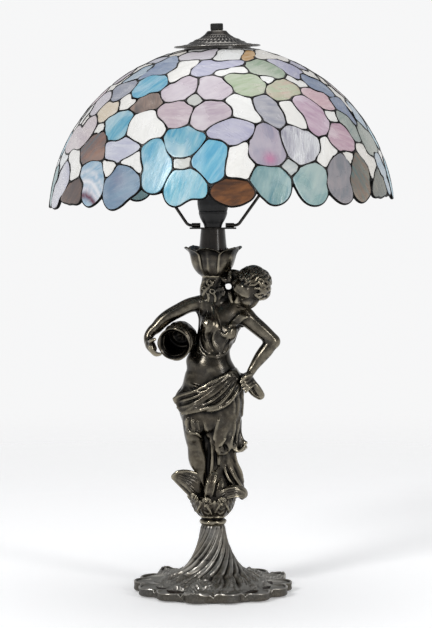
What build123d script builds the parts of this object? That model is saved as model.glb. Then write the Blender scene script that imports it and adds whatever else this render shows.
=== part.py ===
from build123d import *
import math
import os

import numpy as np

# ---------------------------------------------------------------------------
# Leaded-glass table lamp with a cast figure stem.
# Millimetres, +Z up, origin at the middle of the felt under the foot,
# front of the lamp towards -Y.
# ---------------------------------------------------------------------------

# --- overall
SHADE_R = 198.5            # radius of the domed shade, mid-thickness of the glass
SHADE_DROP = 215.2         # dome centre below the seat
SEAT = (4.5, 0.0, 650.0)   # seat of the shade on top of the harp
SHADE_LEAN = -1.5          # degrees about Y: the shade hangs a little to one side
GLASS_T = 2.7              # sheet glass thickness
GLASS_INSET = 1.25         # glass edge to seam centre line
FOIL_INSET = 0.55          # foil outer edge to seam centre line
FOIL_T = 3.5               # height of the foil and its solder
PHI_TOP = 11.5             # upper edge of the glass, degrees from the pole
PHI_GROUND = 78.5          # lower edge of the ground glass

# --- foot and stem
FELT_R, FELT_T = 80.0, 1.5
FOOT_R, FOOT_LOBES, FOOT_LOBE_R = 93.5, 14, 17.5
FOOT_VALLEY_R = 87.0
FOOT_RIM_Z = 11.5
RECESS_R, RECESS_Z = 72.0, 9.0
PIPE_R, PIPE_BORE = 5.0, 3.7
PIPE_Z0, PIPE_Z1 = 3.0, 435.0
BORE_R = 5.3               # clearance hole for the pipe in every casting
CORD_R, CORD_Z = 2.9, 6.0  # cord bush bore and its height

# --- lampholder and bulb (E27 sizes)
SHELL_R = 13.55
CAP_R = 13.1
BULB_R = 30.0

# --- harp
ROD_R = 1.75
HARP_HALF = 58.0

os.makedirs("parts", exist_ok=True)


# ---------------------------------------------------------------------------
# helpers
# ---------------------------------------------------------------------------
def turned(points):
    """Solid of revolution about Z from (radius, z) points."""
    return revolve(make_face(Polyline(*[(r, 0, z) for r, z in points], close=True)), axis=Axis.Z)


def rod(p, q, r1, r2=None):
    """Round rod or cone from point p to point q."""
    p, q = Vector(*p), Vector(*q)
    plane = Plane(origin=p, z_dir=(q - p).normalized())
    length = (q - p).length
    if r2 is None or abs(r1 - r2) < 1e-6:
        return Part() + Solid.make_cylinder(r1, length, plane)
    return Part() + Solid.make_cone(r1, r2, length, plane)


def ball(p, r):
    return Pos(*p) * Sphere(r)


def hexagon(across_flats, z0, z1, bore):
    body = Pos(0, 0, z0) * extrude(RegularPolygon(across_flats / 2, 6, major_radius=False, rotation=30), z1 - z0)
    return body - Pos(0, 0, z0 - 1) * Cylinder(bore, z1 - z0 + 2, align=(Align.CENTER, Align.CENTER, Align.MIN))


def disc(r, z0, z1, bore=0.0):
    d = Pos(0, 0, z0) * Cylinder(r, z1 - z0, align=(Align.CENTER, Align.CENTER, Align.MIN))
    if bore:
        d -= Pos(0, 0, z0 - 1) * Cylinder(bore, z1 - z0 + 2, align=(Align.CENTER, Align.CENTER, Align.MIN))
    return d


def write(name, shape, pcurves=True):
    export_step(shape, "parts/%s.step" % name, write_pcurves=pcurves)


SEAT_LOC = Location(SEAT, (0, SHADE_LEAN, 0))     # frame of everything above the harp


def seated(shape):
    return SEAT_LOC * shape


# ---------------------------------------------------------------------------
# foot
# ---------------------------------------------------------------------------
write("felt_pad", disc(FELT_R, 0, FELT_T))

foot = turned([(0, FELT_T), (FOOT_VALLEY_R, FELT_T), (FOOT_VALLEY_R, FOOT_RIM_Z), (75, 12.5), (60, 14.5), (48, 18),
               (40, 22), (33, 29), (28, 36), (24, 44), (21, 52), (18.5, 60), (17, 68), (16, 79), (0, 79)])
for k in range(FOOT_LOBES):
    a = math.radians(-90 + 360 / FOOT_LOBES * (k + 0.5))
    rc = FOOT_R - FOOT_LOBE_R
    foot += Pos(rc * math.cos(a), rc * math.sin(a), FELT_T) * Cylinder(
        FOOT_LOBE_R, FOOT_RIM_Z - FELT_T, align=(Align.CENTER, Align.CENTER, Align.MIN))
foot -= disc(RECESS_R, 0, RECESS_Z)
foot -= disc(BORE_R, 0, 90)
foot -= rod((0, 60, CORD_Z), (0, 100, CORD_Z), CORD_R + 0.72)
write("foot_casting", foot)

ballast = disc(70, 3.2, RECESS_Z, 30)
ballast -= Pos(0, 50, 6) * Box(10, 60, 20)
write("ballast_ring", ballast)

bush = rod((0, 71, CORD_Z), (0, 87.4, CORD_Z), CORD_R + 0.7) + rod((0, 87.4, CORD_Z), (0, 89.6, CORD_Z), 4.8)
bush -= rod((0, 60, CORD_Z), (0, 100, CORD_Z), CORD_R)
write("cord_bush", bush)

write("lamp_pipe", disc(PIPE_R, PIPE_Z0, PIPE_Z1, PIPE_BORE))
write("pipe_washer", disc(13, 7.6, RECESS_Z, BORE_R))
write("pipe_nut", hexagon(17, 3.6, 7.6, PIPE_R + 0.05))

# ---------------------------------------------------------------------------
# cast stem: collar, leaf cup, figure, stem and tulip cup
# ---------------------------------------------------------------------------
write("collar_ring", turned([(BORE_R, 79), (14, 79), (15.8, 81), (15.8, 84), (13.5, 85.5), (13.5, 87), (16, 88.5),
                             (16, 90), (15, 91), (BORE_R, 91)]))
write("leaf_cup", turned([(BORE_R, 91), (16, 91), (19.5, 95), (22.5, 101), (24.5, 108), (25.5, 113), (BORE_R, 113)]))


def leaf(points, half):
    face = make_face(Polyline(*[(x, half, z) for x, z in points], close=True))
    return extrude(face, amount=2 * half, dir=(0, -1, 0))


write("cup_leaf_left", leaf([(-19.6, 113), (-24, 113), (-34, 124), (-47.5, 135), (-45, 139), (-37, 140), (-27, 135),
                             (-22, 126)], 7))
write("cup_leaf_right", leaf([(19.6, 113), (24.5, 113), (38, 113.5), (39.5, 118), (36, 125), (28, 128), (22, 126)], 7))

# (z, centre x, half width, half depth) of the robed figure, ankles to shoulders
FIGURE = [(113, 0, 17, 14), (130, 0.5, 19, 15), (152, 1, 25.6, 18), (176, 4.6, 31, 21), (200, -1.7, 33, 22),
          (223, -4.6, 41, 26), (246, 2, 35, 25), (270, -4, 27, 20), (293, 0.6, 25, 19), (310, 8.7, 28, 20),
          (335, 12, 33, 19)]
WALL = 4.5
body = loft([Pos(cx, 0, z) * Ellipse(rx, ry) for z, cx, rx, ry in FIGURE], ruled=True)
cavity = loft([Pos(cx, 0, z + (5 if i == 0 else -5 if i == len(FIGURE) - 1 else 0)) * Ellipse(rx - WALL, ry - WALL)
               for i, (z, cx, rx, ry) in enumerate(FIGURE)], ruled=True)
shaft = disc(BORE_R, 100, 350)
write("figure_body", body - cavity - shaft)

stem = turned([(BORE_R, 335), (13.5, 335), (13, 345), (14.5, 352), (12, 360), (12, 369), (BORE_R, 369)])
write("support_stem", stem)

below = Pos(0, 0, 285) * Box(300, 300, 100)     # everything under the shoulder plane
head = ball((47, -4, 359), 19.5) + rod((32, 0, 328), (46, -3.5, 357), 9.5, 8.5)
write("figure_head", head - below - stem)

JAR_X, JAR_Z = -47.0, 286.0
jar_out = [(0, 18), (11, 18), (16, 10), (19, -2), (17.5, -13), (14.5, -22), (17.5, -30)]
jar_in = [(15.3, -30), (12.3, -22), (15.2, -13), (16.6, -2), (13.8, 8), (9.5, 15.5), (0, 15.5)]


def about_jar(points):
    face = make_face(Polyline(*[(r, y, 0) for r, y in points], close=True))
    return Pos(JAR_X, 0, JAR_Z) * revolve(face, axis=Axis.Y)


jar_full = about_jar(jar_out + [(0, -30)])
write("water_jar", about_jar(jar_out + jar_in))

arm_r = (rod((-8, -1, 341), (-62, -6, 321), 8.2, 7.0) + ball((-62, -6, 321), 7.0)
         + rod((-62, -6, 321), (-76, -11, 299), 7.0, 5.6) + ball((-76, -11, 299), 5.6)
         + rod((-76, -11, 299), (-66, -16, 281), 5.6, 5.0) + ball((-66, -16, 281), 5.0))
arm_r = arm_r - body - stem - jar_full
write("figure_arm_right", arm_r)
arm_l = (rod((30, 0, 324), (75, -2, 293), 8.5, 6.6) + ball((75, -2, 293), 6.6)
         + rod((75, -2, 293), (44, -6, 257), 6.6, 4.8) + ball((44, -6, 257), 4.8))
arm_l = arm_l - body
write("figure_arm_left", arm_l)
drape = rod((46, -1, 241), (57, -1, 229), 5.5) + ball((46, -1, 241), 5.5) + ball((57, -1, 229), 5.5)
write("hip_drape", drape - body - arm_l)

cup = turned([(BORE_R, 369), (12, 369), (17, 374), (22, 383), (26, 393), (33, 404), (30.5, 404), (24, 394.5),
              (19.8, 384.5), (14.5, 376), (13, 373), (BORE_R, 373)])
for k in range(6):      # V notches between the six petals
    notch = extrude(make_face(Polyline((15, -8, 408), (15, 8, 408), (15, 0, 388), close=True)), amount=40, dir=(1, 0, 0))
    cup -= Rot(0, 0, 60 * k + 30) * notch
write("tulip_cup", cup)
write("socket_neck", turned([(BORE_R, 373), (12, 373), (13.5, 385), (16.2, 400), (15, 412), (14, 424), (BORE_R, 424)]))

# ---------------------------------------------------------------------------
# harp
# ---------------------------------------------------------------------------
saddle = Pos(0, 0, 424.75) * Box(54, 12, 1.5) - disc(BORE_R, 420, 430)
write("harp_saddle", saddle)
FERRULE_Z = 428.2
ferrules = []
for s in (-1, 1):
    f = rod((s * 14.5, 0, FERRULE_Z), (s * 24.5, 0, FERRULE_Z), 2.6) - rod((s * 14, 0, FERRULE_Z), (s * 28, 0, FERRULE_Z), ROD_R + 0.04)
    ferrules.append(f.solids()[0])
write("harp_ferrules", Compound(children=ferrules))

crown = Pos(0, 0, -2.8) * Box(17, 10, 3) - disc(3.05, -6, 0)
crown = seated(crown)
write("harp_crown", crown)
for s, name in ((-1, "harp_arm_left"), (1, "harp_arm_right")):
    def lean(z):
        return SEAT[0] * (z - FERRULE_Z) / (SEAT[2] - FERRULE_Z)
    pts = [(s * 15.5, 0, FERRULE_Z), (s * 29, 0, FERRULE_Z), (s * HARP_HALF + lean(470), 0, 470),
           (s * HARP_HALF + lean(604), 0, 604), (s * 7.6 + SEAT[0], 0, SEAT[2] - 3.0)]
    path = FilletPolyline(*pts, radius=[7, 26, 44])
    arm = sweep(Plane(origin=path @ 0, z_dir=path % 0) * Circle(ROD_R), path=path)
    write(name, arm - crown)
write("harp_stud", seated(disc(3.0, -9, 8.5)))
write("stud_nut", seated(hexagon(10, -8.3, -4.3, 3.05)))

# ---------------------------------------------------------------------------
# lampholder and bulb
# ---------------------------------------------------------------------------
write("lampholder_cap", turned([(PIPE_R + 0.05, 425.6), (10, 425.6), (10.6, 428), (13, 433), (16, 440), (16.6, 445),
                                (13.2, 445), (12.6, 440), (9.5, 436), (PIPE_R + 0.05, 436)]))
write("lampholder_body", turned([(14.35, 445), (16.8, 445), (18, 452), (18.2, 462), (19.4, 464), (19.4, 480),
                                 (18.6, 482), (14.35, 482)]))
write("socket_shell", turned([(SHELL_R, 449), (14.25, 449), (14.25, 478), (SHELL_R, 478)]))
insert = disc(14.25, 445.2, 449)
for s in (-1, 1):
    insert -= Pos(s * 7, 0, 440) * Cylinder(1.65, 20)
write("socket_insert", insert)
write("centre_contact", Pos(0, 0, 449.9) * Box(9, 5, 1.8))
screws = []
for s in (-1, 1):
    sc = Pos(s * 7, 0, 443.2) * Cylinder(2.6, 2.0, align=(Align.CENTER, Align.CENTER, Align.MIN))
    sc += Pos(s * 7, 0, 445.2) * Cylinder(1.6, 3.6, align=(Align.CENTER, Align.CENTER, Align.MIN))
    screws.append(sc.solids()[0])
write("terminal_screws", Compound(children=screws))

write("bulb_contact", disc(4.5, 451.4, 453))
write("bulb_cap", turned([(0, 453), (6, 453), (11.5, 456), (CAP_R, 458), (CAP_R, 479), (12.2, 479), (12.2, 459),
                          (10.8, 457), (5.6, 454.2), (0, 454.2)]))
GLOBE = [(11.9, 474), (11.9, 479.4), (13.4, 484), (16.5, 493), (22, 503), (27, 513), (29.6, 523), (30, 531), (28.6, 541), (24, 551),
         (16, 557.5), (8, 560), (0, 560.6)]
write("bulb_globe", turned(GLOBE + [(0, 559.6), (7.6, 559), (15.4, 556.6), (23.2, 550.3), (27.6, 540.7), (29, 531),
                                    (28.6, 523.2), (26.1, 513.4), (21.2, 503.6), (15.6, 493.5), (12.5, 484.6), (11.1, 479.4),
                                    (11.1, 474)]))
write("bulb_stem", turned([(0, 474), (10.9, 474), (8, 478), (3.2, 482), (2.4, 505), (0, 505)]))
fil = Part()
for s in (-1, 1):
    fil += rod((s * 1.2, 0, 505.4), (s * 9, 0, 524), 0.5)
fil += rod((-9, 0, 524), (9, 0, 524), 0.7)
write("bulb_filament", fil)

# ---------------------------------------------------------------------------
# seat, cap and finial (drawn in the frame of the seat)
# ---------------------------------------------------------------------------
write("seat_washer", seated(disc(9.5, -1.0, 0.2, 3.3)))
write("shade_cap", seated(turned([(4.2, 2), (11, 2), (14.5, -2), (19, -5.5), (27, -9), (34, -12.5), (42, -15.1),
                                  (50, -15.2), (50, -16.5), (42, -16.5), (33.2, -14.2), (26.4, -10.6), (18.2, -7),
                                  (13.4, -3.6), (10.3, 0.5), (4.2, 0.5)])))
write("shade_ring", seated(turned([(35, -22.4), (38.6, -22.4), (38.6, -16.4), (35, -16.4)])))
knob = disc(7.3, 2.35, 10.5) - disc(3.3, 2, 9.2)
write("finial_knob", seated(knob))

# ---------------------------------------------------------------------------
# leaded glass: petals, leaves and ground pieces laid out on the dome
# ---------------------------------------------------------------------------
# PANES: colour, turn from the front, angle from the pole, and the outline as distances along 24 rays.
# PETALS, at the sides: colour, turn, angle, half sizes, turn of the piece, kind (0 petal, 1 pointed leaf,
# 2 flower centre). GROUND: middles of the plain pieces between them. The far half is the same, turned 180 degrees.
PANES = [
    ("pearl", -69.4, 76.6, (24.5, 27.8, 28.4, 28.5, 29.1, 30, 27, 21.1, 20.2, 17.6, 14.8, 15.6, 22.3, 23, 29.5, 34.2, 31.7, 27.8, 25.7, 21.2, 16.6, 18.2, 19.6, 21.9)),
    ("brown", -58.1, 79.1, (20.2, 21.9, 22.3, 21, 19.3, 17.1, 15.4, 14.1, 14.3, 15.4, 16.6, 17.9, 22.9, 30.3, 21.7, 16.5, 14.7, 13.5, 12.8, 13, 14.8, 18, 21.3, 21.7)),
    ("steel", -47.7, 75.5, (21.4, 20.7, 21, 21.5, 24.6, 25.6, 25.1, 26, 27.1, 28.5, 27.8, 22.8, 16.5, 15.2, 18.2, 21.8, 25, 27.3, 28.2, 26.7, 25.7, 25.1, 24.1, 22.5)),
    ("steel", -34.7, 77.0, (27.6, 27.1, 26.2, 25.5, 24.8, 24.8, 25, 24.9, 22.2, 20.7, 22.4, 24, 23.8, 24.8, 26.6, 27.9, 28.8, 26.9, 23.5, 21, 19.3, 19.2, 21, 24.7)),
    ("blue", -22.3, 70.3, (21.1, 21, 20.2, 19.6, 21.8, 28.6, 32.8, 32.6, 29.7, 26.5, 21.5, 17.6, 15.2, 15, 16.5, 20.5, 27.9, 31.3, 32.4, 31.9, 26.2, 22, 21.1, 21.2)),
    ("blue", -11.8, 77.4, (26, 24.5, 23.1, 22.4, 22, 21.6, 19.8, 20.4, 22.9, 22.6, 22, 22.3, 23.7, 24.7, 25.8, 26, 24.9, 21.5, 17.4, 15.7, 15.7, 18.5, 26.4, 27.2)),
    ("centre", -12.9, 69.7, (9.9, 10.7, 12.8, 11.3, 7.4, 6.3, 6.3, 6.4, 7.2, 9.2, 11.1, 10.9, 10.5, 10.7, 11, 9.5, 8.4, 8, 7.8, 7.9, 8.4, 8.8, 9.7, 10.4)),
    ("blue", -3.1, 69.0, (16.5, 18.6, 21.4, 24.7, 25.5, 24.2, 23.7, 23.5, 20.6, 19.1, 19.6, 21.4, 22.6, 22.1, 19.8, 19.1, 20, 22.7, 26.8, 25.9, 24.6, 20.9, 17.9, 16.6)),
    ("blue", -13.1, 62.3, (24, 25.4, 22.6, 19.2, 19.7, 19.9, 18.9, 17.8, 19.4, 23, 23.7, 22.9, 21.8, 21.2, 21, 21.1, 21.4, 20.5, 20.2, 20.1, 20.4, 20.5, 20.9, 21.9)),
    ("brown", 3.6, 79.4, (25.3, 22.9, 19.8, 17.9, 16.2, 15.5, 15.5, 15.7, 17.2, 18.8, 21.4, 24.2, 25.3, 22.9, 19.7, 17.6, 16.4, 16.2, 16, 15.9, 16.9, 18.1, 20.5, 24.1)),
    ("teal", 16.6, 77.2, (22.7, 22.3, 21.8, 21.6, 21.4, 20.5, 19.8, 21.3, 25, 26.1, 25.5, 24.8, 22.8, 20.1, 19.3, 19.3, 19.7, 22.3, 23.8, 24.1, 24.2, 24, 23.7, 22.9)),
    ("teal", 30.8, 77.6, (19.2, 22.2, 24.5, 26.4, 25.8, 24.3, 23.3, 22.7, 22.4, 22.1, 23.8, 25.2, 23.3, 21.9, 21.9, 22.4, 23.5, 24.3, 24.7, 25, 24.8, 23.9, 22.9, 20.3)),
    ("grey", 42.9, 76.3, (15.4, 19.8, 25.3, 26.8, 29.4, 30, 27, 24.4, 22.7, 21.8, 20.7, 19.2, 21.6, 23.3, 24.9, 25.5, 26, 27.8, 29.1, 29.3, 27.9, 23.2, 17.8, 15.3)),
    ("brown", 53.3, 76.6, (19.1, 21.5, 24.7, 25.1, 26.6, 30.7, 29.2, 23.2, 21.1, 18.3, 17.4, 19.2, 21.4, 22.3, 24.3, 26.5, 27.9, 28.6, 27.1, 24.6, 23.8, 22.8, 19.9, 18.2)),
    ("grey", 64.8, 79.5, (21.5, 21.4, 21.3, 17.6, 20.6, 20.9, 18.2, 16.7, 15.1, 14.1, 14.4, 17.1, 19.2, 22.6, 22.5, 18.2, 14.7, 13.7, 13.9, 14.3, 15.4, 17.2, 22.3, 25.2)),
    ("ice", 59.5, 41.0, (19.7, 18.8, 18, 17.4, 15.6, 16, 17.4, 23.8, 24.1, 24.4, 24.3, 23.1, 22.8, 20.8, 18, 15.2, 14.2, 16.8, 20.5, 20.4, 23, 23.9, 22.2, 20.2)),
    ("green", 68.7, 64.0, (24.6, 24.2, 21.1, 18.8, 19.2, 20.8, 21.9, 20.9, 21.4, 22.2, 21.5, 20.7, 20.2, 20.4, 23.4, 23.8, 21.7, 18.6, 15.4, 16, 18.4, 23, 26, 25.7)),
    ("ice", 72.9, 75.1, (15.9, 16.1, 15.1, 14, 16.8, 22.7, 23.4, 24.8, 25.4, 21.4, 20.8, 14.4, 14.9, 13.2, 9.6, 11.3, 15.3, 18.9, 25.2, 29.2, 28.8, 19.7, 10.7, 11.3)),
    ("white", 60.8, 70.9, (20.2, 17.3, 13.5, 12.1, 12.5, 19.3, 21.3, 22.8, 24.9, 24.5, 19, 12.7, 9.3, 8.5, 8, 8.2, 9.6, 17, 23.5, 19.2, 17.3, 17.7, 19.2, 20)),
    ("white", 6.3, 69.6, (15.5, 13, 12.7, 15.2, 24.2, 24.3, 19.6, 19.3, 20, 17, 14.7, 14.5, 14.9, 16.2, 19.2, 22.3, 21.4, 19.2, 19.5, 20.8, 20.5, 18.3, 18, 18.1)),
    ("white", -61.1, 69.4, (15.7, 13, 12.7, 13, 14.4, 16.8, 16.9, 17.3, 20.6, 25.1, 26.5, 22.4, 12.7, 10.4, 9.3, 9.1, 10, 13.6, 19.9, 21.4, 21.3, 23.6, 22.7, 20.6)),
    ("brown", -51.6, 64.2, (22.1, 19.5, 20.7, 22.4, 22.7, 22.7, 19.6, 19.8, 20.4, 20.3, 20.4, 23.3, 26, 24, 23.3, 23.3, 22.2, 18.6, 16.3, 16.1, 17.4, 21.7, 26.9, 25.5)),
    ("lilac", -37.4, 64.6, (26.5, 25.2, 19.3, 16.9, 16.3, 15.7, 14.1, 13.3, 13, 14.4, 21.4, 26, 22.5, 22, 21.7, 18.6, 15.9, 15.5, 16.5, 14.9, 14.6, 15.5, 17.4, 20.8)),
    ("white", -40.8, 70.8, (10.1, 10.7, 10.8, 10.5, 9.2, 8.3, 8.4, 8.8, 10, 12.2, 12.6, 10.5, 9.3, 8.8, 8.5, 8.1, 9.1, 10.7, 11.4, 11, 10.3, 9.8, 9.6, 9.5)),
    ("white", -30.4, 69.3, (9.8, 9.1, 9.4, 10.5, 13.4, 14.8, 13, 11.2, 10.8, 11.1, 12.7, 16.5, 18.8, 10.4, 8, 6.3, 5.8, 6, 6.7, 9, 13.6, 16.9, 14.3, 11.4)),
    ("white", -29.1, 56.7, (25.6, 21.9, 18.4, 17.2, 18.8, 23.1, 23.3, 22.5, 23.2, 24.9, 24.9, 23.9, 23.3, 23.8, 22.8, 20.6, 20.3, 20.4, 21.6, 22.2, 19.5, 21.3, 26.9, 27.8)),
    ("blue", -43.0, 55.7, (17.3, 17.8, 21, 22.5, 21.8, 20.5, 20, 19.9, 19.8, 20.1, 23.2, 24.7, 21, 18.6, 18.4, 18.9, 18, 20.2, 20.5, 21.8, 22.7, 23.1, 21.2, 19.1)),
    ("white", -52.9, 57.0, (8.4, 8.9, 9.1, 8.1, 7.8, 7.8, 7.8, 7.9, 8.5, 9.1, 8.4, 8.1, 8, 8.7, 9.9, 9.6, 7.3, 6.6, 6.8, 7.9, 8.2, 7.5, 7.8, 9.5)),
    ("pearl", -66.6, 59.2, (31.6, 33.9, 33.7, 31.6, 29.8, 26.1, 24.4, 18.7, 11.4, 16.2, 28.9, 31.6, 32.9, 35.9, 35.5, 31.9, 27.6, 23.6, 18.6, 19.2, 22.6, 25.2, 27.2, 29.5)),
    ("pearl", -54.6, 50.1, (19.7, 18.5, 18.2, 17.9, 16.9, 14.2, 13.1, 14.3, 17.7, 19.2, 19.2, 19.4, 20.3, 18.5, 15.5, 15.6, 16, 16.7, 17.2, 17.2, 16.3, 14.8, 15.5, 19.2)),
    ("pearl", -67.1, 46.4, (17.7, 20.4, 18.7, 17.6, 17.3, 17.4, 18.3, 20.1, 20.9, 21.4, 22.7, 21.5, 19.1, 17.2, 15.6, 16.4, 18.7, 19.3, 19.8, 20.6, 21.3, 18.6, 16.7, 16.3)),
    ("lilac", -55.8, 40.7, (20.9, 21.1, 20.9, 19.1, 18.8, 18.6, 16.8, 16.1, 16.9, 19.4, 23.4, 25.9, 22.7, 18, 16.2, 15.9, 17.9, 18.8, 19.6, 20.1, 20.3, 19.5, 19.7, 20.7)),
    ("blue", -37.5, 39.0, (24.1, 23.2, 22.6, 22.4, 21.5, 19.3, 19.5, 20.6, 22.3, 22.8, 22, 21, 20.9, 22.2, 23.1, 23.3, 23.4, 21.6, 20.5, 18.4, 15.4, 17.7, 21.8, 23.2)),
    ("white", -44.9, 46.6, (14.9, 13.6, 10.3, 7.8, 7.3, 9.3, 11.6, 14.9, 15.2, 14.6, 15.2, 14.6, 11.4, 10.2, 10.3, 11.2, 11.6, 12.5, 12.7, 12.7, 13.4, 13.4, 12.9, 14.3)),
    ("brown", -32.6, 47.2, (20.7, 19, 16.5, 17.3, 17.9, 16.7, 16.4, 15.9, 14.7, 14.9, 17.5, 16.7, 18.2, 23.2, 20.7, 18.5, 16.9, 16.5, 15.3, 12.8, 12.7, 14.7, 18.5, 19.6)),
    ("pink", -18.8, 41.4, (19.6, 20.4, 21.1, 22.9, 24.2, 24.1, 22.4, 18.5, 15.5, 15.4, 17.3, 19.9, 22.4, 22.6, 23, 23.5, 22.8, 21.9, 19.1, 19.1, 19.6, 18.4, 18.5, 19.7)),
    ("pink", -2.2, 41.2, (21.1, 18.6, 16.9, 17.1, 18.7, 20.2, 21.7, 23, 24.7, 22.6, 19.1, 18.5, 18.9, 19.9, 20, 20.3, 21.3, 18.7, 18.4, 21, 21.6, 22, 22.4, 22.4)),
    ("pink", -17.9, 52.0, (19.3, 21.2, 20.9, 18.4, 18.7, 18.8, 19.2, 18, 18.8, 22, 23.4, 23.4, 21.7, 18.9, 16.6, 16.1, 17.1, 19.4, 20.3, 21, 21.4, 22.1, 20.9, 19.3)),
    ("pink", -3.8, 52.6, (25, 25.6, 24.6, 23.3, 20.7, 19.5, 19.5, 19.7, 19.2, 19.2, 19.5, 19.8, 20.8, 22, 24.1, 24.9, 24.5, 22.6, 17.6, 15.4, 14.8, 15, 17.2, 21.7)),
    ("centre", -10.6, 46.5, (9.3, 8.8, 8.4, 8.3, 8.9, 9.9, 10.4, 10, 9.3, 8.8, 9.1, 9.5, 9.3, 9.3, 9.2, 9.2, 9.2, 8.8, 9.4, 9.9, 9.6, 9.6, 9.8, 10)),
    ("lilac", 4.5, 59.0, (25.2, 27, 23.4, 19.6, 18, 17.1, 16.7, 16.4, 16.3, 17.5, 20, 24.6, 28.3, 26.2, 18.7, 16.8, 17.1, 18.5, 18.9, 18.7, 18.5, 18.1, 20.1, 23.3)),
    ("white", 10.0, 50.4, (12.8, 12.6, 13.5, 16.3, 17.1, 17.2, 19.2, 22.9, 22.9, 23.3, 22.4, 15.2, 12.9, 13.3, 15.7, 17.5, 16.3, 16.2, 17.2, 20.5, 24.9, 26.2, 19.3, 13.5)),
    ("lilac", 20.7, 51.7, (15, 14.3, 14.7, 16.3, 18.4, 21.6, 23.8, 23.5, 23.6, 22.2, 19.1, 16.9, 16, 15, 14.7, 15, 17.6, 19.5, 23.2, 26, 24.6, 21.7, 18.5, 16.6)),
    ("white", 30.4, 53.6, (12.3, 11.4, 11.3, 12, 14.7, 20.1, 20.6, 20.7, 21.9, 18.2, 13.5, 11.7, 11.3, 12, 14.7, 16.5, 16.1, 16, 17.7, 21.1, 21.9, 18.8, 15.5, 13.6)),
    ("rose", 40.0, 53.8, (19.4, 20.9, 21.5, 21.7, 22.9, 25.5, 28.3, 29.7, 30, 26.7, 20.7, 16.5, 14.5, 14.9, 17.1, 22, 27.7, 29.6, 27.8, 27.1, 25.3, 23.7, 23.2, 20.4)),
    ("white", 50.4, 54.4, (8.5, 10.1, 12.9, 9.5, 8.2, 7.9, 7.8, 8.6, 9.4, 10.8, 11, 10.9, 10.8, 11.2, 11, 10.9, 9.9, 9.5, 9.5, 9.8, 10.2, 9.9, 9.1, 8.6)),
    ("rose", 49.6, 62.5, (21, 20.4, 20.6, 21.3, 20.8, 19.5, 19.4, 19.9, 19, 18.3, 19.2, 21, 22.7, 23.2, 21.8, 19.9, 18.2, 17.3, 17.5, 19, 20, 21.1, 22.3, 23)),
    ("ripple", 29.3, 64.6, (25.8, 25.7, 24.1, 22.6, 20.6, 21, 23.4, 25.6, 27.1, 26.8, 25.4, 22.8, 21.7, 21.5, 22.6, 23.7, 24, 25.3, 23.7, 22.8, 22.5, 22.7, 24, 25.1)),
    ("mauve", 16.5, 64.7, (18.8, 18.7, 20.2, 24, 26.3, 28.1, 28.7, 27.4, 22.8, 20, 19.5, 20.1, 21.7, 23.8, 24.8, 24.9, 24.7, 24.3, 24.3, 24.9, 25.5, 25.3, 24.4, 21)),
    ("white", 39.1, 67.5, (18.1, 16.8, 15.5, 15.6, 18.7, 20.8, 18.5, 14.1, 10.9, 8.8, 8.3, 8.6, 10.2, 15.1, 19.3, 19.2, 19.9, 18.3, 13.3, 11, 10.3, 10.2, 10.5, 14.6)),
    ("centre", 23.5, 71.9, (9.6, 10.4, 9.4, 8.3, 8.4, 9.2, 9.8, 9.9, 9.3, 9, 9.4, 10.9, 10.8, 9.3, 8.2, 8, 8.4, 9.8, 10.4, 9.7, 9.1, 9.8, 10.2, 9.8)),
    ("white", 49.6, 69.3, (9.3, 9.8, 8.6, 8, 7.1, 6.8, 7, 7.4, 8, 8.4, 9.6, 8.8, 7.8, 7.4, 7.4, 6.8, 7.3, 9.5, 9.6, 8, 6.5, 6.9, 7.5, 7.8)),
    ("lilac", -2.4, 29.1, (24.1, 35.5, 34.1, 20.6, 14.4, 13.5, 13.7, 17.6, 19.2, 20.3, 20.7, 21.4, 23.8, 27.3, 30.1, 29.7, 23.9, 21.2, 14.6, 10.6, 10.3, 11.2, 13.9, 16.9)),
    ("white", 7.9, 32.3, (20.2, 19.6, 18, 14.4, 11, 9.5, 8.6, 7.5, 6.7, 7.3, 8.9, 13.9, 19.3, 20.8, 19.6, 15, 8, 6.2, 5.6, 5.5, 5.9, 6.7, 9.6, 16.8)),
    ("green", 30.8, 31.3, (22.6, 20.3, 20.7, 21.2, 21.4, 22.4, 22.5, 21.9, 21.4, 22, 22.3, 22.4, 22.7, 23.4, 21.8, 19.3, 16.7, 16.9, 18.7, 23, 21.7, 23.4, 24, 23.7)),
    ("green", 14.0, 39.6, (23.6, 21.6, 21.6, 22.7, 21.4, 18.2, 17.4, 18.9, 23.9, 26.5, 26.8, 22.8, 18.8, 17.4, 19.7, 20.8, 21.6, 21.9, 21.2, 21.3, 22.5, 23.5, 22.7, 22.7)),
    ("green", 31.7, 42.8, (23.7, 24.6, 23.5, 22.2, 21.3, 17.8, 17.1, 16.1, 15, 15.6, 18.6, 20.4, 23.1, 24.2, 24.2, 23.4, 20.6, 18.2, 16.1, 14.6, 14, 14.8, 19.2, 22.6)),
    ("white", 26.6, 37.5, (9.5, 10.5, 9, 7.8, 7.2, 6.8, 7.1, 7.6, 8.6, 9.2, 9, 8.6, 8.3, 8.1, 8, 7.4, 7.7, 9.8, 8.5, 7.5, 7.3, 7.3, 7.6, 8.2)),
    ("white", -23.2, 30.7, (11.3, 11.8, 16.3, 21.6, 25.2, 24.2, 22.3, 23.4, 21.6, 13.2, 10.7, 10.8, 12.1, 15.9, 18.1, 18.9, 21.6, 26.8, 25, 18.5, 17.2, 17.1, 15.3, 13.4)),
    ("ice", -42.2, 28.0, (22.8, 20.1, 19.3, 20.2, 21.6, 24.1, 28.7, 30.5, 22.9, 18.1, 17.7, 15.4, 14.5, 17.3, 18.1, 23.8, 33.3, 25.2, 19.5, 20.3, 22.5, 25.1, 24.2, 23.6)),
    ("pearl", -18.4, 18.5, (19.6, 19.3, 19.8, 24.5, 28.3, 19.2, 9.6, 9.7, 11.2, 16.7, 20.7, 21, 24, 25.2, 25.4, 25.6, 22.5, 20.9, 18.1, 17.9, 21, 24, 22.7, 20.5)),
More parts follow.
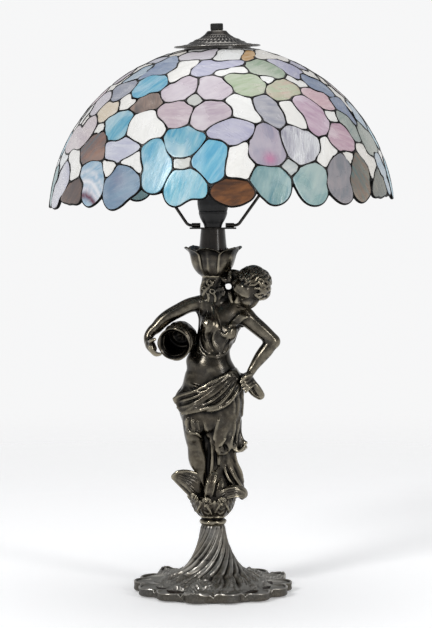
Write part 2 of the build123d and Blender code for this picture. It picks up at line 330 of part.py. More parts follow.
    ("white", 11.2, 19.4, (17.2, 18.7, 24.2, 28.9, 25.2, 21, 20.6, 21.1, 20.3, 16.9, 14.9, 14.3, 15.5, 18.5, 25.1, 26.3, 24, 20.3, 20.4, 20.1, 19.1, 17.2, 15.4, 14.9)),
    ("amber", 30.5, 20.3, (9.8, 11.4, 15.6, 21.4, 21.5, 16, 10.4, 8.7, 7.6, 6.9, 6.4, 7.6, 9.8, 12.2, 18.1, 23, 21.8, 16.7, 9.8, 8.3, 8.3, 8.9, 8.9, 9.1)),
    ("white", 54.3, 21.1, (25.3, 15.3, 21.3, 28.2, 30, 24.9, 20.8, 18.1, 17, 16.8, 17.9, 20.4, 28.6, 28.9, 21.6, 16.4, 14.6, 13.1, 12.3, 20.2, 23.5, 24.3, 27.2, 27.8)),
    ("lilac", 50.0, 30.9, (20.2, 20, 19.5, 17.8, 19, 22.3, 22.2, 23.9, 26, 24.4, 18, 16.1, 15.2, 14.2, 17.4, 21.2, 24, 25.9, 21.7, 17.8, 16.4, 17.6, 21.1, 20.6)),
    ("white", 44.2, 39.1, (12.8, 10.6, 5.7, 3.4, 4.5, 6.8, 9.4, 14.1, 14.2, 13.6, 13.9, 12.9, 9.6, 8.2, 7.8, 7.8, 9.2, 11.1, 10.6, 10.6, 11.5, 14.3, 14.8, 13.7)),
    ("rose", 49.8, 47.0, (19.1, 21.4, 19.5, 15.2, 13.8, 14.1, 16.9, 18.6, 21.2, 23.9, 24.2, 21.6, 17.6, 15.2, 14.6, 14.9, 16, 17.7, 18.3, 19.6, 21.7, 23, 21.6, 19.2)),
    ("ice", 63.5, 51.4, (12.8, 15.4, 19, 20.1, 19.9, 18, 17.6, 18.1, 19.2, 20.7, 20.2, 18.7, 17.8, 15.7, 13.3, 12.5, 12, 13.5, 24, 25.6, 14.8, 11, 10.8, 11.1)),
    ("green", 58.5, 58.4, (14.7, 13.8, 14.1, 16.4, 16.8, 17.2, 19.4, 21.9, 22.2, 20.7, 18.6, 15.4, 10.9, 10.2, 10.3, 12, 16, 20.5, 22, 23.3, 21.8, 17.2, 15.5, 15.6)),
    ("ice", -58.2, 32.3, (16.2, 15.6, 13.7, 17.6, 19.2, 19, 18.8, 19, 18.3, 13.8, 11.9, 11.8, 12.3, 13.3, 14.4, 21.7, 21, 16.6, 15, 13.7, 13.7, 14.7, 14.7, 15.2)),
]
PETALS = [
    ("ice", 76.0, 54.1, 21, 16, 74, 0), ("blue", 82.3, 77.2, 25, 15.2, 90, 0), ("rose", 92.0, 77.6, 24, 15.8, 90, 0),
    ("teal", -78.4, 77.0, 25, 15.0, 90, 0), ("blue", 82.6, 62.6, 17, 18.5, 90, 0), ("blue", -83.6, 62.6, 17.5, 18.5, 90, 0),
    ("blue", 90.2, 53.6, 18.5, 16.5, 0, 0), ("centre", 89.6, 62.3, 8.5, 8, 0, 2), ("pink", 83.0, 42.6, 17.5, 17, 0, 0),
    ("rose", -82.5, 43.2, 17.5, 17, 0, 0), ("pink", 85.0, 33.2, 16, 15.5, 0, 0), ("pink", -78.0, 33.6, 16, 15.5, 0, 0),
    ("centre", -88.0, 38.2, 8, 7, 0, 2), ("lilac", 66.5, 28.5, 18, 13, -30, 0), ("green", 92.5, 24.2, 18, 12.5, 5, 0),
    ("lilac", -64.0, 22.3, 17, 10.5, 5, 0), ("ice", 86.0, 17.2, 11, 8, 0, 0),
]
GROUND = [
    (-89.6, 47.4), (-83.2, 49.6), (-86.1, 29.3), (83.1, 56.2), (83.2, 49.1), (74.6, 38.1), (-75.1, 51.8), (69.5, 34.8), (77.5, 69.4),
    (50.1, 14.6), (-83.3, 70.0), (72.4, 44.1), (-69.0, 52.4), (-74.0, 69.4), (87.4, 69.4), (-67.8, 38.6), (-79.9, 51.3), (-81.1, 55.1),
    (-29.6, 14.6), (-63.0, 14.6), (-45.9, 17.7), (-75.3, 27.6), (-74.2, 17.2),
]


FLIP = np.array([-1.0, -1.0, 1.0])


def dome_frame(turn, polar):
    t, f = math.radians(turn), math.radians(polar)
    p = np.array([math.sin(f) * math.sin(t), -math.sin(f) * math.cos(t), math.cos(f)])
    e1 = np.array([math.cos(t), math.sin(t), 0.0])
    e2 = np.array([-math.cos(f) * math.sin(t), math.cos(f) * math.cos(t), math.sin(f)])
    return p, e1, e2


def layout():
    rows = []
    centres = [dome_frame(r[1], r[2])[0] for r in PETALS if r[6] == 2]
    for _, turn, polar, a, b, rot, kind in PETALS:
        p, e1, e2 = dome_frame(turn, polar)
        r = math.radians(rot)
        u = math.cos(r) * e1 + math.sin(r) * e2
        v = -math.sin(r) * e1 + math.cos(r) * e2
        w = np.zeros(3)
        if kind == 0:
            d = [math.acos(max(-1.0, min(1.0, float(c @ p)))) * SHADE_R for c in centres]
            j = int(np.argmin(d))
            if d[j] < 42:                       # a petal is wider away from its flower's centre
                w = p * (centres[j] @ p) - centres[j]
                w = w - (w @ p) * p
                w = w / np.linalg.norm(w)
        rows.append((p, u, v, a, b, kind, w))
    full = rows + [(p * FLIP, u * FLIP, v * FLIP, a, b, kind, w * FLIP) for p, u, v, a, b, kind, w in rows]
    seeds = [dome_frame(t, f)[0] for t, f in GROUND]
    return full, np.array(seeds + [s * FLIP for s in seeds])


def pane_rows(rays):
    """The traced panes and their copies on the far half, with radii along the given number of rays."""
    al = np.arange(rays) / rays * 24
    out = []
    for colour, turn, polar, radii in PANES:
        p, u, v = dome_frame(turn, polar)
        r = np.interp(al, np.arange(25), list(radii) + [radii[0]])
        r = 0.25 * np.roll(r, 1) + 0.5 * r + 0.25 * np.roll(r, -1)
        out.append((colour, p, u, v, r))
        out.append((colour, p * FLIP, u * FLIP, v * FLIP, r.copy()))
    return out


def field(q, row, grow=1.0):
    p, u, v, a, b, kind, w = row
    a, b = a * grow, b * grow
    d = np.clip(q @ p, -1, 1)
    t = q - d[:, None] * p
    t = t / (np.linalg.norm(t, axis=1) + 1e-12)[:, None] * (np.arccos(d) * SHADE_R)[:, None]
    if np.any(w):
        side = np.cross(p, w)
        s, c = t @ w, t @ side
        c = c / (1 + 0.20 * np.clip(s / (0.5 * (a + b)), -1, 1))
        t = s[:, None] * w + c[:, None] * side
    x, y = np.abs(t @ u) / a, np.abs(t @ v) / b
    if kind == 1:
        return 1 - x ** 2 - y
    return 1 - x ** 2.3 - y ** 2.3


def label(q, full, seeds, near, panes):
    n = len(q)
    best, second, lab = np.full(n, -9.0), np.full(n, -9.0), np.full(n, -1)
    cbest, clab = np.full(n, -9.0), np.full(n, -1)
    for i in near:
        if full[i][5] == 2:
            m = field(q, full[i], 0.8) > 0
            best[m] = 9.0
            lab[m] = i
            f = field(q, full[i], 1.75)
            m = f > cbest
            cbest[m] = f[m]
            clab[m] = i
            continue
        f = field(q, full[i])
        m = f > best
        second = np.where(m, best, np.maximum(second, f))
        best = np.where(m, f, best)
        lab[m] = i
    polar = np.degrees(np.arccos(np.clip(q[:, 2], -1, 1)))
    inside = best > 0
    centre = ~inside & (cbest > 0)
    slit = ~inside & ~centre & (best > -0.30) & (second > -0.30)
    ground = (q @ seeds.T).argmax(1)
    out = np.where(inside, lab, np.where(centre, clab, np.where(slit, lab, np.where(polar < PHI_GROUND,
                                                                                   len(full) + ground, -1))))
    out[polar < PHI_TOP] = -1
    for _, p, u, v, r in panes:
        s = np.arccos(np.clip(q @ p, -1, 1)) * SHADE_R
        k = np.rint(np.arctan2(q @ v, q @ u) / (2 * np.pi) * len(r)).astype(int) % len(r)
        out[s < r[k]] = -1
    return out


def outlines(rays):
    """Star-shaped outline of every piece: pole direction, two tangents, and radii along the rays."""
    full, seeds = layout()
    nf, half = len(full), len(full) // 2
    poles = np.array([r[0] for r in full])
    panes = pane_rows(rays)
    steps = np.arange(0.6, 62.0, 0.6)
    pieces = list(panes)
    for i in list(range(half)) + [nf + g for g in range(len(GROUND))]:
        if i < nf:
            p, u, v = full[i][:3]
            colour, reach = PETALS[i][0], min(62.0, 2.6 * max(full[i][3], full[i][4]) + 4)
        else:
            p = seeds[i - nf]
            u = np.array([-p[1], p[0], 0.0])
            u = u / np.linalg.norm(u)
            v = np.cross(p, u)
            colour, reach = "white", 62.0
        dist = np.arccos(np.clip(poles @ p, -1, 1)) * SHADE_R
        near = [j for j in range(nf) if dist[j] < max(full[j][3], full[j][4]) * 1.3 + reach + 6]
        al = np.arange(rays) * 2 * np.pi / rays
        s = steps[steps <= reach]
        dirs = np.cos(al)[:, None] * u + np.sin(al)[:, None] * v
        q = (np.cos(s / SHADE_R)[None, :, None] * p + np.sin(s / SHADE_R)[None, :, None] * dirs[:, None, :]).reshape(-1, 3)
        close = [w for w in panes if math.acos(max(-1.0, min(1.0, float(w[1] @ p)))) * SHADE_R < reach + w[4].max()]
        bad = label(q, full, seeds, near, close).reshape(rays, len(s)) != i
        first = np.where(bad.any(1), bad.argmax(1), len(s) - 1)
        r = np.maximum(s[first] - 0.3, 0.3)
        if r.mean() < 4:
            continue
        for _ in range(2):
            r = 0.25 * np.roll(r, 1) + 0.5 * r + 0.25 * np.roll(r, -1)
        pieces.append((colour, p, u, v, r))
        pieces.append((colour, p * FLIP, u * FLIP, v * FLIP, r.copy()))
    return pieces


def shrink(r, inset):
    """Radii of the outline moved inwards by the inset."""
    k = len(r)
    slope = (np.roll(r, -1) - np.roll(r, 1)) / (4 * np.pi / k) / r
    return np.maximum(r - inset * np.minimum(np.sqrt(1 + slope ** 2), 2.4), 0.25 * r)


def ease(pieces):
    """Draws outlines back wherever the chords of one piece's foil would reach into another's glass."""
    rays = len(pieces[0][4])
    keep = np.arange(0, rays, 5)
    al = np.arange(rays) * 2 * np.pi / rays
    poles = np.array([p for _, p, _, _, _ in pieces])
    width = np.exp(-(np.minimum(np.arange(rays), rays - np.arange(rays)) / 4.0) ** 2)

    def corners(piece, inset):
        _, p, u, v, r = piece
        rr = shrink(r, inset)[keep]
        level = SHADE_R * math.cos(0.72 * float(np.mean(r ** 2)) ** 0.5 / SHADE_R)
        return (np.cos(al[keep]) * rr)[:, None] * u + (np.sin(al[keep]) * rr)[:, None] * v + level * p

    for _ in range(60):
        worst = 0.0
        rim = [corners(q, FOIL_INSET) for q in pieces]
        pane = [corners(q, GLASS_INSET) for q in pieces]
        for i, (_, p, u, v, r) in enumerate(pieces):
            near = np.where(np.arccos(np.clip(poles @ p, -1, 1)) * SHADE_R < r.max() + 60)[0]
            cx, cy = pane[i] @ u, pane[i] @ v
            level = float((pane[i] @ p).mean())
            for j in near:
                if j == i:
                    continue
                w = np.linspace(0, 1, 8, endpoint=False)[None, :, None]
                chord = (rim[j][:, None] * (1 - w) + np.roll(rim[j], -1, 0)[:, None] * w).reshape(-1, 3)
                t = chord / np.linalg.norm(chord, axis=1)[:, None]
                t = t * (level / (t @ p))[:, None]
                x, y = t @ u, t @ v
                a = np.arctan2(y, x) % (2 * np.pi)
                k = (a / (2 * np.pi) * len(keep)).astype(int) % len(keep)
                k2 = (k + 1) % len(keep)
                ex, ey = cx[k2] - cx[k], cy[k2] - cy[k]
                reach = (cx[k] * ey - cy[k] * ex) / (np.cos(a) * ey - np.sin(a) * ex)
                deep = reach + 0.12 - np.hypot(x, y)
                m = int(np.argmax(deep))
                if deep[m] > 0:
                    worst = max(worst, float(deep[m]))
                    _, pj, uj, vj, rj = pieces[j]
                    aj = np.arctan2(chord[m] @ vj, chord[m] @ uj)
                    nj = int(round(aj / (2 * np.pi) * rays)) % rays
                    ni = int(round(a[m] / (2 * np.pi) * rays)) % rays
                    rj -= np.minimum(0.75 * deep[m] * np.roll(width, nj), 0.3 * rj)
                    r -= np.minimum(0.45 * deep[m] * np.roll(width, ni), 0.3 * r)
        print("outline overlap", round(worst, 2))
        if worst < 0.02:
            break
    return pieces


LEAN = math.radians(SHADE_LEAN)
TURN = np.array([[math.cos(LEAN), 0, math.sin(LEAN)], [0, 1, 0], [-math.sin(LEAN), 0, math.cos(LEAN)]])


def plate(p, u, v, r, inset, thick, hole=None):
    """Flat plate square to the dome at p, cut to the outline; hole is the inset of its inner edge."""
    keep = np.arange(0, len(r), 5)
    mean = float(np.mean(r ** 2)) ** 0.5
    level = SHADE_R * math.cos(0.72 * mean / SHADE_R) - thick / 2
    al = np.arange(len(r)) * 2 * np.pi / len(r)

    def ring(d):
        rr = shrink(r, d)
        pts = (np.cos(al) * rr)[:, None] * u + (np.sin(al) * rr)[:, None] * v + level * p
        pts = (pts[keep] + np.array([0, 0, -SHADE_DROP])) @ TURN.T + np.array(SEAT)
        return Wire.make_polygon([Vector(*map(float, c)) for c in pts], close=True)

    n = TURN @ p
    face = Face(ring(inset)) if hole is None else Face(ring(inset), [ring(hole)])
    return Solid.extrude(face, Vector(*map(float, n * thick)))


groups, foils = {}, []
for colour, p, u, v, r in ease(outlines(60)):
    groups.setdefault(colour, []).append(plate(p, u, v, r, GLASS_INSET, GLASS_T))
    foils.append(plate(p, u, v, r, FOIL_INSET, FOIL_T, GLASS_INSET - 0.06))
for colour, solids in groups.items():
    write("glass_" + colour, Compound(children=solids), False)
    print("glass_" + colour, len(solids))
write("foil_and_solder", Compound(children=foils), False)
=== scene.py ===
"""Leaded-glass table lamp with a cast figure stem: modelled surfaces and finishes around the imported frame.

Everything is modelled in millimetres in the lamp's own frame and stored in metres.
"""
import math

import bpy
import numpy as np
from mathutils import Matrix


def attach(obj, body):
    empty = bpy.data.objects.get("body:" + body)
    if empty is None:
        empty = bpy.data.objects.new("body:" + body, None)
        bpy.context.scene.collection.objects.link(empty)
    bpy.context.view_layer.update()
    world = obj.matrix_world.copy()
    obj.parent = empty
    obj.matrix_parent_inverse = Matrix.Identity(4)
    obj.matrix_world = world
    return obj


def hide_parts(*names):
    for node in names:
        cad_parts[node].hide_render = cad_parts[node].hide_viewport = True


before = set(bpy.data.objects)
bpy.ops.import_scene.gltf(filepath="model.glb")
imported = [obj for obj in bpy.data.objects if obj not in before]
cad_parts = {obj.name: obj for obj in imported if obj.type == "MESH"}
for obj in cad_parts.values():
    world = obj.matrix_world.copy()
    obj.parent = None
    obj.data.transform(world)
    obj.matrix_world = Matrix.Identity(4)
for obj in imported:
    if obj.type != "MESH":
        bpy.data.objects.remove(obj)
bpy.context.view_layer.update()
MM = 0.001


# ---------------------------------------------------------------- meshes

def outward(v, faces):
    """Turns the faces of a closed mesh so that they look outwards."""
    v = np.asarray(v, dtype=float)
    vol = 0.0
    for f in faces:
        for k in range(1, f.shape[1] - 1):
            vol += float(np.einsum("ij,ij->i", v[f[:, 0]], np.cross(v[f[:, k]], v[f[:, k + 1]])).sum())
    return [f[:, ::-1] for f in faces] if vol < 0 else faces


def make_object(name, verts, faces, smooth=True):
    """Mesh object from millimetre points and a list of face index arrays (quads or triangles)."""
    if isinstance(faces, np.ndarray):
        faces = [faces]
    faces = outward(verts, faces)
    me = bpy.data.meshes.new(name)
    v = np.ascontiguousarray(np.asarray(verts, dtype=np.float32) * MM)
    idx = np.concatenate([np.asarray(f, dtype=np.int32).ravel() for f in faces])
    size = np.concatenate([np.full(len(f), np.asarray(f).shape[1], dtype=np.int32) for f in faces])
    start = np.concatenate([[0], np.cumsum(size)[:-1]]).astype(np.int32)
    me.vertices.add(len(v))
    me.vertices.foreach_set("co", v.ravel())
    me.loops.add(len(idx))
    me.loops.foreach_set("vertex_index", idx)
    me.polygons.add(len(size))
    me.polygons.foreach_set("loop_start", start)
    me.polygons.foreach_set("use_smooth", np.full(len(size), smooth, dtype=bool))
    me.update(calc_edges=True)
    me.validate()
    ob = bpy.data.objects.new(name, me)
    bpy.context.scene.collection.objects.link(ob)
    return ob


def point_values(ob, name, values):
    """Stores one number, or one colour, at every point of a mesh."""
    values = np.asarray(values, dtype=np.float32)
    if values.ndim == 1:
        a = ob.data.attributes.new(name, "FLOAT", "POINT")
        a.data.foreach_set("value", values)
    elif values.shape[1] == 3:
        a = ob.data.attributes.new(name, "FLOAT_VECTOR", "POINT")
        a.data.foreach_set("vector", values.ravel())
    else:
        a = ob.data.attributes.new(name, "FLOAT_COLOR", "POINT")
        a.data.foreach_set("color", values.ravel())


def sharpen(ob, degrees):
    """Keeps edges steeper than the angle crisp."""
    ob.data.set_sharp_from_angle(angle=math.radians(degrees))


def fit(ob, body, slot, mat, *nodes):
    ob.data.materials.clear()
    ob.data.materials.append(mat)
    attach(ob, body)
    if nodes:
        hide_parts(*nodes)
    return ob


def grid_faces(nu, nv, wrap_u=False, wrap_v=False):
    """Quads of an nu x nv point grid (index u * nv + v)."""
    u = np.arange(nu if wrap_u else nu - 1)
    v = np.arange(nv if wrap_v else nv - 1)
    a, b = np.meshgrid(u, v, indexing="ij")
    a2, b2 = (a + 1) % nu, (b + 1) % nv
    return np.stack([a * nv + b, a2 * nv + b, a2 * nv + b2, a * nv + b2], -1).reshape(-1, 4)


def unit(v):
    v = np.asarray(v, dtype=float)
    return v / np.linalg.norm(v)


def curve(pts, vals, step):
    """Smooth path through the points, resampled about every step; vals (one number per point) goes along."""
    p = np.asarray(pts, dtype=float)
    w = np.asarray(vals, dtype=float)
    if w.ndim == 0:
        w = np.full(len(p), float(w))
    q = np.column_stack([p, w])
    if len(q) == 2:
        n = max(2, int(np.linalg.norm(p[1] - p[0]) / step) + 1)
        t = np.linspace(0, 1, n)[:, None]
        out = q[0] * (1 - t) + q[1] * t
        return out[:, :-1], out[:, -1]
    ext = np.vstack([2 * q[0] - q[1], q, 2 * q[-1] - q[-2]])
    rows = []
    for i in range(1, len(ext) - 2):
        a, b, c, d = ext[i - 1], ext[i], ext[i + 1], ext[i + 2]
        n = max(2, int(np.linalg.norm((c - b)[:-1]) / step) + 1)
        t = np.linspace(0, 1, n, endpoint=False)[:, None]
        rows.append(0.5 * (2 * b + (c - a) * t + (2 * a - 5 * b + 4 * c - d) * t ** 2
                           + (3 * b - a - 3 * c + d) * t ** 3))
    rows.append(q[-1:])
    out = np.vstack(rows)
    return out[:, :-1], out[:, -1]


def smooth_rows(z, rows):
    """Rows (z, values...) read at heights z with a soft cubic in between."""
    r = np.asarray(sorted(rows), dtype=float)
    x, y = r[:, 0], r[:, 1:]
    m = np.gradient(y, x, axis=0)
    i = np.clip(np.searchsorted(x, z) - 1, 0, len(x) - 2)
    h = (x[i + 1] - x[i])[:, None]
    t = np.clip((z - x[i])[:, None] / h, 0, 1)
    return ((2 * t ** 3 - 3 * t ** 2 + 1) * y[i] + (t ** 3 - 2 * t ** 2 + t) * h * m[i]
            + (-2 * t ** 3 + 3 * t ** 2) * y[i + 1] + (t ** 3 - t ** 2) * h * m[i + 1])


# ---------------------------------------------------------------- modelling in clay

class Clay:
    """Solid held as a sampled distance field (millimetres), worked with strokes, lofts and cuts."""

    def __init__(self, lo, hi, step):
        self.h = step
        self.lo = np.asarray(lo, dtype=float)
        n = np.ceil((np.asarray(hi, dtype=float) - self.lo) / step).astype(int) + 1
        self.ax = [(self.lo[i] + step * np.arange(n[i])).astype(np.float32) for i in range(3)]
        self.f = np.full(n, 9.0, dtype=np.float32)
        self.maps = {}

    def window(self, lo, hi):
        sl, g = [], []
        for i in range(3):
            a = max(0, int(math.floor((lo[i] - self.lo[i]) / self.h)))
            b = min(len(self.ax[i]), int(math.ceil((hi[i] - self.lo[i]) / self.h)) + 1)
            if a >= b:
                return None, None
            sl.append(slice(a, b))
            shape = [1, 1, 1]
            shape[i] = -1
            g.append(self.ax[i][a:b].reshape(shape))
        return tuple(sl), g

    def join(self, sl, d, k, cut=False):
        f = self.f[sl]
        if cut:
            d = -d
            m = np.maximum(f, d)
            if k > 0:
                h = np.maximum(k - np.abs(f - d), 0) / k
                m = m + h * h * (k * 0.25)
        else:
            m = np.minimum(f, d)
            if k > 0:
                h = np.maximum(k - np.abs(f - d), 0) / k
                m = m - h * h * (k * 0.25)
        self.f[sl] = m

    def rope(self, p, r, k=1.5, cut=False, normal=None, ratio=1.0):
        """Rounded rope along given points; with a normal it is squeezed to ratio in that direction."""
        p, r = np.asarray(p, dtype=float), np.asarray(r, dtype=float)
        pad = r.max() + k + 1.5
        sl, g = self.window(p.min(0) - pad, p.max(0) + pad)
        if sl is None:
            return
        d = np.full(self.f[sl].shape, 9.0, dtype=np.float32)
        base = [self.ax[i][sl[i]][0] for i in range(3)]
        nn = None if normal is None else np.broadcast_to(np.asarray(normal, dtype=float), p.shape)
        for i in range(len(p) - 1):
            a, b, ra, rb = p[i], p[i + 1], r[i], r[i + 1]
            m = max(ra, rb) + k + 1.5
            lo, hi = np.minimum(a, b) - m, np.maximum(a, b) + m
            s = []
            for j in range(3):
                s.append(slice(max(0, int((lo[j] - base[j]) / self.h)),
                               min(d.shape[j], max(0, int((hi[j] - base[j]) / self.h) + 2))))
            s = tuple(s)
            x = g[0][s[0]] - a[0]
            y = g[1][:, s[1]] - a[1]
            z = g[2][:, :, s[2]] - a[2]
            ab = b - a
            l2 = float(ab @ ab) + 1e-9
            t = np.clip((x * ab[0] + y * ab[1] + z * ab[2]) / l2, 0, 1)
            x, y, z = x - t * ab[0], y - t * ab[1], z - t * ab[2]
            rr = ra + t * (rb - ra)
            if nn is None:
                e = np.sqrt(x * x + y * y + z * z) - rr
            else:
                n = nn[i]
                w = x * n[0] + y * n[1] + z * n[2]
                e = (np.sqrt(np.maximum(x * x + y * y + z * z - w * w, 0) + (w / ratio) ** 2) - rr) * (0.35 + 0.65 * ratio)
            d[s] = np.minimum(d[s], e)
        self.join(sl, d, k, cut)

    def stroke(self, pts, rad, k=1.5, cut=False, normal=None, ratio=1.0):
        r = np.asarray(rad, dtype=float)
        p, r = curve(pts, r, max(0.8, 0.45 * float(np.min(r))))
        self.rope(p, r, k, cut, normal, ratio)

    def ball(self, c, r, k=2.0, axes=None, cut=False):
        """Ellipsoid; axes are three unit vectors for its half sizes r."""
        c = np.asarray(c, dtype=float)
        r = np.broadcast_to(np.asarray(r, dtype=float), 3)
        m = float(r.max()) + k + 1.5
        sl, g = self.window(c - m, c + m)
        if sl is None:
            return
        x, y, z = g[0] - c[0], g[1] - c[1], g[2] - c[2]
        a = np.eye(3) if axes is None else np.asarray(axes, dtype=float)
        q = [x * a[i, 0] + y * a[i, 1] + z * a[i, 2] for i in range(3)]
        k0 = np.sqrt(sum((q[i] / r[i]) ** 2 for i in range(3)))
        k1 = np.sqrt(sum((q[i] / r[i] ** 2) ** 2 for i in range(3))) + 1e-6
        self.join(sl, np.where(k0 < 0.2, -0.8 * r.min(), k0 * (k0 - 1) / k1).astype(np.float32), k, cut)

    def loft(self, rows, k=3.0, soft=5.0, relief=None, keep=None, bottom=None, power=2.0):
        """Upright body of oval sections (z, cx, cy, rx, ry); relief(angle, z) lifts its skin,
        keep(X, Y, Z) is a distance that bounds it, bottom(angle) is the height of its lower edge."""
        rr = np.asarray(sorted(rows), dtype=float)
        z0, z1 = rr[0, 0], rr[-1, 0]
        m = 8 + k
        lo = [np.min(rr[:, 1] - rr[:, 3]) - m, np.min(rr[:, 2] - rr[:, 4]) - m, z0 - k - soft]
        hi = [np.max(rr[:, 1] + rr[:, 3]) + m, np.max(rr[:, 2] + rr[:, 4]) + m, z1 + k + soft]
        sl, g = self.window(lo, hi)
        zz = g[2].ravel()
        s = smooth_rows(np.clip(zz, z0, z1), rows)
        cx, cy, rx, ry = [s[:, i].reshape(1, 1, -1) for i in range(4)]
        x, y = g[0] - cx, g[1] - cy
        if power == 2.0:
            k0 = np.sqrt((x / rx) ** 2 + (y / ry) ** 2)
        else:
            k0 = (np.abs(x / rx) ** power + np.abs(y / ry) ** power) ** (1 / power)
        k1 = np.sqrt((x / rx ** 2) ** 2 + (y / ry ** 2) ** 2) + 1e-6
        d = np.where(k0 < 0.2, -0.8 * np.minimum(rx, ry), k0 * (k0 - 1) / k1)
        ang = None
        if relief is not None or bottom is not None:
            ang = np.arctan2(x, -y)
        if relief is not None:
            d = d - relief(ang, g[2])
        low = z0 if bottom is None else bottom(ang)
        for e in (low - g[2], g[2] - z1):
            h = np.maximum(soft - np.abs(d - e), 0) / soft
            d = np.maximum(d, e) + h * h * soft * 0.25
        if keep is not None:
            e = keep(*g)
            h = np.maximum(2.0 - np.abs(d - e), 0) / 2.0
            d = np.maximum(d, e) + h * h * 0.5
        self.join(sl, d.astype(np.float32), k)

    def wrap(self, region, thick, lo, hi, k=0.8, edge=1.2):
        """Lays a cloth of that thickness over what is there, inside region(X, Y, Z) < 0."""
        sl, g = self.window(lo, hi)
        d = self.f[sl] - thick
        e = region(*g)
        h = np.maximum(edge - np.abs(d - e), 0) / edge
        d = np.maximum(d, e) + h * h * edge * 0.25
        self.join(sl, d.astype(np.float32), k)

    def settle(self):
        """Depth of the front and back surfaces over the elevation, for strokes laid on them."""
        s = self.f < 0
        hit = s.any(1)
        for side in (-1, 1):
            j = s.argmax(1) if side < 0 else s.shape[1] - 1 - s[:, ::-1].argmax(1)
            y = self.ax[1][j].astype(float)
            a = np.take_along_axis(self.f, j[:, None, :], 1)[:, 0]
            b = np.take_along_axis(self.f, np.clip(j + side, 0, s.shape[1] - 1)[:, None, :], 1)[:, 0]
            y = y + side * self.h * np.clip(a / np.minimum(a - b, -1e-6), 0, 1)
            y[~hit] = np.nan
            for _ in range(30):                       # carry the edge outwards a little
                bad = np.isnan(y)
                if not bad.any():
                    break
                n = np.stack([np.roll(y, 1, 0), np.roll(y, -1, 0), np.roll(y, 1, 1), np.roll(y, -1, 1)])
                c = np.sum(~np.isnan(n), 0)
                fill = np.nansum(n, 0) / np.maximum(c, 1)
                y = np.where(bad & (c > 0), fill, y)
            self.maps[side] = np.nan_to_num(y)

    def depth(self, x, z, side=-1):
        m = self.maps[side]
        i = np.clip((x - self.lo[0]) / self.h, 0, m.shape[0] - 1.001)
        j = np.clip((z - self.lo[2]) / self.h, 0, m.shape[1] - 1.001)
        a, b = i.astype(int), j.astype(int)
        u, v = i - a, j - b
        return (m[a, b] * (1 - u) * (1 - v) + m[a + 1, b] * u * (1 - v) + m[a, b + 1] * (1 - u) * v
                + m[a + 1, b + 1] * u * v)

    def fold(self, xz, rad, lift=0.3, k=1.2, side=-1, cut=False, ratio=None):
        """Ridge (or groove) laid on the front or back surface along elevation points (x, z)."""
        pts = np.asarray([(x, 0.0, z) for x, z in xz], dtype=float)
        p, r = curve(pts, rad, 1.0)
        y = self.depth(p[:, 0], p[:, 2], side)
        for _ in range(3):
            y = np.convolve(np.pad(y, 2, mode="edge"), np.full(5, 0.2), mode="valid")
        # the ends run out into the surface
        s = np.linspace(0, 1, len(p))
        w = np.clip(np.minimum(s, 1 - s) / 0.2, 0, 1)
        w = 1 - w * w * (3 - 2 * w)
        p[:, 1] = y + side * (lift + 0.5 * w * r if cut else lift * (1 - w) - (0.45 + 0.6 * w) * r)
        if ratio is None:
            self.rope(p, r, k, cut)
        else:
            self.rope(p, r, k, cut, (0, 1, 0), ratio)

    def skin(self, rounds=2):
        """Quad mesh of the surface, with a value per point: 0 in hollows, 1 on crests, about 0.5 on flats."""
        f, h = self.f, self.h
        nx, ny, nz = f.shape
        f[0], f[-1], f[:, 0], f[:, -1], f[:, :, 0], f[:, :, -1] = (9.0,) * 6
        s = f < 0
        cnt = np.zeros((nx - 1, ny - 1, nz - 1), dtype=np.uint8)
        for i in (0, 1):
            for j in (0, 1):
                for k in (0, 1):
                    cnt += s[i:nx - 1 + i, j:ny - 1 + j, k:nz - 1 + k]
        act = (cnt > 0) & (cnt < 8)
        ii = np.argwhere(act)
        index = np.full(act.shape, -1, dtype=np.int32)
        index[act] = np.arange(len(ii))
        pos, num = np.zeros((len(ii), 3)), np.zeros(len(ii))
        corner = [(i, j, k) for i in (0, 1) for j in (0, 1) for k in (0, 1)]
        val = {c: f[ii[:, 0] + c[0], ii[:, 1] + c[1], ii[:, 2] + c[2]] for c in corner}
        for a in corner:
            for b in corner:
                if sum(b) == sum(a) + 1 and sum(abs(np.subtract(a, b))) == 1:
                    fa, fb = val[a], val[b]
                    on = (fa < 0) != (fb < 0)
                    t = np.where(on, fa / np.where(on, fa - fb, 1), 0)
                    pos += np.where(on[:, None], np.array(a) + t[:, None] * np.subtract(b, a), 0)
                    num += on
        v = self.lo + h * (ii + pos / num[:, None])
        quads = []
        for ax in range(3):
            o1, o2 = [(1, 2), (2, 0), (0, 1)][ax]
            lo = [slice(None)] * 3
            hi = [slice(None)] * 3
            lo[ax], hi[ax] = slice(0, -1), slice(1, None)
            change = s[tuple(lo)] != s[tuple(hi)]
            e = np.argwhere(change)
            e = e[(e[:, o1] > 0) & (e[:, o2] > 0) & (e[:, o1] < f.shape[o1] - 1) & (e[:, o2] < f.shape[o2] - 1)]
            c = []
            for d1, d2 in ((-1, -1), (0, -1), (0, 0), (-1, 0)):
                q = e.copy()
                q[:, o1] += d1
                q[:, o2] += d2
                c.append(index[q[:, 0], q[:, 1], q[:, 2]])
            q = np.stack(c, -1)
            inside = s[e[:, 0], e[:, 1], e[:, 2]]
            q[~inside] = q[~inside][:, ::-1]
            quads.append(q)
        q = np.concatenate(quads)
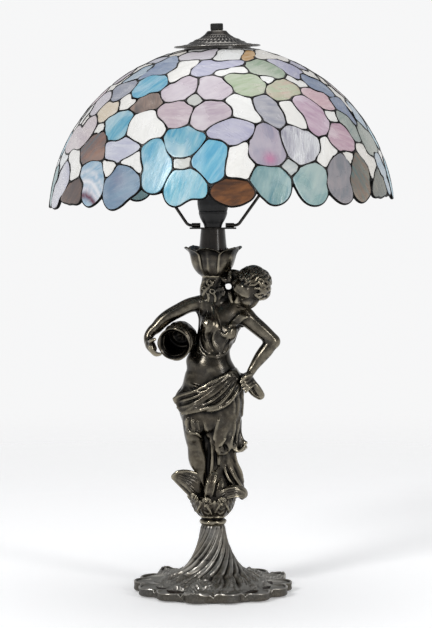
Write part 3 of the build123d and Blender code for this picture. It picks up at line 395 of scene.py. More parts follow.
        # specks cut off from the body are dropped
        lab = np.arange(len(v))
        while True:
            new = lab.copy()
            np.minimum.at(new, q.ravel(), np.repeat(lab[q].min(1), 4))
            new = new[new]
            if np.array_equal(new, lab):
                break
            lab = new
        q = q[np.bincount(lab[q[:, 0]], minlength=len(v))[lab[q[:, 0]]] > 200]
        used = np.zeros(len(v), bool)
        used[q.ravel()] = True
        v, q = v[used], (np.cumsum(used) - 1)[q]
        for step in (0.5, -0.52) * rounds:
            v = v + step * (self.around(v, q) - v)
        # tone is an occlusion measure, the share of solid round each point; cast_metal paints low tone dark as patina
        # and painted shade
        occ = s.astype(np.float32)
        tone = np.zeros(len(v))
        at = np.clip(np.rint((v - self.lo) / h).astype(int), 0, np.array(f.shape) - 1)
        for reach, weight in ((max(1, int(round(1.6 / h))), 0.55), (max(2, int(round(4.5 / h))), 0.45)):
            b = occ
            for ax in range(3):
                n = b.shape[ax]
                c = np.cumsum(b, axis=ax, dtype=np.float64)
                c = np.concatenate([np.zeros_like(np.take(c, [0], ax)), c], ax)
                up = np.clip(np.arange(n) + reach + 1, 0, n)
                dn = np.clip(np.arange(n) - reach, 0, n)
                b = ((np.take(c, up, ax) - np.take(c, dn, ax)) / (2 * reach + 1)).astype(np.float32)
            tone += weight * (1 - b[at[:, 0], at[:, 1], at[:, 2]])
        for _ in range(5):
            tone = self.around(tone[:, None], q)[:, 0]
        return v, q, np.clip((tone - 0.5) * 1.7 + 0.5, 0, 1)

    @staticmethod
    def around(v, q):
        """Mean of each point's neighbours along the quads' edges."""
        a = q.ravel()
        b = np.roll(q, -1, 1).ravel()
        n = np.bincount(a, minlength=len(v)) + np.bincount(b, minlength=len(v))
        out = np.empty_like(v)
        for i in range(v.shape[1]):
            out[:, i] = np.bincount(a, v[b, i], len(v)) + np.bincount(b, v[a, i], len(v))
        return out / np.maximum(n, 1)[:, None]


def noise3(p, seed, size):
    """Smooth value noise at points p (n, 3), feature size in millimetres, about -1 to 1."""
    g = np.random.default_rng(seed).random((32, 32, 32)) * 2 - 1
    q = np.asarray(p) / size
    i = np.floor(q).astype(int)
    t = q - i
    t = t * t * (3 - 2 * t)
    out = 0
    for a in (0, 1):
        for b in (0, 1):
            for c in (0, 1):
                w = (t[..., 0] if a else 1 - t[..., 0]) * (t[..., 1] if b else 1 - t[..., 1]) * (t[..., 2] if c else 1 - t[..., 2])
                out = out + w * g[(i[..., 0] + a) % 32, (i[..., 1] + b) % 32, (i[..., 2] + c) % 32]
    return out


def inside_poly(x, z, poly):
    """Signed distance in the elevation to a closed polygon, negative inside."""
    p = np.asarray(poly, dtype=float)
    d = np.full(np.broadcast(x, z).shape, 1e9)
    s = np.ones(d.shape)
    for i in range(len(p)):
        a, b = p[i], p[i - 1]
        e = b - a
        wx, wz = x - a[0], z - a[1]
        t = np.clip((wx * e[0] + wz * e[1]) / (e @ e), 0, 1)
        d = np.minimum(d, (wx - e[0] * t) ** 2 + (wz - e[1] * t) ** 2)
        c1, c2, c3 = z >= a[1], z < b[1], e[0] * wz > e[1] * wx
        flip = (c1 & c2 & c3) | (~c1 & ~c2 & ~c3)
        s = np.where(flip, -s, s)
    return s * np.sqrt(d)


# ---------------------------------------------------------------- finishes

def srgb(r, g, b, a=1.0):
    def lin(c):
        c = c / 255
        return c / 12.92 if c <= 0.04045 else ((c + 0.055) / 1.055) ** 2.4
    return (lin(r), lin(g), lin(b), a)


class Paint:
    """One node material with a principled shader."""

    def __init__(self, name, **values):
        self.mat = bpy.data.materials.new(name)
        self.mat.use_nodes = True
        self.t = self.mat.node_tree
        self.b = self.t.nodes["Principled BSDF"]
        for k, v in values.items():
            self.b.inputs[k.replace("_", " ")].default_value = v
        self.obj = self.node("TexCoord").outputs["Object"]

    def node(self, kind, values=None, **props):
        n = self.t.nodes.new("ShaderNode" + kind)
        for k, v in props.items():
            setattr(n, k, v)
        for k, v in (values or {}).items():
            n.inputs[k].default_value = v
        return n

    def link(self, a, b):
        self.t.links.new(a, b)

    def noise(self, scale, detail=3.0, rough=0.55, vec=None, distortion=0.0):
        n = self.node("TexNoise", {"Scale": scale, "Detail": detail, "Roughness": rough, "Distortion": distortion})
        self.link(vec or self.obj, n.inputs["Vector"])
        return n.outputs["Fac"]

    def stretch(self, sx, sy, sz, vec=None, turn=(0, 0, 0)):
        n = self.node("Mapping", {"Scale": (sx, sy, sz), "Rotation": turn})
        self.link(vec or self.obj, n.inputs["Vector"])
        return n.outputs["Vector"]

    def ramp(self, fac, stops, mode="LINEAR"):
        n = self.node("ValToRGB")
        n.color_ramp.interpolation = mode
        e = n.color_ramp.elements
        while len(e) < len(stops):
            e.new(0.5)
        for i, (p, c) in enumerate(stops):
            e[i].position = p
            e[i].color = c if hasattr(c, "__len__") else (c, c, c, 1)
        self.link(fac, n.inputs["Fac"])
        return n.outputs["Color"]

    def mix(self, fac, a, b, blend="MIX"):
        n = self.node("Mix", data_type="RGBA", blend_type=blend)
        for value, key in ((fac, 0), (a, 6), (b, 7)):
            if hasattr(value, "is_linked"):
                self.link(value, n.inputs[key])
            else:
                n.inputs[key].default_value = value
        return n.outputs[2]

    def math(self, op, a, b=0.0):
        n = self.node("Math", operation=op)
        for value, key in ((a, 0), (b, 1)):
            if hasattr(value, "is_linked"):
                self.link(value, n.inputs[key])
            else:
                n.inputs[key].default_value = value
        return n.outputs[0]

    def attr(self, name, out="Fac"):
        return self.node("Attribute", attribute_name=name).outputs[out]

    def bump(self, height, strength, distance):
        n = self.node("Bump", {"Strength": strength, "Distance": distance})
        self.link(height, n.inputs["Height"])
        self.link(n.outputs["Normal"], self.b.inputs["Normal"])

    def to(self, name, out):
        self.link(out, self.b.inputs[name])


def cast_metal(name, hollow, body, warm, crest, sculpted=True, rough=(0.24, 0.40), coat=0.35):
    """Patinated cast metal: hollows painted dark from the tone attribute, standing for both patina and painted shade;
    warm and grey patches; rubbed crests.
    """
    p = Paint(name, Metallic=1.0, Coat_Weight=coat, Coat_Roughness=0.16)
    patch = p.ramp(p.noise(38, 4, 0.6), [(0.38, 0.0), (0.62, 1.0)])
    fine = p.noise(420, 4, 0.6)
    flat = p.mix(patch, body, warm)
    if sculpted:
        tone = p.math("ADD", p.attr("tone"), p.math("MULTIPLY", p.math("SUBTRACT", fine, 0.5), 0.16))
        # painted shade: low tone (hollows, creases) pulls the colour towards the near-black hollow colour, partly
        # patina and partly shade
        dark = p.ramp(tone, [(0.30, 1.0), (0.50, 0.0)])
        high = p.ramp(tone, [(0.52, 0.0), (0.80, 1.0)])
        col = p.mix(dark, flat, hollow)
        col = p.mix(high, col, crest)
        rg = p.ramp(tone, [(0.32, rough[1] + 0.12), (0.50, rough[1]), (0.75, rough[0])])
    else:
        spot = p.ramp(fine, [(0.40, 0.35), (0.60, 0.0)])
        col = p.mix(spot, flat, hollow)
        rg = p.ramp(p.noise(120, 3), [(0.35, rough[0]), (0.65, rough[1])])
    p.to("Base Color", col)
    p.to("Roughness", rg)
    p.bump(p.noise(900, 5, 0.65), 0.10, 0.0004)
    return p.mat


def plain_metal(name, col, dark, rough=(0.25, 0.42), scale=140, metallic=1.0, brushed=False, coat=0.0):
    p = Paint(name, Metallic=metallic, Coat_Weight=coat)
    vec = p.stretch(1, 1, 14) if brushed else None
    n = p.noise(scale, 4, 0.6, vec)
    p.to("Base Color", p.mix(p.ramp(n, [(0.35, 0.0), (0.70, 1.0)]), col, dark))
    p.to("Roughness", p.ramp(p.noise(scale * 2.3, 3), [(0.3, rough[0]), (0.7, rough[1])]))
    p.bump(p.noise(1400, 3), 0.06, 0.0003)
    return p.mat


BRONZE = cast_metal("antique_bronze", (0.006, 0.0057, 0.0054, 1), (0.046, 0.0425, 0.0375, 1), (0.061, 0.051, 0.037, 1), (0.27, 0.24, 0.18, 1), rough=(0.17, 0.26), coat=0.1)
PEWTER = cast_metal("pewter_casting", (0.016, 0.0152, 0.014, 1), (0.185, 0.178, 0.164, 1), (0.190, 0.170, 0.138, 1), (0.42, 0.40, 0.36, 1),
                    rough=(0.29, 0.42), coat=0.05)
BRONZE_PLAIN = cast_metal("antique_bronze_turned", (0.006, 0.006, 0.006, 1), (0.016, 0.015, 0.015, 1), (0.024, 0.020, 0.017, 1), (0.2, 0.18, 0.15, 1),
                          sculpted=False, rough=(0.28, 0.42))
CAP_METAL = cast_metal("pewter_cap", (0.006, 0.006, 0.006, 1), (0.036, 0.034, 0.032, 1), (0.046, 0.040, 0.034, 1), (0.20, 0.19, 0.175, 1), rough=(0.24, 0.40), coat=0.08)
PEWTER_PLAIN = cast_metal("pewter_turned", (0.02, 0.019, 0.018, 1), (0.095, 0.090, 0.084, 1), (0.12, 0.105, 0.088, 1), (0.3, 0.28, 0.25, 1), sculpted=False, rough=(0.28, 0.44))
CAP_PLAIN = cast_metal("pewter_cap_turned", (0.016, 0.016, 0.016, 1), (0.070, 0.068, 0.066, 1), (0.09, 0.082, 0.072, 1), (0.3, 0.28, 0.25, 1), sculpted=False, rough=(0.28, 0.44))
SOLDER = cast_metal("solder", (0.003, 0.003, 0.003, 1), (0.010, 0.0095, 0.009, 1), (0.014, 0.013, 0.012, 1), (0.075, 0.072, 0.070, 1), rough=(0.26, 0.42), coat=0.06)
DARK_STEEL = plain_metal("dark_steel", (0.050, 0.046, 0.042, 1), (0.020, 0.018, 0.017, 1), (0.28, 0.42), 260)
STEEL = plain_metal("steel", (0.52, 0.51, 0.50, 1), (0.38, 0.37, 0.36, 1), (0.22, 0.36), 220, brushed=True)
BRASS = plain_metal("brass", (0.72, 0.52, 0.22, 1), (0.48, 0.33, 0.13, 1), (0.20, 0.34), 180)
BULB_METAL = plain_metal("bulb_metal", (0.66, 0.65, 0.63, 1), (0.46, 0.45, 0.44, 1), (0.20, 0.32), 200)
IRON = plain_metal("ballast_iron", (0.085, 0.080, 0.076, 1), (0.045, 0.030, 0.022, 1), (0.55, 0.75), 90)


def black_plastic(name, col=(0.004, 0.004, 0.0045, 1), rough=(0.34, 0.46)):
    p = Paint(name, Specular_IOR_Level=0.30)
    n = p.noise(160, 3)
    p.to("Base Color", p.mix(n, col, (col[0] * 2.2, col[1] * 2.1, col[2] * 2.0, 1)))
    p.to("Roughness", p.ramp(n, [(0.3, rough[0]), (0.7, rough[1])]))
    p.bump(p.noise(2200, 2), 0.05, 0.0002)
    return p.mat


PLASTIC = black_plastic("black_plastic")
KNOB = black_plastic("black_knob", (0.005, 0.005, 0.005, 1), (0.34, 0.5))


def felt():
    p = Paint("felt", Roughness=0.95, Sheen_Weight=0.35)
    n = p.noise(1500, 6, 0.7)
    p.to("Base Color", p.mix(n, (0.010, 0.011, 0.010, 1), (0.045, 0.048, 0.044, 1)))
    p.bump(p.noise(2600, 4, 0.7), 0.6, 0.0006)
    return p.mat


def ceramic():
    p = Paint("ceramic", Roughness=0.28)
    p.to("Base Color", p.mix(p.noise(300, 3), (0.76, 0.73, 0.67, 1), (0.66, 0.62, 0.56, 1)))
    p.bump(p.noise(900, 3), 0.05, 0.0003)
    return p.mat


def frosted():
    p = Paint("frosted_glass", IOR=1.46, Transmission_Weight=0.25, Specular_IOR_Level=0.45)
    n = p.noise(60, 3)
    p.to("Base Color", p.mix(n, (0.86, 0.86, 0.84, 1), (0.93, 0.93, 0.92, 1)))
    p.to("Roughness", p.ramp(n, [(0.3, 0.34), (0.7, 0.48)]))
    p.bump(p.noise(2400, 3), 0.04, 0.0002)
    return p.mat


def clear():
    p = Paint("clear_glass", IOR=1.5, Transmission_Weight=1.0)
    p.to("Base Color", p.mix(p.noise(80, 2), (0.95, 0.97, 0.96, 1), (0.98, 0.98, 0.98, 1)))
    p.to("Roughness", p.ramp(p.noise(200, 2), [(0.3, 0.02), (0.7, 0.06)]))
    return p.mat


FELT, CERAMIC, FROSTED, CLEAR = felt(), ceramic(), frosted(), clear()


def stained_glass(name, rough=(0.20, 0.32), ripple=0.0, streak=1.0):
    """Rolled opalescent glass: wisps of two colours and white drawn out along each piece's own grain."""
    p = Paint(name, IOR=1.5, Specular_IOR_Level=0.4, Transmission_Weight=0.18, Coat_Weight=0.05, Coat_Roughness=0.2)
    a, b, w = p.attr("glass_a", "Color"), p.attr("glass_b", "Color"), p.attr("glass_c", "Color")
    g = p.attr("grain", "Vector")
    wisp = p.noise(1.0, 5, 0.58, p.stretch(26, 110, 26, g), 1.1)
    cloud = p.noise(1.0, 3, 0.5, p.stretch(22, 30, 22, g), 0.6)
    thin = p.noise(1.0, 4, 0.6, p.stretch(40, 300, 40, g), 0.8)
    col = p.mix(p.ramp(wisp, [(0.34, 0.0), (0.66, streak)]), a, b)
    col = p.mix(p.ramp(cloud, [(0.46, 0.0), (0.78, 0.8 * streak)]), col, w)
    col = p.mix(p.ramp(thin, [(0.54, 0.0), (0.74, 0.40 * streak)]), col, w)
    p.to("Base Color", col)
    p.to("Roughness", p.ramp(cloud, [(0.3, rough[0]), (0.7, rough[1])]))
    roll = p.noise(1.0, 3, 0.5, p.stretch(70, 160, 70, g))
    if ripple:
        wave = p.node("TexWave", {"Scale": 1.0, "Distortion": 6.0, "Detail": 2.0, "Detail Scale": 1.5}, bands_direction="Y")
        p.link(p.stretch(60, 150, 60, g), wave.inputs["Vector"])
        roll = p.math("ADD", p.math("MULTIPLY", wave.outputs["Fac"], ripple), roll)
    p.bump(roll, 0.28 + 0.25 * ripple, 0.0012)
    return p.mat


# ---------------------------------------------------------------- figure

def low(x, y):
    """Front elevation, lower sheet (9.33 units to 1.165 mm): x and height."""
    return (x / 9.33 - 53) * 1.1635, (211 - y / 9.33) * 1.168


def mid(x, y):
    """Front elevation, middle sheet."""
    return (x / 9.03 - 78) * 1.1635, (301 - y / 9.03) * 1.168


def top(x, y):
    """Front elevation, upper sheet."""
    return (x / 12.73 - 28) * 1.1635, (361 - y / 12.73) * 1.168


def line(sheet, *pts):
    return [sheet(x, y) for x, y in pts]


def figure_body():
    c = Clay((-84, -38, 100), (86, 36, 348), 0.945)

    # the body: pelvis to shoulders, swung to one hip
    c.loft([(236, -1.5, -1, 31, 21), (250, -1, -1, 31.5, 21.5), (262, -2, -1, 28.5, 19.5), (272, -5.0, -0.5, 26.2, 17.8),
            (281, -3.8, 0, 23.4, 16.4), (293, 2.0, 0.5, 21.5, 16.3), (305, 6.0, 1, 21.5, 16.8), (316, 8, 1, 22.5, 16.5),
            (326, 9.5, 1, 24.5, 14), (334, 9, 1.5, 24, 10.5), (341, 8, 2, 16, 7.5)], k=0, soft=4)
    # thighs and lower legs
    c.stroke([(-14, -3, 238), (-20, -9, 212), (-22.5, -11.5, 188), (-20, -9, 172), (-16.5, -5, 158), (-13.4, -3, 142),
              (-12.2, -2, 128), (-11.6, -2, 116), (-11.4, -3, 106)], [19, 16, 11.2, 9.6, 9.5, 7.4, 5.2, 4.6, 4.4], k=8)
    c.ball((-19.5, -5, 160), (9.0, 10, 17), 5)                       # calf
    c.ball((-23, -19, 187), (6.5, 5.5, 7.5), 6)                      # knee cap
    c.stroke([(17, -2, 238), (16, -10, 210), (9, -13, 182), (8, -6, 165), (8.6, 0, 147), (9.8, 3, 130), (10.2, 3, 112)],
             [18, 15.5, 10.5, 8.2, 7, 4.8, 4.4], k=8)
    # breast, shoulder and back
    c.ball((-3.6, -12.5, 312.5), (10.2, 9.6, 10.4), 6)
    c.ball((17.6, -12.0, 304.5), (9.8, 9.4, 10.0), 6)
    c.ball((-10.5, 1, 337), (9.5, 8.6, 8.6), 8)
    c.ball((37.5, 0, 323.5), (9.4, 8.8, 9.0), 8)
    c.ball((-3, 10, 322), (9, 7, 13), 6)
    c.ball((24, 10, 316), (9, 7, 13), 6)
    c.stroke([(8, 18.5, 330), (7, 19.5, 312), (1, 18.5, 292), (-3, 18.5, 274), (-1, 22, 258)], [1.6, 1.8, 2.2, 2.4, 2.0], k=5, cut=True)
    c.stroke([(10, 1, 326), (22, 0, 333), (32, -2, 344)], [13, 9.5, 7.6], k=8)       # neck
    # belly
    c.ball((-2, -9.5, 262), (19, 12.5, 17), 9)
    # arms
    c.stroke([(-8, 1, 338), (-26, 0, 335.5), (-41.3, -2, 328.4), (-51.7, -4, 322.6), (-59.6, -5.5, 316.3), (-65.4, -7, 310),
              (-71, -8.5, 305.5), (-74.6, -11, 299.5), (-74.4, -14, 293.5), (-71.4, -17, 288.5)],
             [9.6, 8.6, 8.2, 8.0, 7.7, 7.0, 6.1, 5.5, 4.9, 4.4], k=5)
    c.stroke([(36, 0, 323), (47, -1, 314), (57, -1.5, 305.5), (66, -2, 297.5), (69.5, -2, 293.5)], [10.2, 9.6, 9.1, 8.2, 7.6], k=5)
    c.ball((71, -1, 293), (6.2, 6.0, 6.0), 4)
    c.stroke([(69, -2, 293), (62, -3.5, 283.5), (55.6, -5, 275.6), (50, -6.5, 268), (45.2, -8.5, 260.5)], [7.4, 8.3, 7.6, 6.2, 4.8], k=4)
    c.settle()

    # bodice: a thin cloth from her right shoulder over the breasts to a pointed hem
    hem = [mid(*p) for p in ((585, 150), (560, 300), (548, 430), (556, 540), (640, 572), (730, 580), (810, 566), (868, 510), (905, 440),
                             (930, 340), (900, 285), (870, 330), (815, 385), (765, 355), (735, 300), (715, 200), (720, 70), (600, 60))]
    c.wrap(lambda x, y, z: np.maximum(inside_poly(x, z, hem), y - 6), 1.1, (-34, -34, 272), (42, 8, 346))
    back = [(-20, 338), (-19, 318), (-22, 296), (-8, 284), (10, 282), (26, 292), (34, 306), (40, 322), (24, 312), (8, 318), (-4, 340)]
    c.wrap(lambda x, y, z: np.maximum(inside_poly(x, z, back), -2 - y), 1.3, (-30, -4, 276), (46, 34, 346))
    c.settle()
    for pts, r in (
            (((655, 75), (660, 160), (645, 235), (612, 340), (622, 440), (690, 515)), [1.5, 1.5, 1.3, 1.6, 1.7, 1.0]),
            (((690, 80), (700, 170), (690, 240)), [1.5, 1.5, 1.0]),
            (((718, 90), (724, 190), (742, 290), (770, 352), (815, 384), (868, 332)), [1.6, 1.6, 1.5, 1.6, 1.8, 1.6]),
            (((668, 250), (640, 350), (655, 440), (730, 510)), [0.9, 1.4, 1.5, 0.9]),
            (((745, 300), (705, 390), (712, 460), (760, 520)), [0.8, 1.4, 1.4, 0.8]),
            (((868, 380), (826, 450), (800, 520)), [0.8, 1.3, 0.8])):
        c.fold(line(mid, *pts), r, 0.40, 2.8)
    for pts, r in (
            (((612, 300), (590, 400), (604, 490), (660, 545)), [0.8, 1.3, 1.3, 0.8]),
            (((706, 330), (676, 410), (690, 480), (740, 540)), [0.7, 1.2, 1.2, 0.7]),
            (((850, 420), (822, 480), (800, 540)), [0.7, 1.1, 0.7])):
        c.fold(line(mid, *pts), r, 0.3, 2.4, cut=True)
    # gathered strap over her left shoulder: five strands
    for n in range(5):
        s = n / 4
        c.fold(line(mid, (850 + 50 * s, 330 - 22 * s), (872 + 66 * s, 272 - 4 * s), (925 + 66 * s, 222 + 8 * s), (985 + 45 * s, 190 + 36 * s)),
               [1.5, 1.9, 1.9, 1.4], 2.3, 0.5)
    for n in range(4):
        s = n / 3
        c.stroke([(33 + 4 * s, -3, 332 - 5 * s), (34 + 4 * s, 6, 331 - 4 * s), (30 + 4 * s, 15, 322 - 2 * s), (22, 18.5, 310)],
                 [1.7, 1.8, 1.7, 1.0], 0.8)

    # skirt round both thighs, then hanging over her left leg to a waved hem
    def pleat(a, z):
        return (0.45 * np.sin(7 * a + 0.06 * z) + 0.25 * np.sin(13 * a - 0.05 * z + 1.0)) * np.clip((256 - z) / 24, 0, 1)

    def hem_behind(a):
        s = np.clip((np.abs(a) - 1.5) / 0.7, 0, 1)
        return 190 - s * s * (3 - 2 * s) * (13 + 2.6 * np.sin(5 * a + 0.6) + 1.5 * np.sin(9 * a))

    c.loft([(164, 3, 1.5, 25, 18.5), (176, 2, 0.5, 27.5, 20.2), (190, 0.5, -1, 30.5, 22), (200, -1.5, -2, 33.5, 24.5), (214, -2.5, -2, 36.5, 26), (226, -1.5, -1, 37.5, 26), (238, 0, -1, 36, 25),
            (250, 0.5, -1, 33.5, 23), (258, -0.5, -1, 31, 21.3)], k=3, soft=4, relief=pleat, bottom=hem_behind)

    def flow(a, z):
        return (2.0 * np.sin(6 * a + 0.7 + 0.03 * z) + 0.8 * np.sin(13 * a + 0.4)) * np.clip((214 - z) / 40, 0, 1)

    c.loft([(158, 17, 1, 22.5, 19.5), (166, 17, 1, 22, 19.5), (174, 15.5, 0.5, 20.5, 20), (184, 11, 0, 19, 20.5), (196, 9.5, -1, 21, 22),
            (208, 9.5, -1, 24, 23)], k=4, soft=2.0, relief=flow,
           bottom=lambda a: 166.5 + 2.6 * np.sin(6 * a + 5.6) + 1.5 * np.sin(2 * a + 1.0))
    c.settle()
    # flare of the hem at her left
    c.stroke([(30, -3, 200), (30.5, -4, 188), (33.5, -6, 179), (38.5, -8, 175.6)], [3.2, 3.0, 2.6, 1.5], 3)
    c.stroke([(38.5, -8, 175.6), (34, -12, 169.6), (28.5, -16, 166.6), (22.5, -17, 171)], [1.5, 1.7, 1.8, 1.6], 1.6)
    for pts, r in (
            (((560, 300), (534, 380), (512, 480), (502, 560)), [0.8, 1.8, 2.2, 1.5]),
            (((545, 600), (575, 560), (618, 510), (655, 465)), [2.0, 2.2, 1.9, 1.2]),
            (((700, 330), (690, 430), (668, 520), (652, 575)), [1.3, 2.2, 2.3, 1.8]),
            (((742, 330), (726, 430), (712, 520), (722, 600)), [1.3, 1.9, 2.0, 1.7]),
            (((515, 575), (530, 630), (570, 665), (620, 655), (655, 590)), [1.5, 1.6, 1.7, 1.7, 1.4]),
            (((405, 320), (425, 410), (452, 490), (482, 575)), [0.8, 2.0, 2.4, 1.4]),
            (((480, 590), (478, 680), (486, 800)), [1.8, 1.7, 1.6]),
            # cloth bunched above her right knee
            (((264, 318), (254, 368), (268, 424)), [1.8, 3.0, 2.0]),
            (((298, 322), (310, 380), (322, 438)), [1.6, 3.2, 2.2]),
            (((352, 336), (354, 386), (374, 446)), [1.2, 2.2, 1.6]),
            (((255, 425), (300, 455), (352, 470), (395, 525)), [2.0, 2.3, 2.3, 1.8])):
        c.fold(line(low, *pts), r, 1.1, 1.4)
    for pts, r in (
            (((498, 400), (494, 470), (494, 560)), [0.7, 1.4, 1.5]),
            (((600, 575), (620, 615), (610, 645)), [1.6, 2.4, 1.6]),
            (((690, 520), (700, 575), (712, 612)), [1.2, 2.2, 1.4]),
            (((655, 420), (632, 500), (600, 570)), [0.8, 1.6, 1.4])):
        c.fold(line(low, *pts), r, 0.5, 1.2, cut=True)

    # sash: two bundles of pleats from her left hip down to the other side
    band = [mid(*p) for p in ((815, 725), (700, 790), (560, 868), (440, 905), (350, 955), (352, 1000), (400, 1075), (440, 1100), (600, 1062),
                              (740, 1045), (880, 970), (965, 880), (965, 760), (920, 690), (870, 690))]
    c.wrap(lambda x, y, z: np.maximum(inside_poly(x, z, band), y - 4), 3.4, (-52, -38, 210), (48, 8, 266), 1.2, 2.5)
    c.stroke([(-31, -10, 236), (-38, -12, 231), (-43, -12, 226)], [6.0, 5.4, 3.4], 4, normal=(0.25, 0.2, -0.94), ratio=0.75)
    c.stroke([(-30, 2, 238), (-37, 2, 232), (-42, -2, 226)], [6.0, 5.0, 3.0], 4)
    c.stroke([(-41, -10, 226), (-37, -13, 218), (-32, -17, 211)], [3.6, 4.2, 3.0], 3)
    c.settle()
    for pts, r in (
            (((830, 728), (700, 795), (560, 872), (430, 920), (350, 958)), [1.4, 1.9, 2.2, 2.1, 1.5]),
            (((850, 735), (720, 825), (580, 915), (450, 965), (365, 995)), [1.3, 1.9, 2.1, 2.0, 1.3]),
            (((862, 745), (735, 850), (595, 950), (480, 1010), (385, 1040)), [1.2, 1.9, 2.1, 2.0, 1.3]),
            (((885, 735), (765, 855), (625, 955), (520, 1020), (430, 1085)), [1.6, 2.4, 2.6, 2.5, 1.9]),
            (((905, 750), (800, 875), (690, 965), (580, 1020), (470, 1085)), [1.2, 1.9, 2.0, 1.9, 1.4]),
            (((925, 775), (845, 905), (750, 995), (640, 1032), (500, 1078)), [1.5, 2.3, 2.5, 2.3, 1.5]),
            (((950, 800), (900, 915), (820, 1000), (720, 1040), (600, 1056)), [1.4, 2.1, 2.3, 2.2, 1.4]),
            (((505, 822), (590, 848), (690, 832)), [1.2, 1.7, 1.2]),
            (((505, 868), (590, 888), (660, 862)), [1.2, 1.6, 1.1])):
        c.fold(line(mid, *pts), r, 1.5, 0.9)
    # hanging folds below the sash on her left thigh
    for pts, r in ((((880, 930), (895, 1010), (890, 1090)), [1.6, 1.8, 0.8]), (((925, 900), (935, 1000), (930, 1100)), [1.6, 1.7, 0.8]),
                   (((965, 890), (972, 990), (970, 1120)), [1.6, 1.6, 0.8])):
        c.fold(line(mid, *pts), r, 0.7, 1.6)

    # her left hand on the hip, the cloth end through it
    c.stroke([(45.2, -8.5, 260.5), (41.5, -12, 254.5), (37.5, -15.5, 248.5)], [4.3, 5.0, 4.2], 2.5, normal=unit((0.6, -0.7, 0.2)), ratio=0.75)
    for n, (x, z, l) in enumerate(((33.5, 251.5, 0), (34.8, 247.2, 0), (36.6, 243.2, 0), (39, 240, 0))):
        c.stroke([(x + 7, -13.5 + n * 0.5, z + 3.5), (x + 2.8, -19.5 + n * 0.9, z + 0.6), (x - 1.2, -22 + n * 1.2, z - 3.8)], [2.3, 2.15, 1.7], 0.5)
    c.stroke([(43, -14, 256), (38, -19, 254.5), (33.5, -21.5, 252)], [2.3, 2.1, 1.7], 0.5)
    c.stroke([(40, -5, 252), (44, -4.5, 243.5), (49.5, -3.5, 236), (54.6, -3, 230.6)], [6.0, 7.0, 7.4, 5.6], 2.5)
    c.stroke([(46, -9.5, 249), (51.5, -8.6, 241), (56.5, -6, 234)], [1.8, 2.6, 1.8], 2.0)
    c.stroke([(41, -10.4, 246), (46, -10.0, 238), (51.5, -8.0, 230.5)], [0.9, 1.4, 0.9], 1.6, cut=True)
    c.stroke([(40, 2, 250), (45, 4, 242), (50, 3, 235)], [4, 4.6, 4], 3)

    # her right hand round the jar's lip
    c.stroke([(-73.4, -15, 293.5), (-72.2, -21, 290.5), (-69.6, -26, 287)], [5.2, 6.0, 5.2], 2.5)
    for n in range(4):
        y = -24.0 - 3.8 * n
        c.stroke([(-72, y, 291.5 - 0.6 * n), (-69.6, y - 1.0, 284.8), (-65.4, y - 1.4, 281.2), (-60.6, y - 1.0, 280.6 + 0.3 * n)], [2.8, 2.7, 2.4, 1.8], 0.6)
    c.stroke([(-73, -21, 294), (-71, -29, 296), (-67, -34.0, 298.5)], [2.9, 2.6, 2.0], 0.8)

    # cloth trailing behind her left leg
    def ripple(a, z):
        return 1.3 * np.sin(7 * a + 0.16 * z)

    c.loft([(112, 21, 5, 17, 11), (120, 21.5, 5, 15.5, 11), (130, 20, 5, 14, 11), (141, 18, 5, 11.5, 11), (153, 16, 5, 10.5, 11.5),
            (165, 14, 4, 13, 13), (176, 12, 3, 14, 14)], k=3, soft=4, relief=ripple)
    c.loft([(104, -1, 2, 17, 10), (116, -1, 2, 12, 9.8), (140, 0, 2, 9.5, 9.6), (165, -2, 3, 14, 12), (186, -4, 4, 20, 14)], k=5, soft=4)
    c.settle()
    for pts, r in (
            (((655, 690), (680, 760), (730, 850), (768, 960)), [1.3, 1.9, 2.0, 1.5]),
            (((625, 710), (640, 790), (690, 880), (735, 975)), [1.2, 1.8, 2.0, 1.4]),
            (((605, 760), (612, 840), (645, 910), (690, 975)), [1.2, 1.7, 1.9, 1.3]),
            (((700, 680), (715, 760), (755, 850), (778, 950)), [1.5, 1.8, 1.8, 1.4])):
        c.fold(line(low, *pts), r, 1.0, 1.0)

    for pts, r in ((((-6.0, 187), (-4.6, 165), (-5.8, 145), (-6.4, 124)), [1.6, 2.4, 2.4, 1.6]), (((1.0, 172), (2.6, 156), (2.0, 142)), [1.0, 1.6, 1.0])):
        c.fold(pts, r, 0.8, 1.4, cut=True)
    for pts, r in ((((-1.6, 174), (-0.8, 158), (-2.0, 142), (-3.0, 128)), [1.4, 2.0, 2.0, 1.4]), (((5.4, 172), (6.6, 158), (6.4, 146)), [1.4, 2.0, 1.4])):
        c.fold(pts, r, 1.0, 1.4)

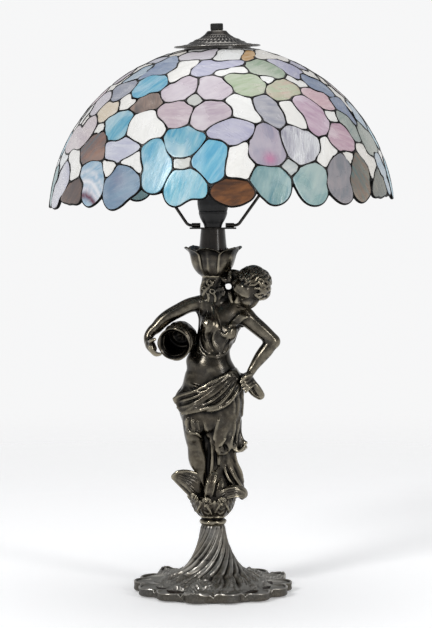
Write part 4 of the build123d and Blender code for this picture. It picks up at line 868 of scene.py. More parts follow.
    # her back: skirt and sash folds
    for x, z0, z1, r, lean in ((-27, 238, 196, 1.7, 3), (-20, 243, 180, 2.4, 4), (-14.5, 240, 204, 1.3, 1), (-7, 244, 177, 2.7, 5), (-1, 236, 196, 1.5, 2),
                               (6, 242, 175, 2.5, 3), (13.5, 240, 188, 1.9, 2), (21, 242, 180, 2.6, -1), (27.5, 236, 194, 1.8, -2)):
        m = 0.5 * (z0 + z1)
        c.fold([(x * 0.82, z0), (x + 0.3 * lean, m + 12), (x * 0.97 + 0.8 * lean, m - 10), (x * 0.84 + lean, z1)], [0.7 * r, r, 1.05 * r, 0.7 * r], 0.7, 2.6, side=1)
    for x, z0, z1, r in ((-23.5, 232, 190, 1.2), (-11, 236, 188, 1.5), (2.5, 234, 184, 1.4), (17, 234, 190, 1.4)):
        c.fold([(x * 0.9, z0), (x + 1, 0.5 * (z0 + z1)), (x * 0.9 + 2, z1)], [0.7, r, 0.8], 0.4, 1.8, cut=True, side=1)
    for s, r, d in ((0.0, 1.9, 0.0), (0.21, 2.5, 0.8), (0.40, 1.6, -0.5), (0.62, 2.7, 0.9), (0.85, 1.8, -0.4), (1.0, 2.2, 0.3)):
        c.fold([(37 - 2 * s, 255 - 7 * s), (22, 253 - 13 * s + d), (4, 248 - 17 * s - d), (-16, 241 - 17 * s + d), (-31, 235 - 14 * s), (-38, 231 - 9 * s)],
               [0.7 * r, r, 1.1 * r, 1.1 * r, 0.9 * r, 0.5 * r], 1.2, 1.4, side=1)
    for n in range(5):
        s = n / 4
        c.fold([(-14 + 4 * s, 332 - 4 * s), (-10 + 7 * s, 312), (-8 + 9 * s, 296), (-6 + 10 * s, 284)], [1.0, 1.4, 1.3, 0.9], 0.6, 1.4, side=1)
    for n in range(5):
        s = n / 4
        c.fold([(2 + 7 * s, 180), (1 + 9 * s, 160), (3 + 10 * s, 138), (2 + 12 * s, 116)], [1.6, 2.0, 1.9, 1.4], 0.9, 1.2, side=1)
    return c


HEAD = np.array([42.2, -9.5, 354.4])


def figure_head():
    """Head at three quarters of its size; the placing brings it to full size about HEAD."""
    cen = HEAD
    fw = unit((-0.72, -0.56, -0.42))
    up = np.array([0.34, -0.36, 0.87])
    up = unit(up - (up @ fw) * fw)
    sd = np.cross(up, fw)
    c = Clay((12, -32, 322), (76, 30, 386), 0.5)

    def at(s, f, u):
        return cen + s * sd + f * fw + u * up

    ax = (sd, fw, up)
    c.ball(at(0, -2.0, 3.5), (11.2, 13.4, 12.4), 0, ax)            # skull
    c.ball(at(0, 4.0, -4.5), (9.0, 9.2, 11.5), 4, ax)              # face
    c.ball(at(0, 8.4, -13.0), (3.6, 3.4, 3.2), 4, ax)              # chin
    for s in (-1, 1):
        c.stroke([at(s * 8.6, -1, -4), at(s * 7.6, 3, -9.5), at(s * 3.4, 8.5, -13.2)], [2.6, 2.8, 2.4], 4)      # jaw
        c.ball(at(s * 5.4, 9.0, -4.6), (3.6, 3.0, 3.4), 3.5, ax)   # cheek
        c.ball(at(s * 4.3, 12.8, 1.2), (3.1, 2.4, 2.0), 2.0, ax, cut=True)          # eye socket
        c.ball(at(s * 4.3, 10.7, 0.9), (2.7, 2.2, 1.8), 0.5, ax)   # lid over the eye
        c.stroke([at(s * 1.9, 12.6, 0.3), at(s * 4.3, 13.0, -0.5), at(s * 6.7, 11.4, 0.1)], [0.35, 0.5, 0.3], 0.4)      # lid edge
        c.stroke([at(s * 2.0, 12.6, 2.2), at(s * 4.3, 12.6, 2.9), at(s * 6.8, 11.2, 2.0)], [0.3, 0.4, 0.3], 0.5, cut=True)
        c.stroke([at(s * 1.3, 12.9, 3.2), at(s * 4.2, 12.7, 4.3), at(s * 7.6, 10.2, 3.2)], [0.9, 1.0, 0.7], 1.6)  # brow
        c.ball(at(s * 1.5, 13.4, -5.6), (1.1, 1.3, 1.0), 0.8, ax)  # nostril wing
    c.ball(at(0, 9.6, 6.5), (7.0, 3.4, 5.0), 5, ax)                # forehead
    c.stroke([at(0, 12.4, 2.6), at(0, 13.6, -1.5), at(0, 15.4, -5.0)], [1.1, 1.3, 1.6], 1.6)        # nose
    c.stroke([at(-3.3, 11.6, -8.8), at(-1.2, 13.0, -8.5), at(0, 12.9, -8.8), at(1.2, 13.0, -8.5), at(3.3, 11.6, -8.8)],
             [0.5, 0.9, 0.8, 0.9, 0.5], 0.6)
    c.stroke([at(-2.8, 11.6, -10.0), at(0, 12.9, -10.4), at(2.8, 11.6, -10.0)], [0.5, 1.15, 0.5], 0.7)
    c.stroke([at(-3.5, 12.1, -9.3), at(0, 13.6, -9.45), at(3.5, 12.1, -9.3)], [0.25, 0.32, 0.25], 0.3, cut=True)
    # neck, down into the shoulders
    c.stroke([at(0, -2, -9), (36, -2, 341), (27, -1, 330)], [7.2, 7.0, 8.2], 4)
    # hair: a full cap of small curls with a soft knot behind
    c.ball(at(0, -4.0, 3.8), (13.6, 13.8, 13.6), 1.0, ax)
    c.ball(at(0, -9.0, -3.0), (11.0, 9.0, 9.8), 3.0, ax)
    knot = at(0, -11.5, 2.5)
    c.ball(knot, (9.0, 7.4, 9.0), 2.0, ax)
    rng = np.random.default_rng(5)
    n = 230
    k = np.arange(n)
    zz = 1 - 2 * (k + 0.5) / n
    az = k * math.pi * (3 - math.sqrt(5))
    dirs = np.stack([np.sqrt(1 - zz ** 2) * np.cos(az), np.sqrt(1 - zz ** 2) * np.sin(az), zz], -1)
    for d in dirs:
        s, f, u = d
        if f > 0.46 and u < 0.66 or f > 0.20 and u < -0.10 or u < -0.82 or f > 0.0 and u < -0.45:
            continue
        back = f < -0.55 and u > -0.3
        o = at(13.7 * s, -4.0 + 14.0 * f, 3.7 + 13.8 * u)
        if back:
            o = knot + 9.2 * s * sd + 7.7 * f * fw + 9.2 * u * up
        elif f < 0.1 and u < -0.05:
            o = at(11.3 * s, -9.0 + 9.3 * f, -3.0 + 10.1 * u)
        out = unit(s * sd + f * fw + u * up)
        flow = -fw - 0.35 * up + 0.9 * rng.normal(0, 0.45) * sd
        flow = unit(flow - (flow @ out) * out)
        across = np.cross(out, flow)
        w = np.linspace(-1, 1, 15)
        half, sway = rng.uniform(3.0, 4.4), rng.uniform(0.7, 1.3)
        turn = rng.uniform(0, 6.28)
        curl = 1.5 * np.clip(w - 0.35, 0, 1) ** 2 * rng.choice((-1, 1)) * 3.2
        lock = o + (half * w)[:, None] * flow + (sway * np.sin(2.6 * w + turn) + curl)[:, None] * across + (0.75 - 0.9 * w ** 2 * half / 4)[:, None] * out
        c.rope(lock, 0.55 + 0.95 * np.sqrt(1 - (0.94 * w) ** 2), 0.35)
    return c


# ---------------------------------------------------------------- turned and cast pieces

def mesh_normals(v, q):
    n = np.cross(v[q[:, 2]] - v[q[:, 0]], v[q[:, 3]] - v[q[:, 1]])
    out = np.zeros_like(v)
    for i in range(4):
        for a in range(3):
            out[:, a] += np.bincount(q[:, i], n[:, a], len(v))
    return out / np.maximum(np.linalg.norm(out, axis=1), 1e-9)[:, None]


def relief_tone(v, q, gain=0.42, rounds=(3, 14)):
    """0 in hollows, 1 on crests, from how far each point stands off its smoothed neighbourhood (mm)."""
    q = outward(v, [q])[0]
    n = mesh_normals(v, q)
    s, out, done = v, np.zeros(len(v)), 0
    for k in rounds:
        while done < k:
            s = Clay.around(s, q)
            done += 1
        out += np.einsum("ij,ij->i", v - s, n)
    return np.clip(0.5 + gain * out, 0, 1)


def revolve(name, profile, segs, origin=(0, 0, 0), axis=(0, 0, 1), closed=True, step=None, relief=None, gain=0.42, tone=None):
    """Turned piece from (radius, height) points round an axis; relief(angle, r, h) moves the skin outwards."""
    pr = np.asarray(profile, dtype=float)
    if step:
        loop = np.vstack([pr, pr[:1]]) if closed else pr
        rows = []
        for a, b in zip(loop[:-1], loop[1:]):
            n = max(1, int(round(np.linalg.norm(b - a) / step)))
            rows.append(a + (b - a) * (np.arange(n) / n)[:, None])
        if not closed:
            rows.append(loop[-1:])
        pr = np.vstack(rows)
    if relief is not None:
        t = np.roll(pr, -1, 0) - np.roll(pr, 1, 0)
        t = t / np.maximum(np.linalg.norm(t, axis=1), 1e-9)[:, None]
        nr, nh = t[:, 1], -t[:, 0]
    th = np.arange(segs) * 2 * math.pi / segs
    w = unit(axis)
    u = unit(np.cross((0, 1, 0) if abs(w[1]) < 0.9 else (1, 0, 0), w))
    x = np.cross(w, u)
    R, H = np.broadcast_arrays(pr[None, :, 0], pr[None, :, 1])
    R, H = np.repeat(R, segs, 0).copy(), np.repeat(H, segs, 0).copy()
    if relief is not None:
        m = relief(th[:, None], R, H)
        R, H = R + m * nr, H + m * nh
    v = (np.asarray(origin, dtype=float) + H[..., None] * w
         + R[..., None] * (np.cos(th)[:, None, None] * u + np.sin(th)[:, None, None] * x)).reshape(-1, 3)
    q = grid_faces(segs, len(pr), wrap_u=True, wrap_v=closed)
    ob = make_object(name, v, q)
    point_values(ob, "tone", relief_tone(v, q, gain) if tone is None else np.tile(tone, segs))
    return ob


def jar():
    """Water jar lying towards the front, its mouth open."""
    prof = [(0.4, -48), (9, -48), (10.5, -46.5), (9.6, -44.5), (13, -41), (17, -35), (19.4, -27), (19.6, -20), (18, -12), (15.6, -6.5),
            (15.3, -4.5), (16.6, -2), (18.9, -0.4), (19.5, 0.6), (19.1, 1.4), (18.0, 1.2), (15.6, -1.6), (14.0, -4.5), (14.4, -6.8),
            (16.8, -12.5), (17.8, -20), (17.4, -27), (15, -34), (9, -39), (0.4, -40)]
    p, _ = curve(np.asarray(prof), np.ones(len(prof)), 0.8)
    inside = np.zeros(len(p), bool)
    inside[int(np.argmax(p[:, 1])) + 3:] = True
    r = np.hypot(p[:, 0] - 19.3, p[:, 1] - 0.8)
    # painted shade inside the mouth (darker, with wavering bands) and a painted highlight along the lip; three lighter
    # bands round the outside
    tone = np.where(inside, 0.42 + 0.16 * np.sin(p[:, 1] * 1.5), 0.50) + 0.22 * np.exp(-(r / 1.2) ** 2)
    for h in (-5.5, -12.0, -33.0):
        tone = tone + np.where(inside, 0, 0.12 * np.exp(-((p[:, 1] - h) / 1.0) ** 2))

    def hand_made(a, rr, h):
        turned = np.where((rr < 18.2) & (h < -3), 0.5 * np.sin(1.5 * h + 2 * a), 0)
        return turned + 0.35 * np.sin(3 * a + 0.08 * h) + 0.22 * np.sin(7 * a - 0.2 * h) + 0.5 * np.cos(14 * a) * np.exp(-((h + 25) / 9.0) ** 2) * (rr > 18.6)

    ob = revolve("water_jar_cast", p, 120, (-44.6, -30.5, 292.6), (-0.26, -0.945, -0.20), relief=hand_made, tone=tone)
    return fit(ob, "root", "antique_bronze", BRONZE, "water_jar")


def ribbon(c, pts, half, thick, across, k=1.5, ratio_end=None):
    """Leaf-like strip along the points: half widths across, thickness square to it."""
    p, w = curve(pts, half, 0.9)
    t = np.gradient(p, axis=0)
    t = t / np.linalg.norm(t, axis=1)[:, None]
    a = np.broadcast_to(np.asarray(across, dtype=float), p.shape)
    n = np.cross(t, a)
    n = n / np.maximum(np.linalg.norm(n, axis=1), 1e-6)[:, None]
    c.rope(p, w, k, False, n, thick / float(np.max(w)))
    return p, n, np.cross(n, t)


def leaf_cup():
    c = Clay((-54, -34, 88), (46, 34, 148), 0.62)
    c.loft([(90.5, 0, 0, 14.5, 14.5), (95, 0, 0, 18.5, 18.5), (101, 0, 0, 21.0, 20.5), (107, 0, 0, 22.0, 21.0), (113, 0, 0, 20, 19)], k=0, soft=2)
    for n in range(9):
        a = 2 * math.pi * (n + 0.35) / 9
        d, t = np.array([math.cos(a), math.sin(a), 0]), np.array([-math.sin(a), math.cos(a), 0])
        up = np.array([0, 0, 1.0])
        tall = 1.0 + 0.10 * math.sin(4.1 * n)

        def at(r, z, s=0.0):
            return r * d + (91 + (z - 91) * tall) * up + s * t

        p, nn, side = ribbon(c, [at(15.0, 91), at(19.6, 97), at(23.0, 104), at(25.0, 110.5), at(27.6, 113.2), at(28.6, 110.8)],
                             [4.5, 6.6, 6.9, 5.2, 3.4, 1.8], 2.4, t, 1.2)
        for s in (-1, 1):
            for z, l, r0 in ((96, 5.0, 19.8), (101, 6.3, 22.2), (106, 6.0, 24.0), (110, 4.6, 25.6)):
                c.stroke([at(r0 + 0.6, z - 2.5, s * 0.8), at(r0 + 1.3, z, s * 3.2), at(r0 + 1.0, z + 2.4, s * l)], [0.8, 1.25, 0.9], 0.5)
        c.stroke([at(16.4, 91.5), at(21.3, 97), at(24.6, 104), at(26.6, 110), at(28.2, 113)], [0.8, 1.1, 1.1, 0.9, 0.6], 0.5)
        # a small tongue between two leaves
        b = a + math.pi / 9
        e = np.array([math.cos(b), math.sin(b), 0])
        c.stroke([15.5 * e + 91 * up, 20.6 * e + 98 * up, 23.4 * e + 105 * up, 25.2 * e + (110 + math.sin(n)) * up], [2.2, 2.6, 2.4, 1.3], 0.8)
    # left leaf: a broad blade leaning out, its tip turned down
    face = (0.12, 1.0, 0.10)
    c.stroke([(-10, -3, 104), (-17, -5, 112.5), (-25, -7, 121.5), (-32, -8, 128.5), (-39.5, -9, 133.2), (-45.4, -9, 134.6)], [5, 7.4, 8.8, 8.6, 6.4, 2.6], 1.6,
             normal=unit(face), ratio=0.34)
    c.stroke([(-15, -4, 131), (-24, -6, 134), (-33, -8, 136.4), (-41, -9, 137.4), (-45.6, -9, 136.4)], [8.6, 8.0, 6.6, 4.6, 2.6], 2.2, normal=unit(face), ratio=0.34)
    c.stroke([(-15, -4, 118), (-21, -6, 124), (-28, -7, 129)], [8, 8, 7], 2.2, normal=unit(face), ratio=0.34)
    c.stroke([(-12, 6, 104), (-20, 7, 114), (-28, 7, 122.5), (-36, 5, 128), (-42, 2, 130)], [4.5, 6.4, 7, 5.8, 2.4], 1.6, normal=(0.1, 1, 0), ratio=0.4)
    c.stroke([(-17, -6, 138.6), (-26, -8.6, 141.4), (-34, -10, 142.4), (-40.5, -10.4, 141.6), (-45, -10, 138.4), (-46.6, -9, 134.6)], [1.3, 1.9, 2.1, 2.0, 1.8, 1.3], 0.9)
    for o, w in ((8.5, 1.0), (5.6, 1.1), (2.6, 1.2), (-0.4, 1.2), (-3.4, 1.1), (-6.2, 0.9)):
        c.stroke([(-17 - 0.25 * o, -8.4, 117 + 1.9 * o), (-25 - 0.35 * o, -10.2, 124.4 + 1.55 * o), (-33 - 0.35 * o, -11.0, 130.4 + 1.15 * o), (-40, -11.0, 134.6 + 0.65 * o),
                  (-45.2, -10.4, 136.2 + 0.2 * o)], [0.8, w + 0.1, w + 0.2, w, 0.6], 0.5)
        c.stroke([(-18 - 0.5 * o, 9.0, 112 + 0.6 * o), (-27 - 0.5 * o, 10.0, 121.5 + 0.7 * o), (-36, 8.0, 128 + 0.5 * o)], [0.7, w, 0.7], 0.5)
    # right leaf: a wave rolling out towards the front
    c.stroke([(0, -13, 108), (9, -16, 114.5), (19, -17, 118), (28, -15, 118.4), (34, -12, 115.6)], [6, 7.4, 7.2, 6.4, 5.0], 1.8, normal=unit((0.1, 1, 0.25)), ratio=0.5)
    c.stroke([(2, 6, 108), (12, 9, 116), (23, 9, 119.4), (32, 6, 117)], [6, 7, 6.4, 4.4], 2.0, normal=(0.1, 1, 0), ratio=0.6)
    c.stroke([(14, -2, 116), (24, -2, 120.4), (33, -2, 119), (36.6, -3, 114.6), (34, -6, 111.2)], [5.0, 5.4, 5.0, 4.2, 3.0], 2.0)
    for o, w in ((6.4, 1.1), (3.6, 1.3), (0.6, 1.4), (-2.4, 1.3), (-5.2, 1.0)):
        c.stroke([(1, -17.6 + 0.1 * o, 107 + 0.8 * o), (9.5, -20.2, 114.4 + 0.95 * o), (19.5, -20.6 + 0.1 * o, 118 + 0.95 * o), (28.6, -18.2 + 0.15 * o, 118.4 + 0.85 * o),
                  (35.6, -13.6 + 0.3 * o, 115.4 + 0.65 * o)], [0.7, w, w + 0.15, w, 0.8], 0.5)
    c.stroke([(16, -18, 124.6), (26, -17, 125.6), (34, -13, 122.4), (38, -9, 116.6), (36, -9, 111.8), (31.6, -11, 111.4)], [1.2, 1.6, 1.8, 1.9, 1.7, 1.2], 0.8)
    # leaves standing between her feet
    ribbon(c, [(-6, -15, 104), (-4.5, -17.0, 116), (-2.6, -16.5, 128), (0.2, -14, 137), (3.4, -12.6, 141.5)], [4, 6.2, 6.4, 4.6, 2.0], 3.6, (1, 0, 0), 1.0)
    for s in (-4.0, -1.4, 1.4, 4.0):
        c.stroke([(-5 + 0.6 * s, -17.4, 108), (-4 + s, -19.8, 119), (-2 + s, -18.8, 130), (1.6 + 0.7 * s, -15.4, 139)], [0.7, 1.2, 1.2, 0.6], 0.5)
    ribbon(c, [(4, -14, 106), (6.5, -16.5, 117), (8.6, -15, 127), (9.4, -12, 134)], [4, 5.0, 4.4, 2.0], 3.2, (1, 0, 0), 1.0)
    for s in (-2.6, 0.0, 2.6):
        c.stroke([(5 + 0.6 * s, -17, 109), (7 + s, -19, 118.5), (8.8 + 0.8 * s, -16.8, 129)], [0.7, 1.1, 0.6], 0.5)
    # small curled leaves on the front of the cup
    for x, z, f in ((-15, 104, 1), (-5, 101.5, -1), (6, 103, 1), (15, 105, -1)):
        y = -math.sqrt(max(24.5 ** 2 - x * x, 1)) - 0.4
        c.stroke([(x - 3 * f, y + 1.6, z - 7), (x - 1 * f, y, z - 2.5), (x + 1.6 * f, y - 0.8, z + 2), (x + 3.6 * f, y - 1.6, z + 4.2), (x + 4.4 * f, y - 2.2, z + 1.8)],
                 [1.0, 1.6, 1.8, 1.5, 1.0], 0.5)
    v, q, tone = c.skin()
    ob = make_object("leaf_cup_cast", v, q)
    point_values(ob, "tone", tone)
    return fit(ob, "root", "antique_bronze", BRONZE, "leaf_cup", "cup_leaf_left", "cup_leaf_right")


def stem():
    """Short stem behind her shoulder, wrapped in curling leaves that lean over to the head."""
    c = Clay((-24, -26, 322), (42, 24, 378), 0.6)
    c.loft([(322, 2, 4, 12, 10), (334, 1, 3, 13.0, 11.5), (344, 0, 1, 14.6, 13), (354, -0.6, 0, 14.8, 13.6), (363, -0.4, 0, 13.0, 12.6), (371, 0, 0, 12.2, 12.2)], k=0, soft=3)
    c.settle()
    for cx, cz, r0, turn in ((-2.6, 362.4, 5.2, 1), (-1.0, 353.2, 4.2, -1), (-9.5, 356.5, 3.6, 1)):
        a = np.linspace(0, 2 * math.pi * 1.35, 26) * turn + 1.2
        r = np.linspace(r0, 0.7, 26)
        c.fold([(cx + rr * math.cos(t), cz + rr * math.sin(t)) for rr, t in zip(r, a)], np.linspace(1.7, 1.1, 26), 1.2, 0.5)
    for pts, r in ((((-12, 342), (-10, 350), (-5, 357), (3, 366)), [1.5, 2.0, 2.0, 1.4]), (((-13.4, 352), (-12, 360), (-8, 367)), [1.4, 1.8, 1.3]),
                   (((6, 340), (8, 349), (6.6, 358), (9, 367)), [1.6, 2.2, 2.2, 1.5]), (((2, 338), (2.6, 346), (-1, 351)), [1.5, 1.9, 1.2]),
                   (((-6, 338), (-5, 346), (-7.5, 352)), [1.5, 1.9, 1.2])):
        c.fold(pts, r, 1.0, 0.8)
    for n in range(7):
        x = -11 + 22 * n / 6
        c.fold([(x * 0.9, 338), (x, 347), (x * 0.95 + 1, 357), (x * 0.85, 368)], [1.4, 2.0, 2.0, 1.4], 0.8, 0.9, side=1)
    # leaf that holds the head, closed round a small eye
    eye = np.array([18.0, -3.0, 357.6])
    a = np.linspace(0, 2 * math.pi, 25)
    c.rope(eye + 10.2 * (np.cos(a)[:, None] * np.array([1, 0, 0]) + np.sin(a)[:, None] * np.array([0, 0, 1.0])) + 3.0 * np.maximum(np.cos(a), 0)[:, None] * np.array([0, 1.0, 0]), np.full(25, 6.4), 2.0)
    c.stroke([(4, -2, 366), (14, -3, 370), (25, -3, 371), (34, -3, 368)], [8.5, 6.8, 6.2, 6.0], 3.0)
    c.stroke([(2, -1, 348), (11, 2, 342), (21, 5, 343), (32, 6, 348)], [10, 8.0, 7.2, 7.0], 3.0)
    c.stroke([(6, 2, 340), (16, 4, 336), (26, 6, 338)], [9, 7.4, 7], 3.0)
    c.stroke([(8, -2, 333), (20, 1, 331), (30, 2, 336)], [8, 7.4, 6.6], 4.0)
    for n in range(7):
        b = 2 * math.pi * n / 7 + 0.35 + 0.22 * math.sin(2.3 * n + 0.6)
        e = np.array([math.cos(b), 0, math.sin(b)])
        far = 15.2 + 3.0 * math.sin(2.7 * n)
        side = np.array([-math.sin(b), 0, math.cos(b)])
        c.stroke([eye + 4.6 * e + (0, -6.0, 0), eye + 9 * e + 1.2 * side + (0, -8.2, 0), eye + far * e + 3.4 * side + (0, -7.6, 0)], [1.7, 3.6, 2.0], 1.8)
        c.stroke([eye + 5.5 * e - 1.2 * side + (0, -9.0, 0), eye + 10 * e - 1.6 * side + (0, -10.4, 0), eye + (far - 1) * e + (0, -9.8, 0)], [0.4, 0.6, 0.3], 0.7, cut=True)
    c.stroke([eye + np.array([0, -20, 0]), eye + np.array([0, 20, 0])], [3.4, 3.4], 0.6, cut=True)
    v, q, tone = c.skin()
    ob = make_object("support_stem_cast", v, q)
    # painted shade: the surface round the eye is darkened
    near = np.exp(-(np.hypot(v[:, 0] - eye[0], v[:, 2] - eye[2]) / 15.0) ** 4)
    point_values(ob, "tone", np.clip(tone - 0.20 * near, 0, 1))
    return fit(ob, "root", "antique_bronze", BRONZE, "support_stem")


def tulip():
    """Six overlapping petals with turned-out tips."""
    rows = [(0.0, 12.4, 368.6), (0.10, 15.6, 371.4), (0.24, 19.0, 375.8), (0.42, 22.0, 382.0), (0.62, 24.2, 389.4), (0.80, 26.6, 396.4), (0.92, 30.0, 400.6), (1.0, 33.0, 403.4)]
    ns, nw = 44, 29
    s = np.linspace(0, 1, ns)
    prof = smooth_rows(s, rows)
    verts, quads, shade, base = [], [], [], 0
    for n in range(6):
        a0 = math.radians(60 * n + 17 + (2 if n % 2 else -2))
        lift = 1.1 if n % 2 else -0.7
        w = np.linspace(-1, 1, nw)
        wide = 1.20 * (1 - np.clip((s - 0.72) / 0.28, 0, 1) ** 2.2) ** 0.62 * (0.94 + 0.10 * np.sin(math.pi * s))
        wide = np.maximum(wide, 0.02)
        S, W = np.meshgrid(s, w, indexing="ij")
        ang = a0 + W * wide[:, None] * math.pi / 6
        edge = np.abs(W)
        r = prof[:, 0][:, None] + lift * np.sin(math.pi * np.clip(S, 0, 1)) + 1.3 * (1 - edge ** 2) * np.sin(math.pi * S ** 0.8) \
            + 1.5 * edge ** 4 * S ** 3 + 0.35 * np.exp(-(W / 0.10) ** 2) * np.sin(math.pi * S) + 0.45 * np.exp(-((edge - 0.90) / 0.07) ** 2) * np.clip(S * 4, 0, 1)
        z = prof[:, 1][:, None] - 0.8 * edge ** 2 * S + 0.0 * W
        out = np.stack([r * np.cos(ang), r * np.sin(ang), z + np.zeros_like(r)], -1)
        du, dv = np.gradient(out, axis=0), np.gradient(out, axis=1)
        nrm = np.cross(dv, du)
        nrm = nrm / np.maximum(np.linalg.norm(nrm, axis=2), 1e-9)[..., None]
        thick = 2.1 * np.minimum(1, 0.45 + 2.6 * (1 - edge)) * np.minimum(1, 0.4 + 4 * (1 - S))
        inn = out - nrm * thick[..., None]
        # ring of points: out and in joined along both edges and the tip
        loop = np.concatenate([out, inn[:, ::-1]], 1)
        # painted shade: darker along each petal's edges and over its lower third, the inner face darker still
        rim = -0.30 * np.exp(-((edge - 1.0) / 0.06) ** 2) - 0.16 * np.clip(1 - S * 3, 0, 1)
        shade.append(np.concatenate([rim, rim[:, ::-1] - 0.12], 1).ravel())
        verts.append(loop.reshape(-1, 3))
        quads.append(grid_faces(ns, 2 * nw, wrap_v=True)[:, ::-1] + base)
        tip = (ns - 1) * 2 * nw
        cap = np.array([[tip + i, tip + i + 1, tip + 2 * nw - 2 - i, tip + 2 * nw - 1 - i] for i in range(nw - 1)])
        foot = np.array([[i, 2 * nw - 1 - i, 2 * nw - 2 - i, i + 1] for i in range(nw - 1)])
        quads += [cap[:, ::-1] + base, foot[:, ::-1] + base]
        base += len(verts[-1])
    v, q = np.concatenate(verts), np.concatenate(quads)
    ob = make_object("tulip_petals", v, q)
    point_values(ob, "tone", np.clip(relief_tone(v, q, 0.4, (4, 20)) - 0.12 + 0.12 * noise3(v, 5, 7.0) + np.concatenate(shade), 0, 1))
    fit(ob, "root", "antique_bronze", BRONZE, "tulip_cup")

    def beads(a, r, h):
        return 0.5 * np.cos(12 * a) * np.exp(-((h - 371.5) / 2.2) ** 2)

    floor_ring = revolve("tulip_base", [(8.9, 367.4), (11.6, 367.4), (13.4, 368.4), (14.2, 370.2), (13.2, 372.2), (14.6, 373.6), (16.0, 376), (15.0, 377), (12.5, 375.4), (8.9, 375)],
                         96, step=0.7, relief=beads)
    fit(floor_ring, "root", "antique_bronze", BRONZE)


def collar():
    ob = revolve("collar_rings", [(9.0, 78.6), (13.4, 78.6), (14.6, 79.6), (15.7, 81.0), (16.0, 82.6), (15.6, 84.0), (14.2, 85.2), (13.3, 85.8), (13.2, 86.6), (14.2, 87.2),
                                  (15.6, 88.0), (16.1, 89.0), (15.8, 90.2), (14.6, 91.0), (14.0, 92.0), (9.0, 92.0)], 144, step=0.45,
                 relief=lambda a, r, h: 0.16 * np.sin(5 * a + h) + 0.12 * np.sin(11 * a - 0.7 * h), gain=0.9)
    fit(ob, "root", "antique_bronze", BRONZE, "collar_ring")


LOBES = 14


